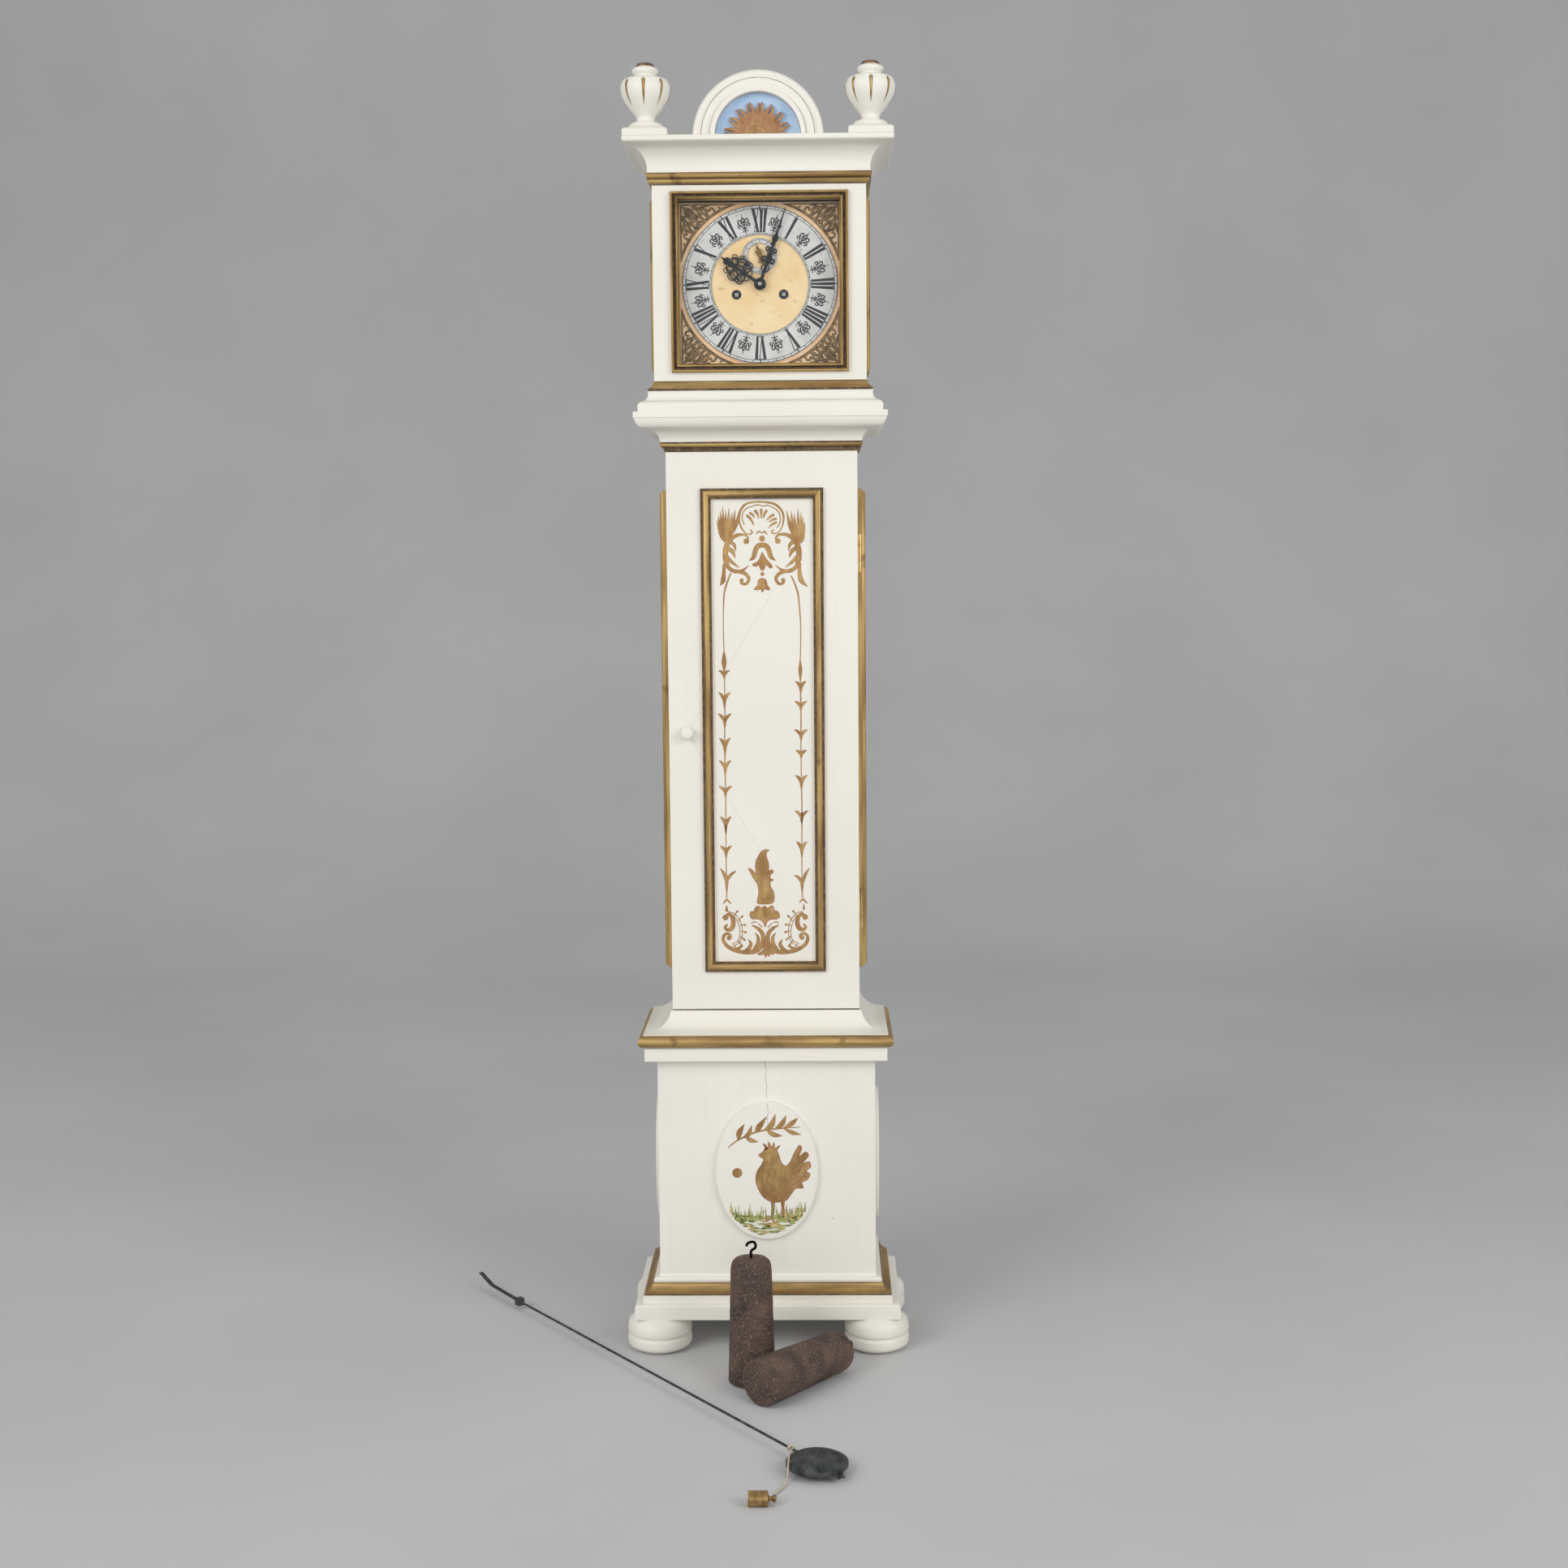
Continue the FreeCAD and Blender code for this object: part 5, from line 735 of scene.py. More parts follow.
door_y = TRUNK_FRONT
door_strokes = strokes(
    """
    -25 1312 2  -31 1319 2.6  -35 1328 3  -36 1337 3.6  -34 1347 4  -29 1355 3.8  -22 1359.5 3.2 \
        -10 1361.5 2.8
    -10 1361.5 2.8  0 1361.5 2.8  10 1360.5 3.2  20 1358 3.8  28 1352 4  33 1344 3.6  34.5 1336 3 \
        33 1326 2.4
    33 1326 2  29 1317 1.8  24 1312.5 1.6  18 1312 2.2  15.5 1315 2.6  18 1318 2
    -25 1312 1.5  -19 1311 2.4  -15.5 1314 2.6  -18 1318 2
    -28 1326 1.7  -31 1336 1.7  -29 1346 1.7  -23 1352 1.7  -14 1355 1.7  -6 1357 1.7  2 1355 1.7 \
        10 1356 1.7  19 1352 1.7
    19 1352 1.7  26 1346 1.7  29 1337 1.7  28 1328 1.7  24 1321 1.7
    -23 1340 4.4  -17 1334 3.6  -13 1325 1.4
    -18 1344 4  -14 1341 3.4  -12 1337 1.4
    -10 1347 4.8  -7 1343 3.6  -5 1336 1.4
    -1 1349 4.8  -1 1343 3.8  -1 1336 1.4
    7 1347 4.6  4 1342 3.6  2 1336 1.4
    18 1341 4.4  13 1338 3.8  8 1333 1.4
    22 1335 3.8  16 1333 3.4  11 1330 1.4
    22 1329 4.2  16 1326 3.6  11 1321 1.4
    -9 1312 1.6  -5 1315 2.8  0 1313 2  4 1315 2.8  8 1311 1.6
    -20.5 1270 1.2  -14 1274.5 6.5  -10 1287 8  -6 1292.5 8  0 1294 8  6 1292.5 8  10 1287 8  14 1275 6.5 \
        21.5 1269.5 1.2
""",
    door_y,
)
door_strokes += painted("""
    0 1282  -3 1275  -7 1268  -15.5 1263.5  -10 1260.5  -5 1263  -3.5 1257.5  0 1254  4 1258  5.5 1263.5
    13 1257.5  15.5 1261  8 1270  3 1277
""", door_y)
door_strokes += painted("""
    0 1241.5  -6 1238.5  -7.8 1230  -13 1225  -7 1223.5  -3 1225.5  0 1220  3 1225.5  7 1223.5  12 1224.5
    7.6 1230.5  6 1238
""", door_y)
door_strokes += [dot(0, 1304, 4.6, door_y), dot(0, 1248.5, 3.2, door_y)]
HEAD_SCROLLS = """
    25 1300 3.4  22 1305 3  27 1310 3.6  38 1310 5.4  48 1305 7.4  55 1296 8.4  58 1284 8.6  58 1271 8.2
    58 1271 7.6  54 1260 6.4  44 1253 6  32 1254 4.6  21 1262 1
    51 1300 6  44 1294 5.6  42 1285 1.2
    56 1290 7  47 1284 6.6  43 1274 1.4
    58 1278 7  50 1269 6  37 1259 1.2
    51 1256 4  38 1252.5 5.4  27 1249 5.6  21.5 1241 5.2  26 1233 4.4  33.5 1234.5 3.8  33 1240 3
"""
for side in (-1, 1):
    door_strokes += strokes(HEAD_SCROLLS, door_y, side)
    door_strokes += [dot(side * 25, 1300, 4.4, door_y), dot(side * 33, 1238.5, 3.2, door_y)]
LEFT_FEATHERS = listed("""
    -62 1355  -57 1349  -52 1352  -47 1346  -42 1350  -38 1341  -35 1350  -66 1348  -69 1341  -71 1334
    -70 1326  -68 1319  -66 1313
""")
RIGHT_FEATHERS = listed("""
    39 1349  42 1340  46 1348  51 1344  57 1350  62 1345  65 1338  68 1330  66 1322  67 1314  65 1306
""")
for foot, tips in (((-58, 1301), LEFT_FEATHERS), ((60, 1298), RIGHT_FEATHERS)):
    for tip in tips:
        inward = max(0, foot[0] - tip[0] if foot[0] > 0 else tip[0] - foot[0])
        root = (foot[0] + (tip[0] - foot[0]) * (0.55 if inward else 0.12), foot[1] + inward * 0.6)
        middle = (root[0] * 0.45 + tip[0] * 0.55, root[1] * 0.58 + tip[1] * 0.42)
        door_strokes.append(brush([root, middle, tip], [4, 5.4, 0.5], door_y))
door_strokes += strokes(
    """
    -60 1264 5  -61 1249 6  -62.5 1238 7.6  -67 1231 1
    59 1264 5  59 1249 6.4  62 1237 7.6  71.5 1228 1
    -50 1250 2  -57 1232 3  -61 1215 2.4  -62.5 1180 1.6  -62.5 1150 1.4  -62 1127 1.4
    -62 1127 1.6  -62 1110 8  -62 1095 1.6
    46 1245 2  55 1222 3  58 1200 2.2  60 1170 1.6  60 1140 1.4  59 1112 1.4
    59 1112 1.6  59 1096 6  59 1079 1.6
    -62 1095 1.6  -61.4 1040 1.4  -62.4 980 2  -61.8 900 1.6  -62 820 1.4  -61.6 731 1.8
    59 1079 1.6  59.6 1020 2  59.2 960 1.4  60 880 1.6  59.4 800 1.4  59.6 731 1.8
""",
    door_y,
)
for u, places in (
    (-62, listed("1096 1083  1061 1035  1027 1003  988 960  952 928  911 893  862 835  815 795")),
    (59.5, listed("1078 1058  1046 1030  1001 983  968 955  928 905  871 850  821 795")),
):
    for number, (tip, node) in enumerate(places):
        door_strokes += husk(u, tip, node, door_y, 8 + number % 3)
door_strokes += husk(-61.5, 776, 738, door_y, 11, (-71, 778), (-47, 774))
door_strokes += husk(59.5, 770, 738, door_y, 11, (48, 767), (71, 778))
door_strokes += strokes(
    """
    -67 722 1.6  -62 728 3.6  -55 722 1.6
    55 723 1.6  61 728 3.6  67 722 1.6
    -62 718 2  -62 711 5
    62 720 1.4  62 713 3.6
    -22 690 1.6  -18 692 1.6  -14 691 1.6
    -11 689 1.6  -8 686 1.6  -5 683 1.6
    4 683 1.6  8 687 1.6  11 690 1.6
    14 691 1.6  18 692 1.6  21 690 1.6
""",
    door_y,
)
for outline in (
    """
    7 808  1 809  -5 806  -10 799  -14 790  -15 780  -14 769  -19 775  -26 779  -21.5 769  -17 761
    -12 753  -10 740  -12 729  -12.5 723  -7 721  0 721  10.5 722  14.5 729  13.5 740  9 749  8.5 757
    13.5 760  9 762  8.5 768  13 772  12 776  7.5 775  4 768  6 778  5.5 788  2.5 798  3 805
""",
    """
    -21 697  -24.5 702  -23.5 708  -18 709.5  -16 715  -10.5 717.5  -6 714.5  -1 717.5  4 714  9 717.5
    13 717  14 711  20.5 708  23 700  17 696.5  8 696  2 691  0 684  -3 690.5  -8 695.5  -15 697
""",
    """
    0 662  -2 653  -5 645  -13 639.5  -6 638.5  -3 640.5  0 634.5  3 639  6 635.5  7 639.5  14 639.5
    7 645  3.5 652
""",
):
    door_strokes += painted(outline, door_y)
FOOT_SCROLLS = """
    21.5 686.5 1.4  13 682 5  6 675 6.6  3.6 666 7  5 656 7.4  11 648 8  20 643.5 8  33 642.5 6.6
    33 642.5 6.6  47 645 6.4  60 651.5 6  67.5 661 5.4  67 669.5 4.8  61.5 673 4.6  56 670 4  56.5 665 3
    16.5 674 1  12 667 4.8  12.5 656 6.4  18 648 5
    27 663 1.4  23.5 656 5.4  27 649 6  34 644.5 4
    36 653 1  42 650 4.4  50 646 5
    63 700 5  58.5 705 5  53 699 6.4  51.5 690 7.6  54 682 7.4  60 679 6  65 683 4.4  62 687.5 3.4
    62 706 1.3  52 703 1.3  44 691 1.3  41 675 1.3  44 662 1.3  54 656 1.3
    60 709 1.3  49 705 1.3  40 692 1.3  37 675 1.3  41 660 1.3  53 652 1.3
"""
SPRIGS = listed("""
    45 710 50 702  37 702 43 694  33 688 40 686  32 676 39 677
    34 664 41 668  39 655 44 661  48 648 50 655
""", 4)
for side in (-1, 1):
    door_strokes += strokes(FOOT_SCROLLS, door_y, side)
    door_strokes += [dot(side * 64, 699.5, 4.6, door_y), dot(side * 59, 666, 3.6, door_y)]
    for tip_u, tip_v, root_u, root_v in SPRIGS:
        door_strokes.append(brush([(side * root_u, root_v), (side * tip_u, tip_v)], [1.4, 2.2], door_y))
        door_strokes.append(dot(side * tip_u, tip_v - 1, 1.9, door_y))
build("door_ornament", door_strokes, "trunk_door", [ornament], forward=True)
# Painted shadow: a thin dark line on each door's edge stands for the shade in the gap between the door and
# the case.
for name, half, height, y, body in (
    ("trunk_door_gap_shadow", 150, levels("trunk_door_board")[0] + 0.7, TRUNK_FRONT, "trunk_door"),
    ("hood_door_gap_shadow", 165, levels("hood_door_rails")[1] - 0.7, HOOD_FRONT, "hood_door"),
):
    gap_shadow = [(-half, height), (-half * 0.4, height), (half * 0.3, height), (half, height)]
    build(name, [brush(gap_shadow, [0.8, 1.3, 1, 1.2], y)], body, [quirk_shade], forward=True)

# Knob and latch of the trunk door
# A small knob turned in birch and painted cream turns a steel latch behind the
# door. The hinges are cast brass, with steel pins.

KNOB = listed("0.6 0  0.52 0.2  0.62 0.34  0.9 0.45  1 0.62  0.9 0.84  0.6 0.97  0.2 1")
SHAFT_RADIUS = 3
(knob_left, knob_front, knob_low), (knob_right, shaft_end, knob_high) = span("door_knob")
to_front = Matrix.Rotation(math.pi / 2, 4, "X")
knob_middle = ((knob_left + knob_right) / 2, TRUNK_FRONT, (knob_low + knob_high) / 2)
knob_place = Matrix.Translation(knob_middle) @ to_front
knob_line = scaled(eased(KNOB), (knob_right - knob_left) / 2, TRUNK_FRONT - knob_front)
knob_parts = [
    turned([(radius, height - 0.4) for radius, height in knob_line], knob_place, 48),
    turned([(SHAFT_RADIUS, TRUNK_FRONT - shaft_end), (SHAFT_RADIUS, 1)], knob_place, 24),
]
build("door_knob_turned", knob_parts, "latch", [cream_level], ["door_knob"])


def metal(name, dull, bright, roughness, scale):
    """Handled metal, duller in patches, with fine scratches."""
    finish, tree, shader = new_finish(name, bright, 1, roughness)
    patches = mottled(tree, scale, 0.35, 0.68, detail=5)
    tree.links.new(laid_over(tree, patches, bright, dull), shader.inputs["Base Color"])
    rubbed = mottled(tree, scale * 2, 0.3, 0.7, start=roughness, end=roughness + 0.2)
    tree.links.new(rubbed, shader.inputs["Roughness"])
    return finish


brass = metal("aged_brass", (0.42, 0.28, 0.11), (0.72, 0.54, 0.26), 0.3, 40)
steel = metal("worked_steel", (0.26, 0.25, 0.24), (0.55, 0.54, 0.53), 0.3, 70)
dress(brass, "trunk_case_hinges", "trunk_door_hinges", "hood_door_pins")
dress(steel, "door_latch")

# Oval medallions of the base
# Flat ovals of pine with rounded edges, glued to the front and the sides. The
# front one carries a bird on a lawn, in bronze, red and green paint.

dress(cream_level, "base_medallions", arris=2.2)
oval_y = span("base_medallions")[0][1]
bird_strokes = strokes(
    """
    -62 330 1.4  -48 341 2.6  -30 350 3  -10 357 3  20 361 2.6  54 363 1
    -46 342 2  -44 354 9.5  -36 368 1
    -38 346 2  -29 352 7.5  -24 366 1
    -18 354 2  -12 364 9.5  0 380 1
    -4 358 2  8 367 9  14 384 1
    14 361 2  25 369 8.5  31 382 1
    28 362 2  40 369 8  50 378 1
    -34 348 2  -26 342 7.5  -14 339 1
    0 359 2  11 351 8  25 349 1
    28 361 2  41 354 7  55 351 1
    -3 310 2  -6 304 4.4  -5 299 1
    -1 328 4  -3 333 4.4  -6 336 1.4
    4 329 4  4 335 4.6  2 339 1.4
    9 328 4  11 333 4.4  11 338 1.4
    14 325 3.6  18 330 4  21 333 1.2
    9 250 12  9 234 5  7 214 3.4
    25 250 12  25 234 5  26 214 3.4
    7 215 3.4  0 209 3  -8 207 1
    7 215 3.4  10 208 3  17 206 1
    26 215 3.4  20 208 3  13 205 1
    26 215 3.4  32 208 3  40 206 1
""",
    oval_y,
)
bird_strokes += painted("""
    -13 317  -7 322  -2 329  6 332  14 328  19 318  23 305  30 299  37 305  44 320  52 333  56 328  52 315
    62 322  67 316  58 304  68 306  70 297  62 291  69 286  65 277  56 272  58 263  46 262  38 252  31 243
    20 240  7 240  -5 247  -13 259  -18 275  -16 290  -9 301  -5 310
""", oval_y)
bird_strokes.append(dot(-48, 288, 8, oval_y))
build("oval_bird", bird_strokes, "case", [ornament], forward=True)


def flat_paint(name, dark, light, roughness=0.5):
    """Thin artist's paint with uneven strength."""
    return finish_of(name, light, 0, roughness, light, dark, 120, 0.38, 0.62)


red_line = flat_paint("red_outline", (0.3, 0.1, 0.06), (0.45, 0.19, 0.12))
lawn_green = flat_paint("lawn_green", (0.16, 0.2, 0.05), (0.4, 0.45, 0.16))
lawn_ochre = flat_paint("lawn_ochre", (0.4, 0.28, 0.1), (0.66, 0.52, 0.22))
# This paint draws the real hairline crack on the base and also the painted shadow lines on the crest.
crack_and_shadow_line = flat_paint("crack_and_shadow_paint", (0.2, 0.16, 0.12), (0.4, 0.34, 0.27))
FEATHER_LINES = """
    -4 292  2 284  -2 274
    8 296  14 286  10 276
    16 284  24 276  20 264
    2 272  10 264  8 254
    28 278  36 272  34 262
    24 262  32 258  40 256
    36 272  50 286  55 300
    40 268  56 278  64 292
    -1 306  6 302  12 304
    2 320  4 322  6 320
    -14 282  -8 276  -6 264
    -4 264  0 254  6 248
    16 256  24 248  28 250
    40 292  48 306  51 322
    44 286  56 296  64 301
    46 278  58 281  66 283
"""
FEATHER_WIDTH, FEATHER_LIFT = 1.1, 0.4
feather_lines = [
    brush(listed(row), FEATHER_WIDTH, oval_y - FEATHER_LIFT) for row in FEATHER_LINES.strip().splitlines()
]
build("oval_feather_lines", feather_lines, "case", [red_line], forward=True)
OVAL_MIDDLE, OVAL_HALF_WIDE, OVAL_HALF_TALL = 291.7, 78.5, 109.5


def oval_foot(u):
    """The height of the oval's lower edge at a place across it."""
    return OVAL_MIDDLE - OVAL_HALF_TALL * math.sqrt(max(1 - (u / OVAL_HALF_WIDE) ** 2, 0))


def on_oval(stroke):
    """Whether a brush stroke lies wholly on the oval."""
    wide, tall = OVAL_HALF_WIDE + 1, OVAL_HALF_TALL + 1
    return all((x / wide) ** 2 + ((z - OVAL_MIDDLE) / tall) ** 2 < 1 for x, _, z in stroke[0])


LAWN_STROKES, LAWN_TOP, LAWN_BLADES, BLADE_FOOT, LAWN_MARGIN = 140, 217, 60, 209, 2
random.seed(11)
green_strokes = []
ochre_strokes = []
for number in range(LAWN_STROKES):
    u = random.uniform(-59, 44)
    length = random.uniform(8, 18)
    low = max(oval_foot(u), oval_foot(u + length)) + LAWN_MARGIN
    v = low + random.uniform(0, 1) * max(LAWN_TOP - low, LAWN_MARGIN)
    run = [(u, v), (u + length * 0.5, v + random.uniform(-1.5, 1.5)), (u + length, v)]
    kind = green_strokes if number % 3 else ochre_strokes
    kind.append(brush(run, [0.8, 2.8, 0.6], oval_y))
for number in range(LAWN_BLADES):
    u = random.uniform(-62, 62)
    v = max(BLADE_FOOT, oval_foot(u) + LAWN_MARGIN)
    tall = random.uniform(10, 28)
    lean = random.uniform(-4, 5)
    kind = green_strokes if number % 2 else ochre_strokes
    blade = [(u, v), (u + lean * 0.3, v + tall * 0.5), (u + lean, v + tall)]
    kind.append(brush(blade, [2.4, 2, 0.4], oval_y))
for name, kind, paint in (
    ("oval_lawn_green", green_strokes, lawn_green),
    ("oval_lawn_ochre", ochre_strokes, lawn_ochre),
):
    build(name, [stroke for stroke in kind if on_oval(stroke)], "case", [paint], forward=True)
crack_lines = strokes("-2 468 0.9  0 455 0.6  -1.5 442 0.8  0.8 430 0.5  -0.6 418 0.7  1 408 0.4", BASE_FRONT)
crack_lines += strokes("1 402 0.6  2.4 390 0.5  1.2 376 0.5  3 362 0.4  2 350 0.2", oval_y)
build("base_crack", crack_lines, "case", [crack_and_shadow_line], forward=True)

# Crest with its painted sun
# A half round pediment, built up of pine rings and painted cream. A rising sun
# in bronze stands out from its blue field.

CREST = listed("0.66 0  0.66 0.96  0.69 1  0.73 1  0.73 0.8  0.87 0.8  0.87 0.6  1 0.45  1 0")
(_, crest_front, crest_low), (crest_radius, crest_back, _) = span("crest_arch")
crest_depth = crest_back - crest_front
crest_line = scaled(CREST, crest_radius, crest_depth)
CREST_TURNS = 64
crest_points = []
for turn in range(CREST_TURNS + 1):
    across, up = math.cos(math.pi * turn / CREST_TURNS), math.sin(math.pi * turn / CREST_TURNS)
    for radius, depth in crest_line:
        crest_points.append((radius * across, crest_back - depth, crest_low + radius * up))
crest_faces = skin(CREST_TURNS + 1, len(CREST)) + both_ends(CREST_TURNS + 1, len(CREST))
crest = part(crest_points, crest_faces)
build("crest_arch_painted", [crest], "hood", [cream_level], ["crest_arch"])
sky = finish_of("sky_blue_paint", (0.42, 0.58, 0.8), 0, 0.5, (0.36, 0.53, 0.78), (0.5, 0.66, 0.86), 40)
dress(sky, "crest_panel")
sun_front, sun_back = span("crest_sun")[0][1], span("crest_sun")[1][1]
RAYS = 17
ray_turn = math.pi / RAYS


def on_sun(radius, angle):
    """A place on the half round field, from its radius and angle."""
    return radius * math.cos(angle), crest_low + max(radius * math.sin(angle), 0.05)


def sun_arc(radius, steps):
    """A half circle over the foot of the field."""
    return [on_sun(radius, math.pi * step / steps) for step in range(steps + 1)]


sun_outline = []
sun_lines = []
for ray in range(RAYS):
    low_angle = ray_turn * ray
    hook = 0.2 if ray % 2 else -0.16
    long = 53.4 - 1.4 * (ray % 3)
    rise = ((35, 0), (40, 0.22), (46, 0.34 + hook / 2), (long, 0.5 + 1.6 * hook))
    fall = ((46, 0.62 + hook), (40, 0.8))
    sun_outline += [on_sun(radius, low_angle + ray_turn * share) for radius, share in rise + fall]
    middle = low_angle + ray_turn * 0.5
    sun_lines.append(brush([on_sun(r, middle) for r in (22, 30, 40)], [0.6, 1.1, 0.5], sun_front))
    if ray:
        sun_lines.append(brush([on_sun(r, low_angle) for r in (16.5, 27, 37)], [0.7, 1.5, 1], sun_front))
sun_outline.append(on_sun(35, math.pi))
sun_loop = [(u, max(v, crest_low + 0.05)) for u, v in loop_through(sun_outline, 3)]
sun = filled(sun_loop, sun_front, sun_back)
build("sun_with_rays", [sun], "hood", [ornament], ["crest_sun"], 0)
for radius, width in ((15.5, 1.4), (9, 0.9)):
    sun_lines.append(brush(sun_arc(radius, 12), width, sun_front))
sun_lines.append(edged(sun_loop, sun_front - 0.1, 0.8))
build("sun_lines", sun_lines, "hood", [red_line], forward=True)
# Painted shadow: thin dark rings drawn at the steps of the crest's rings stand for the shade under each step.
crest_shadow_lines = []
for share, depth, width in ((0.868, 0.8, 0.9), (0.735, 0.8, 0.9), (0.657, 0.42, 0.8), (0.985, 0.465, 0.5)):
    crest_shadow_lines.append(brush(sun_arc(share * crest_radius, 24), width, crest_back - depth * crest_depth))
build("crest_shadow_lines", crest_shadow_lines, "hood", [crack_and_shadow_line], forward=True)

# Finials
# Two urns turned in pine on square blocks, painted cream. Eight tapered flutes
# are cut round each bowl and gilded, and the cap is rubbed with gold.

FINIAL = listed("""
    0.62 0  0.7 0.05  0.62 0.1  0.4 0.13  0.38 0.2  0.64 0.32  0.9 0.46  1 0.6  0.96 0.69  0.84 0.75
    0.42 0.8  0.5 0.85  0.52 0.9  0.36 0.94
""")
CAP = listed("0.35 0.93  0.365 0.955  0.31 0.985  0.18 0.998  0.04 1")
FINIAL_BLOCK = ((34.5, 0), (34.5, 9), (31, 12))
CORNERS = ((-1, -1), (1, -1), (1, 1), (-1, 1))
(finial_left, finial_front, finial_low), (finial_right, finial_back, finial_top) = span("finials")
finial_y = (finial_front + finial_back) / 2
finial_half = finial_back - finial_y
finial_places = {"left": finial_left + finial_half, "right": finial_right - finial_half}
urn_low = finial_low + FINIAL_BLOCK[-1][1]
urn_high = finial_top - urn_low
urn_line = scaled(eased(FINIAL, 6), finial_half, urn_high)
cap_line = scaled(eased(CAP, 4), finial_half, urn_high)
finial_parts = []
cap_parts = []
for x in finial_places.values():
    urn_place = Matrix.Translation((x, finial_y, urn_low))
    points = [
        (x + a * half, finial_y + b * half, finial_low + z) for half, z in FINIAL_BLOCK for a, b in CORNERS
    ]
    finial_parts += [turned(urn_line, urn_place, 72), part(points, skin(3, 4) + both_ends(3, 4))]
    cap_parts.append(turned(cap_line, urn_place, 48))
build("finials_turned", finial_parts, "hood", [cream_level], ["finials"])
cap_brown = finish_of(
    "brown_cap", (0.16, 0.08, 0.04), 0.2, 0.45, (0.1, 0.05, 0.025), (0.3, 0.17, 0.08), 90, 0.38, 0.66
)
build("finial_caps", cap_parts, "hood", [cap_brown])

even_ring = node_tree(
    "even_ring",
    {
        "Geometry": "Geometry",
        "Count": "Int",
        "Step": "Float",
        "First": "Float",
        "Axis": "Vector",
        "Centre": "Vector",
        "Finish": "Material",
    },
    {
        "spots": ("GeometryNodePoints",),
        "number": ("GeometryNodeInputIndex",),
        "turning": ("ShaderNodeMath", ("operation", "MULTIPLY_ADD")),
        "facing": ("FunctionNodeAxisAngleToRotation",),
        "copies": ("GeometryNodeInstanceOnPoints",),
        "solid": ("GeometryNodeRealizeInstances",),
        "moved": ("GeometryNodeTransform",),
        "finished": ("GeometryNodeSetMaterial",),
    },
    """
given.Count > spots.Count
number.Index > turning.0
given.Step > turning.1
given.First > turning.2
given.Axis > facing.Axis
turning.Value > facing.Angle
spots.0 > copies.Points
given.Geometry > copies.Instance
facing.Rotation > copies.Rotation
copies.Instances > solid.Geometry
solid.Geometry > moved.Geometry
given.Centre > moved.Translation
moved.Geometry > finished.Geometry
given.Finish > finished.Material
finished.Geometry > result.Geometry
""",
)


def plain_mesh(holder, name):
    """The plain mesh that an object's nodes or curve give. The object itself goes."""
    bpy.context.view_layer.update()
    mesh = bpy.data.meshes.new_from_object(holder.evaluated_get(bpy.context.evaluated_depsgraph_get()))
    mesh.name = name
    bpy.data.objects.remove(holder)
    return mesh


def worked_out(holder, name, body):
    """The plain mesh that the nodes give, as a piece on its body."""
    piece = placed(name, plain_mesh(holder, name))
    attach(piece, body)
    return piece


def ring_of(name, parts, body, finish, count, centre, axis=(0, 1, 0), first=0, flat=True):
    """Repeats one worked piece, drawn about the origin, evenly round a centre."""
    pattern = build(name + "_pattern", parts, None, [finish], forward=axis[1] == 1 and flat)
    step = 2 * math.pi / count
    centre = [share / 1000 for share in centre]
    turning = {"Count": count, "Step": step, "First": float(first), "Axis": axis, "Centre": centre}
    with_nodes(pattern, *even_ring, **turning, Finish=finish)
    return worked_out(pattern, name, body)


flute_gold = finish_of(
    "flute_gilding", (0.6, 0.42, 0.13), 0.6, 0.4, (0.4, 0.26, 0.08), (0.68, 0.5, 0.18), 90, 0.36, 0.66,
    rim=(0.07, 0.04, 0.02),
)
FLUTE_SPREAD = (-1.3, -1, -0.5, 0, 0.5, 1, 1.3)
BOWL_LOW, BOWL_HIGH = 0.34 * urn_high, 0.73 * urn_high
bowl = [(radius, height) for radius, height in urn_line if BOWL_LOW < height < BOWL_HIGH]
flute_points = []
for index, (radius, height) in enumerate(bowl):
    share = index / (len(bowl) - 1)
    half = (0.8 + 2 * share) * min(1, 4 * share + 0.2, 6 * (1 - share) + 0.2)
    for across in FLUTE_SPREAD:
        angle = across * half / radius
        out = radius + (0.15 if abs(across) < 1.2 else -0.1) + 0.25 * max(0, 1 - across**2)
        flute_points.append((out * math.sin(angle), -out * math.cos(angle), height))
flute_rims = [1 if abs(across) > 0.9 else 0 for _ in bowl for across in FLUTE_SPREAD]
flute = part(flute_points, skin(len(bowl), len(FLUTE_SPREAD), open_sides=True), 0, flute_rims)
for word, x in finial_places.items():
    centre = (x, finial_y, urn_low)
    ring_of(f"{word}_finial_flutes", [flute], "hood", flute_gold, 8, centre, (0, 0, 1))

# Movement behind the dial
# Brass plates and wheels on steel arbors, the going train in mesh, and a bell
# cast in bell metal. The plates are pinned to four pillars.

dress(
    brass, "movement_plates", "movement_pillars", "bell", "centre_arbor", "third_wheel", "escape_wheel",
    "minute_wheel", "hour_wheel", "going_great_wheel", "strike_great_wheel", "going_barrel", "strike_barrel",
)
dress(steel, "anchor", "back_cock", "hammer")

# Dial
# A square brass plate, gilt and matted in the middle. A silvered chapter ring
# with blackened numerals is pinned over it, and a small seconds ring above.

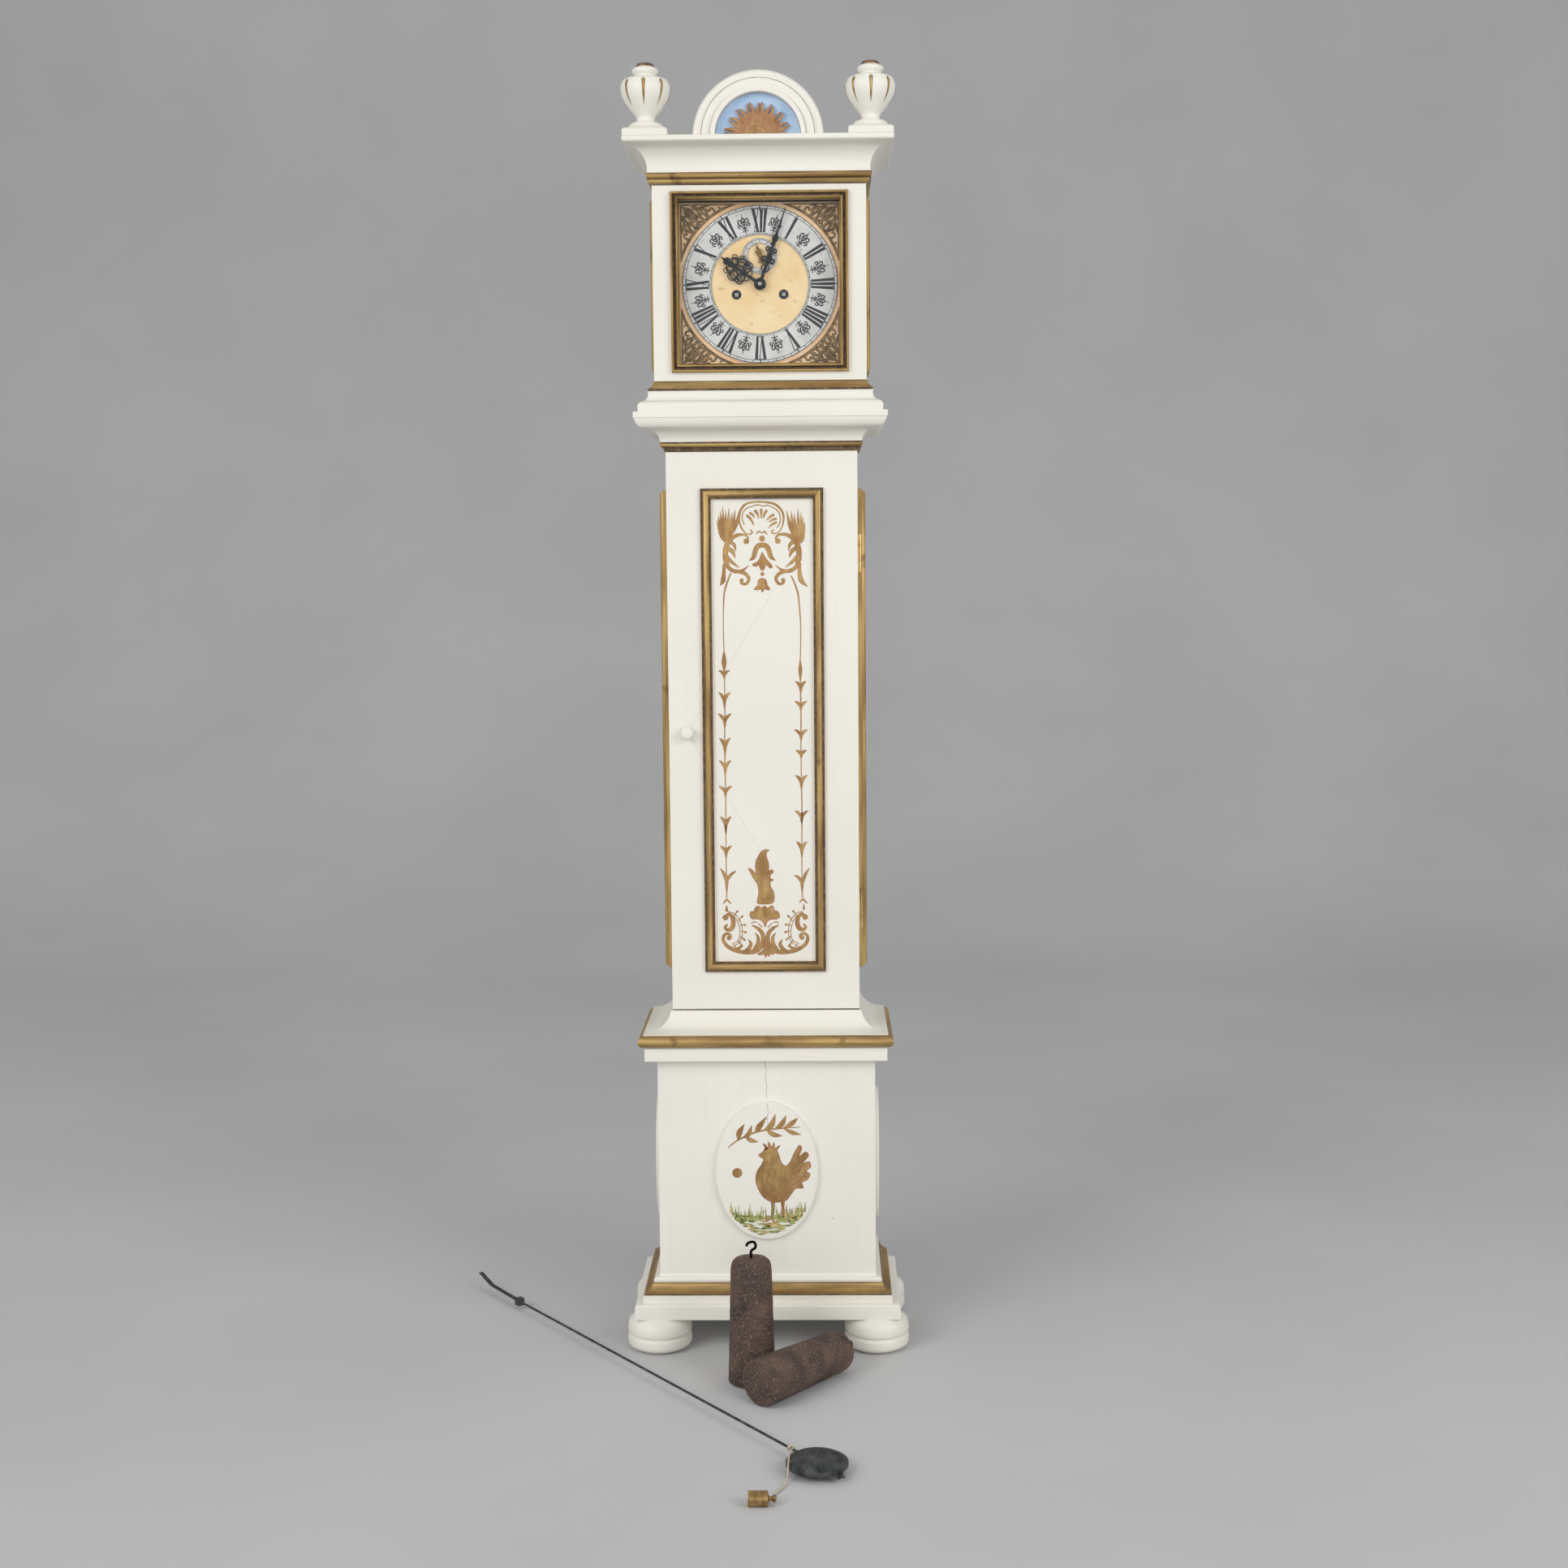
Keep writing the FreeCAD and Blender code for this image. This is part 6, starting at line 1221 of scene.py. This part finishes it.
DIAL_Z = sum(levels("dial_plate")) / 2
dial_gold, dial_tree, dial_shader = new_finish("gilt_dial", (0.95, 0.72, 0.4), 0.1, 0.45)
place = dial_tree.nodes.new("ShaderNodeTexCoord")
apart = dial_tree.nodes.new("ShaderNodeVectorMath")
apart.operation = "DISTANCE"
flat = dial_tree.nodes.new("ShaderNodeVectorMath")
flat.operation = "MULTIPLY"
flat.inputs[1].default_value = (1, 0, 1)
apart.inputs[1].default_value = (0, 0, DIAL_Z / 1000)
outer = dial_tree.nodes.new("ShaderNodeMapRange")
outer.inputs["From Min"].default_value = 0.1
outer.inputs["From Max"].default_value = 0.12
dial_tree.links.new(place.outputs["Object"], flat.inputs[0])
dial_tree.links.new(flat.outputs["Vector"], apart.inputs[0])
dial_tree.links.new(apart.outputs["Value"], outer.inputs["Value"])
middle_gold = laid_over(dial_tree, mottled(dial_tree, 22, 0.35, 0.7), (0.98, 0.79, 0.47), (0.93, 0.66, 0.33))
stained = laid_over(dial_tree, mottled(dial_tree, 45, 0.62, 0.76), middle_gold, (0.5, 0.3, 0.13))
edge_gold = laid_over(dial_tree, mottled(dial_tree, 50, 0.35, 0.7), (1, 0.72, 0.44), (0.9, 0.55, 0.28))
dial_tone = laid_over(dial_tree, outer.outputs["Result"], stained, edge_gold)
dial_tree.links.new(dial_tone, dial_shader.inputs["Base Color"])
relief(dial_tree, dial_shader, mottled(dial_tree, 1400, 0.35, 0.65), 0.25, 0.0002)
dress(dial_gold, "dial_plate")
silver = finish_of(
    "silvered_ring", (0.68, 0.68, 0.67), 0.2, 0.45, (0.76, 0.76, 0.75), (0.62, 0.615, 0.6), 30, 0.35, 0.7,
    flecks=(130, 0.62, 0.76, (0.38, 0.36, 0.33)),
)
dress(silver, "dial_rings")
ring_y = span("dial_rings")[0][1]
# This black fills the engraved numerals and marks, and also paints the shade inside the winding holes.
black_wax_and_hole_shade = flat_paint("black_wax_and_hole_shade", (0.012, 0.012, 0.014), (0.03, 0.03, 0.033), 0.45)


def bar(a, b, width):
    """A straight engraved bar between two places."""
    way = Vector((b[0] - a[0], b[1] - a[1])).normalized() * (width / 2)
    return [(u - way.y * side, v + way.x * side) for (u, v), side in ((a, 1), (a, -1), (b, -1), (b, 1))]


NUMERALS = "XII I II III IIII V VI VII VIII IX X XI".split()
# The pitch of each letter, and its bars: their places at the foot and at the head, and their width.
LETTERS = {
    "I": (5.8, ((2.9, 2.9, 4.1),)),
    "V": (11, ((5.5, 2.5, 4.2), (5.9, 9.5, 1.2))),
    "X": (11, ((8.3, 2.7, 4.4), (1.5, 9.5, 1.2))),
}
LETTER_FOOT, LETTER_HEAD, SERIF = 81, 115, 0.4
numeral_parts = []
for hour, word in enumerate(NUMERALS):
    angle = math.radians(30 * hour)
    wide = sum(LETTERS[letter][0] for letter in word)
    start = -wide / 2
    bars = []
    for letter in word:
        pitch, lines = LETTERS[letter]
        bars += [
            bar((start + low, LETTER_FOOT), (start + high, LETTER_HEAD), width) for low, high, width in lines
        ]
        start += pitch
    for radius in (LETTER_FOOT - SERIF, LETTER_HEAD + SERIF):
        bars.append(bar((-wide / 2 + SERIF, radius), (wide / 2 - SERIF, radius), 1.1))
    for number, corners in enumerate(bars):
        points = []
        for across, radius in corners:
            spread = across * radius / ((LETTER_FOOT + LETTER_HEAD) / 2)
            x = spread * math.cos(angle) + radius * math.sin(angle)
            z = -spread * math.sin(angle) + radius * math.cos(angle)
            points.append((x, ring_y - 0.12 - 0.01 * number, DIAL_Z + z))
        numeral_parts.append(part(points, [(0, 1, 2, 3)]))
MINUTE_LOW, MINUTE_HIGH, QUARTER_LOW, QUARTER_HIGH = 117, 121, 76.6, 78.8
SECONDS_LOW, SECONDS_HIGH, SECONDS_Z = 24.6, 26.8, DIAL_Z + 44
mark_y = ring_y - 0.1


def circle(radius, width, z, steps=120):
    """A thin engraved circle on the dial."""
    turns = [2 * math.pi * step / steps for step in range(steps)]
    edges = (radius - width / 2, radius + width / 2)
    points = [(edge * math.sin(turn), mark_y, z + edge * math.cos(turn)) for turn in turns for edge in edges]
    return part(points, skin(steps, 2, closed=True, open_sides=True))


numeral_parts += [
    circle(radius, width, DIAL_Z)
    for radius, width in ((MINUTE_HIGH, 1), (MINUTE_LOW, 0.8), (QUARTER_HIGH, 0.8), (QUARTER_LOW, 0.7))
]
numeral_parts += [circle(radius, 0.5, SECONDS_Z, 60) for radius in (SECONDS_HIGH, SECONDS_LOW, 19.6)]
build("dial_numerals", numeral_parts, "case", [black_wax_and_hole_shade], forward=True)


def about_centre(corners, y):
    """Corners across and outwards from a centre, as a flat part on the dial."""
    return part([(across, y, radius) for across, radius in corners], [tuple(range(len(corners)))])


for name, count, corners, z in (
    ("minute_marks", 60, bar((0, MINUTE_LOW), (0, MINUTE_HIGH), 0.8), DIAL_Z),
    ("five_minute_marks", 12, bar((0, MINUTE_LOW - 1), (0, MINUTE_HIGH), 1.6), DIAL_Z),
    ("quarter_marks", 48, bar((0, QUARTER_LOW), (0, QUARTER_HIGH), 0.8), DIAL_Z),
    ("seconds_marks", 60, bar((0, SECONDS_LOW), (0, SECONDS_HIGH), 0.45), SECONDS_Z),
    ("five_seconds_marks", 12, bar((0, 21), (0, 24), 0.9), SECONDS_Z),
):
    ring_of(name, [about_centre(corners, mark_y)], "case", black_wax_and_hole_shade, count, (0, 0, z))
FLEUR = """
    0 88 1.2  4 93 1.7  7.5 96.5 2  9.6 93 1.8  7 90.6 1.6
    0 97 1.2  3.4 101.5 1.7  6.6 103 2  8.4 99.6 1.8  5.8 97.8 1.4
    0 92 1.1  3.2 99 2  0 107 0.8
    0 86 1.6  5 84 1.2
    6.4 93.6 1.6  5.6 93 1.6
"""
fleur = strokes(FLEUR, ring_y, -1) + strokes(FLEUR, ring_y)
fleur += strokes(
    """
    0 82 1.8  0 94 1.3  0 111 0.9
    -4 88.5 1.4  4 88.5 1.4
""",
    ring_y,
)
ring_of(
    "fleurs_between_hours", fleur, "case", black_wax_and_hole_shade, 12, (0, 0, DIAL_Z), first=math.radians(15)
)


def hoop(radius, width, front, back, x, z, steps=48):
    """A flat closed ring of some thickness."""
    points = []
    for step in range(steps):
        angle = 2 * math.pi * step / steps
        for reach, y in ((radius - width, front), (radius, front), (radius, back), (radius - width, back)):
            points.append((x + reach * math.sin(angle), y, z + reach * math.cos(angle)))
    return part(points, skin(steps, 4, closed=True))


# Painted shade: a black ring on the dial face round each winding hole and a black ring behind it stand for
# the dark inside the hole.
WINDING_X, WINDING_Z, DIAL_FACE = 37, DIAL_Z - 15.5, ring_y + 2
HOLE_SHADE_RINGS = ((7.6, 1.7, DIAL_FACE - 0.35, DIAL_FACE - 0.02), (6.5, 2.6, DIAL_FACE + 2, DIAL_FACE + 3))
hole_shade_rings = [hoop(*shade_ring, x, WINDING_Z) for x in (-WINDING_X, WINDING_X) for shade_ring in HOLE_SHADE_RINGS]
build("winding_hole_shades", hole_shade_rings, "case", [black_wax_and_hole_shade])

# Corner castings of the dial
# Four pierced scrolls cast in brass and chased, dark with age in the hollows and
# bright on the high parts, screwed to the corners of the plate.

cast = finish_of(
    "chased_casting", (0.3, 0.2, 0.1), 0.6, 0.45, (0.33, 0.22, 0.1), (0.11, 0.068, 0.032), 130, 0.38, 0.66,
    rim=(0.05, 0.032, 0.018),
)
cast_front, cast_back = span("spandrels")[0][1], span("spandrels")[1][1]
RIM_RADIUS, SCROLL_SHARE = 128.6, 0.84
arc = [
    (RIM_RADIUS * math.sin(math.radians(turn)), RIM_RADIUS * math.cos(math.radians(turn)), width)
    for turn, width in ((45, 2.6), (40, 2.4), (35, 2.2), (30, 2), (25, 1.8), (20, 1.4), (16, 0.8))
]
CORNER_SCROLLS = """
    122.4 122.4 2.6  100 122.8 2.2  75 122.8 2  52 122.9 1.8  38 123 0.8
    118 112 3  112 104 4  104 100 4.6  97 104 4.6  96 112 4  102 117 3.4  108 114 3  106 109 3.6
    96 98 3  88 97 4  82 101.5 4.4  82 110 4  87 116 3.4  94 113 3  91 108 3.4
    82 105 2.6  76 106 3.4  70.5 110 3.8  72 116 3.2  77 117.5 3  78 113 3
    70 111 2.6  64 113.4 3.2  61 116.4 3  64 119.5 2
    60 116.4 2.2  54 118.6 2.8  51 120.6 1.4
    49 120.4 2.2  43 121.8 1.2
    108 96 3.6  103 91 5  100 86 4.2  101 81 1.8
    112 90 3  107 84 4.6  105 78 1.6
    118 98 3  117 88 4.6  114 80 1.8
    92 119.4 2.4  85 120.4 3  79 120.6 1.4
    106 119.8 2.4  99 120.4 2.8
    104 104 3.4  111 111 7.4  119 119 3.4
    101 101 5.4  96 96 5  92 92 2.4
"""
corner_lines = [listed(row, 3) for row in CORNER_SCROLLS.strip().splitlines()]
corner_lines.insert(1, arc)
scrolls = []
for flip in (False, True):
    for row in corner_lines:
        line = [(v, u) if flip else (u, v) for u, v, _ in row]
        widths = [SCROLL_SHARE * width for *_, width in row]
        scrolls.append(brush(line, widths, cast_front + 0.7, 0.5, cast_back - cast_front - 0.75))
corner_castings = ring_of(
    "corner_castings", scrolls, "case", cast, 4, (0, 0, DIAL_Z), flat=False
)
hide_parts("spandrels")

# Hands and winding squares
# The hands are sawn from sheet steel, filed into scrolls and blackened. The small
# seconds hand is brass. Steel squares for the key stand in their holes.

black_steel = metal("blackened_steel", (0.012, 0.012, 0.013), (0.045, 0.045, 0.048), 0.32, 90)
dress(black_steel, "minute_hand", "hour_hand", arris=0.15)
hand_y = span("minute_hand")[0][1]
hour_y = span("hour_hand")[0][1]
seconds_y = span("seconds_hand")[0][1]
brown_brass = metal("brown_brass", (0.1, 0.055, 0.02), (0.3, 0.185, 0.07), 0.5, 120)
dress(brown_brass, "seconds_hand", arris=0.15)
HAND_LIFT, HAND_THICK = 0.1, 0.9


def along_hand(node, line, centre_z, side=1):
    """A line beside a hand, from across and outwards, turned to where the hand points."""
    places = [(v.co.x * 1000, v.co.z * 1000 - centre_z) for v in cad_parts[node].data.vertices]
    tip_x, tip_z = max(places, key=lambda place: math.hypot(*place))
    far = math.hypot(tip_x, tip_z)
    sine, cosine = tip_x / far, tip_z / far
    return [(side * u * cosine + r * sine, centre_z + r * cosine - side * u * sine) for u, r in line]


def hand_bars(node, table, y):
    """The pierced work of a hand, the same on both of its sides."""
    bars = []
    for side in (-1, 1):
        for row in table.strip().splitlines():
            points = listed(row, 3)
            line = along_hand(node, [(u, r) for u, r, _ in points], DIAL_Z, side)
            bars.append(brush(line, [width for *_, width in points], y + HAND_LIFT, 0.3, HAND_THICK))
    return bars


HOUR_SCROLLS = """
    1 17 1.5  6 19 1.5  10 24 1.5  9 30 1.5  4 32 1.5  2 28 1.5
    9 25 1.4  15 24 1.4  19 29 1.4  17 35 1.4  12 35 1.4  12 31 1.4
    1 32 1.5  7 33 1.5  12 38 1.5  11 44 1.5  6 46 1.5  4 42 1.5
    12 37 1.4  18 37 1.4  21 43 1.4  18 49 1.4  13 48 1.4  14 44 1.4
    1 46 1.4  6 47 1.4  10 52 1.4  9 58 1.4  4 60 1.4  3 56 1.4
    9 51 1.3  14 51 1.3  16 56 1.3  13 60 1.3  10 58 1.3
    1 60 1.2  4 61 1.2  5 65 1.2  2 67 1.2
    4 32 1.1  8 30 1.1  12 31 1.1
    6 46 1.1  10 47 1.1  13 48 1.1
"""
MINUTE_SCROLLS = """
    1 19 1.8  5 22 2  6 27 2  2 31 1.6
    1 33 1.6  5 36 1.9  5.4 41 1.9  1 45 1.6
    1 47 1.6  4.6 50 1.8  4.6 55 1.8  1 59 1.4
    1 61 1.4  3 64 1.6  1 69 1.2
"""
build("hour_hand_scrolls", hand_bars("hour_hand", HOUR_SCROLLS, hour_y), "hour", [black_steel])
minute_bars = hand_bars("minute_hand", MINUTE_SCROLLS, hand_y)
middle_boss = along_hand("minute_hand", [(-0.1, 46), (0.1, 46)], DIAL_Z)
minute_bars.append(brush(middle_boss, 7, hand_y + HAND_LIFT, 0.2, HAND_THICK))
build("minute_hand_scrolls", minute_bars, "centre", [black_steel])
leaf_bars = [
    brush(along_hand("seconds_hand", line, SECONDS_Z), widths, seconds_y + HAND_LIFT, dome, HAND_THICK)
    for line, widths, dome in (
        ([(0, -13), (0, -8), (0, -2), (0, 4), (0, 10), (0, 16)], [2, 7.4, 5.4, 8.4, 5.6, 1.4], 0.15),
        ([(-5, -10), (0, -7), (5, -10)], [1.4, 2.6, 1.4], 0.2),
        ([(-5.4, 8), (0, 5), (5.4, 8)], [1.2, 2.6, 1.2], 0.2),
    )
]
build("seconds_hand_leaf", leaf_bars, "escape", [brown_brass])
at_centre = Matrix.Translation((0, hand_y, DIAL_Z)) @ to_front
boss_line = eased([(9.3, 0), (9.2, 0.9), (7.6, 1.5), (6.4, 1.1), (5.2, 1.7), (3.4, 1.9)], 3)
build("hand_boss", [turned(boss_line, at_centre, 48)], "centre", [black_steel])
pin_line = eased([(3.4, 1.5), (3.3, 2.2), (2.2, 2.9), (0.8, 3.1)], 3)
build("hand_pin", [turned(pin_line, at_centre, 32)], "centre", [steel])
SQUARE_HALF = 2.7
for word, x, body in (("going", WINDING_X, "going_drum"), ("strike", -WINDING_X, "strike_drum")):
    corners = [(x + a * SQUARE_HALF, WINDING_Z + b * SQUARE_HALF) for a, b in CORNERS]
    square_end = filled(corners, DIAL_FACE - 0.3, DIAL_FACE + 5)
    cross_cut = hoop(1.3, 0.9, DIAL_FACE - 0.42, DIAL_FACE - 0.2, x, WINDING_Z, 24)
    build(f"{word}_winding_square", [square_end, cross_cut], body, [steel], smooth=0)

# Glass of the hood door
# One flat pane of old clear glass, puttied behind the gilded frame.

pane, pane_tree, pane_shader = new_finish("old_glass", (0.3, 0.33, 0.32), 0, 0.04)
pane_shader.inputs["Alpha"].default_value = 0.04
pane_shader.inputs["Specular IOR Level"].default_value = 0.35
relief(pane_tree, pane_shader, mottled(pane_tree, 9, 0.3, 0.7), 0.04, 0.002)
pane.surface_render_method = "BLENDED"
dress(pane, "hood_door_glass")

# Cast iron weights
# Two solid iron castings with a taper, rough from the mould and brown with rust.
# A bent wire hook is cast into the top of each for the line.

rust = finish_of(
    "rusty_iron", (0.11, 0.07, 0.055), 0.2, 0.8, (0.06, 0.042, 0.036), (0.155, 0.098, 0.074), 26, 0.35, 0.68,
    detail=7, flecks=(330, 0.56, 0.7, (0.3, 0.2, 0.15)), pits=(260, 0.8, 0.0012),
)
wire_iron = metal("iron_wire", (0.02, 0.018, 0.017), (0.08, 0.075, 0.07), 0.5, 120)

twisted_wires = node_tree(
    "twisted_wires",
    {
        "Geometry": "Geometry",
        "Radius": "Float",
        "Offset": "Float",
        "Twist": "Float",
        "Spacing": "Float",
        "Finish": "Material",
    },
    {
        "even": ("GeometryNodeResampleCurve", ("mode", "LENGTH")),
        "along": ("GeometryNodeSplineParameter",),
        "turning": ("ShaderNodeMath", ("operation", "MULTIPLY")),
        "tilt": ("GeometryNodeSetCurveTilt",),
        "round_wire": ("GeometryNodeCurvePrimitiveCircle", ("Resolution", 10)),
        "sideways": ("ShaderNodeCombineXYZ",),
        "other_side": ("ShaderNodeVectorMath", ("operation", "SCALE"), ("Scale", -1)),
        "one": ("GeometryNodeTransform",),
        "two": ("GeometryNodeTransform",),
        "both": ("GeometryNodeJoinGeometry",),
        "drawn": ("GeometryNodeCurveToMesh", ("Fill Caps", True)),
        "shaded": ("GeometryNodeSetShadeSmooth",),
        "solid": ("GeometryNodeRealizeInstances",),
        "finished": ("GeometryNodeSetMaterial",),
    },
    """
given.Geometry > even.Curve
given.Spacing > even.Length
along.Length > turning.0
given.Twist > turning.1
even.Curve > tilt.Curve
turning.Value > tilt.Tilt
given.Radius > round_wire.Radius
given.Offset > sideways.X
sideways.Vector > other_side.0
round_wire.Curve > one.Geometry
round_wire.Curve > two.Geometry
sideways.Vector > one.Translation
other_side.Vector > two.Translation
one.Geometry > both.Geometry
two.Geometry > both.Geometry
tilt.Curve > drawn.Curve
both.Geometry > drawn.Profile Curve
drawn.Mesh > shaded.0
shaded.0 > solid.Geometry
solid.Geometry > finished.Geometry
given.Finish > finished.Material
finished.Geometry > result.Geometry
""",
)


def wires_along(name, points, body, slot, finish, radius, offset=0.0, twist=0.0, spacing=0.001):
    """One wire, or two strands laid round each other, along points in metres."""
    line = bpy.data.curves.new(name + "_line", "CURVE")
    line.dimensions = "3D"
    run = line.splines.new("POLY")
    run.points.add(len(points) - 1)
    for point, place in zip(run.points, points):
        point.co = (*place, 1)
    holder = placed(name + "_line", line)
    laid = {"Radius": radius, "Offset": offset, "Twist": twist, "Spacing": spacing}
    with_nodes(holder, *twisted_wires, **laid, Finish=finish)
    return worked_out(holder, name, body)


IRON = listed("0.9 0  0.985 0.008  1 0.02  0.868 0.91  0.852 0.94  0.8 0.97  0.7 0.99  0.5 0.998  0.1 1")
IRON_RADIUS, IRON_HEIGHT, PIT_DEPTH, WAVES, ROUND = 37, 196, 0.6, 14, 6.28


def casting(seed, place):
    """A rough cast body: its turned form pitted inwards."""
    random.seed(seed)
    line = []
    for (r0, h0), (r1, h1) in zip(IRON, IRON[1:]):
        steps = 36 if h1 - h0 > 0.5 else 3
        line += [(r0 + (r1 - r0) * n / steps, h0 + (h1 - h0) * n / steps) for n in range(steps)]
    line.append(IRON[-1])
    waves = [(random.uniform(1, 7), random.uniform(4, 40), random.uniform(0, ROUND)) for _ in range(WAVES)]
    points, faces, tags, rims = turned(scaled(line, IRON_RADIUS, IRON_HEIGHT), Matrix.Identity(4), 72)
    pitted = []
    for x, y, z in points:
        angle = math.atan2(y, x)
        waving = sum(
            math.sin(round(turns) * angle + z * ROUND / rise + start) for turns, rise, start in waves
        )
        shrink = 1 - (0.5 + waving / WAVES + random.uniform(0, 0.25)) * PIT_DEPTH / IRON_RADIUS
        pitted.append(tuple(place @ Vector((x * shrink, y * shrink, z))))
    return pitted, faces, tags, rims


(_, _, standing_low), _ = span("iron_weight_standing")
STANDING_SPOT, LYING_SPOT, LYING_TURN = (-22, -258), (-7, -360, 37.1), math.radians(50.5)
iron_taper = math.atan2(IRON_RADIUS * 0.135, IRON_HEIGHT * 0.93)
standing_place = Matrix.Translation((*STANDING_SPOT, standing_low))
lying_place = (
    Matrix.Translation(LYING_SPOT)
    @ Matrix.Rotation(LYING_TURN, 4, "Z")
    @ Matrix.Rotation(math.pi / 2 + iron_taper, 4, "Y")
)
HOOK = listed("""
    0 0 190  0 0 200  0 0 206  2 0 209  6 0 211.5
    7.4 0 216  5 0 221  0 0 221.4  -5.2 0 219  -6.8 0 215
""", 3)
HOOK_WIRE = 0.0022
for word, seed, place in (("standing", 3, standing_place), ("lying", 8, lying_place)):
    node = f"iron_weight_{word}"
    build(f"{word}_casting", [casting(seed, place)], f"weight_{word}", [rust], [node], 45)
for word, place in (("standing", standing_place), ("lying", lying_place)):
    points = [tuple((place @ Vector(point)) / 1000) for point in eased(HOOK)]
    wires_along(f"{word}_hook", points, f"weight_{word}", "dark_iron", wire_iron, HOOK_WIRE, spacing=0.0015)

# Pendulum
# A long iron rod with a lens of cast iron near its foot and a rating nut below,
# laid on the floor. A spring strip stands in the block at its upper end.

dark_iron = finish_of(
    "dark_iron", (0.05, 0.055, 0.055), 0.4, 0.6, (0.022, 0.026, 0.027), (0.09, 0.095, 0.095), 60, 0.35, 0.66,
    detail=7, flecks=(240, 0.66, 0.74, (0.3, 0.29, 0.27)), pits=(190, 0.6, 0.001),
)
dress(dark_iron, "pendulum_rod")
(bob_left, bob_front, bob_low), (bob_right, bob_back, bob_high) = span("pendulum_bob")
BOB = listed("""
    0.02 0  0.3 0.02  0.68 0.13  0.92 0.32  1 0.42  1 0.58  0.92 0.68  0.68 0.87  0.3 0.98  0.02 1
""")
bob_line = scaled(eased(BOB), (bob_right - bob_left) / 2, bob_high - bob_low)
bob_place = Matrix.Translation(((bob_left + bob_right) / 2, (bob_front + bob_back) / 2, bob_low))
lens = turned(bob_line, bob_place, 80)
build("pendulum_lens", [lens], "pendulum", [dark_iron], ["pendulum_bob"])

# Cotton string with its brass weight
# A short end of natural cotton, two strands laid round each other, tied to the
# rod beside the lens. A small cast brass weight hangs on its other end.

STRING_ROUTE = [
    (0.0465, -0.5435, 0.016),
    (0.0445, -0.557, 0.0205),
    (0.042, -0.574, 0.0235),
    (0.04, -0.592, 0.024),
    (0.039, -0.609, 0.02),
    (0.0385, -0.622, 0.01),
    (0.036, -0.635, 0.003),
    (0.029, -0.651, 0.0019),
    (0.021, -0.666, 0.0019),
    (0.019, -0.681, 0.0035),
    (0.017, -0.693, 0.009),
]
STRING_RADIUS, LAY_LENGTH, STRAND_STEP = 0.0015, 0.0075, 0.0007
cotton = finish_of(
    "natural_cotton", (0.62, 0.53, 0.4), 0, 0.9, (0.42, 0.34, 0.24), (0.74, 0.66, 0.52), 900, detail=3,
    grain=(0.6, 0.0004),
)
string_curve = bpy.data.curves.new("string_route", "CURVE")
string_curve.dimensions = "3D"
route = string_curve.splines.new("NURBS")
route.points.add(len(STRING_ROUTE) - 1)
for point, place in zip(route.points, STRING_ROUTE):
    point.co = (*place, 1)
route.order_u = 3
route.use_endpoint_u = True
route.resolution_u = 12
route_mesh = plain_mesh(placed("string_route", string_curve), "string_route")
string_points = [vertex.co.copy() for vertex in route_mesh.vertices]
string_length = sum((b - a).length for a, b in zip(string_points, string_points[1:]))


def stringed(name, points, thick, apart):
    """Cotton along points, with the shares of its strands' radius and of their place off the middle."""
    strands = (STRING_RADIUS * thick, STRING_RADIUS * apart, 2 * math.pi / LAY_LENGTH, STRAND_STEP)
    return wires_along(name, points, "pendulum", "cotton", cotton, *strands)


string = stringed("cotton_string", string_points, 0.55, 0.45)
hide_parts("bob_string")
ROD_TURN, TIE_FROM_LENS = math.radians(-52.1), 0.044 * 1.35 + 0.003
LENS_SPOT, LENS_LIFT = (0.079, -0.589), 0.013
TIE_RADIUS, TIE_PITCH, TIE_STEPS = 0.0033, 0.0018, 24
rod_way = Vector((math.cos(ROD_TURN), math.sin(ROD_TURN), 0))
rod_aside = Vector((-rod_way.y, rod_way.x, 0))
tie_centre = Vector((*LENS_SPOT, bob_low / 1000 + LENS_LIFT)) - rod_way * TIE_FROM_LENS
for turn, offset in enumerate((-0.0022, 0, 0.0022)):
    loop = []
    for step in range(TIE_STEPS + 1):
        angle = 2 * math.pi * step / TIE_STEPS
        out = rod_aside * math.cos(angle) + Vector((0, 0, math.sin(angle)))
        loop.append(tie_centre + rod_way * (offset + TIE_PITCH * step / TIE_STEPS) + out * TIE_RADIUS)
    stringed(f"string_turn_{turn + 1}", loop, 0.5, 0.4)
BRASS = listed("""
    0.6 0  0.92 0.01  1 0.04  1 0.64  0.92 0.68  0.5 0.72  0.3 0.76  0.3 0.84  0.46 0.9  0.5 0.94  0.3 1
""")
(brass_left, brass_front, brass_low), (brass_right, brass_back, brass_high) = span("brass_weight")
brass_middle = (brass_left, (brass_front + brass_back) / 2, (brass_low + brass_high) / 2)
brass_place = Matrix.Translation(brass_middle) @ Matrix.Rotation(math.pi / 2, 4, "Y")
brass_line = scaled(eased(BRASS), (brass_high - brass_low) / 2, brass_right - brass_left)
old_brass = metal("tarnished_brass", (0.2, 0.125, 0.05), (0.52, 0.36, 0.16), 0.38, 110)
brass_form = turned(brass_line, brass_place, 48)
small_weight = build("brass_weight_turned", [brass_form], "pendulum", [old_brass], ["brass_weight"])
[tuple(point) for point in string_points]
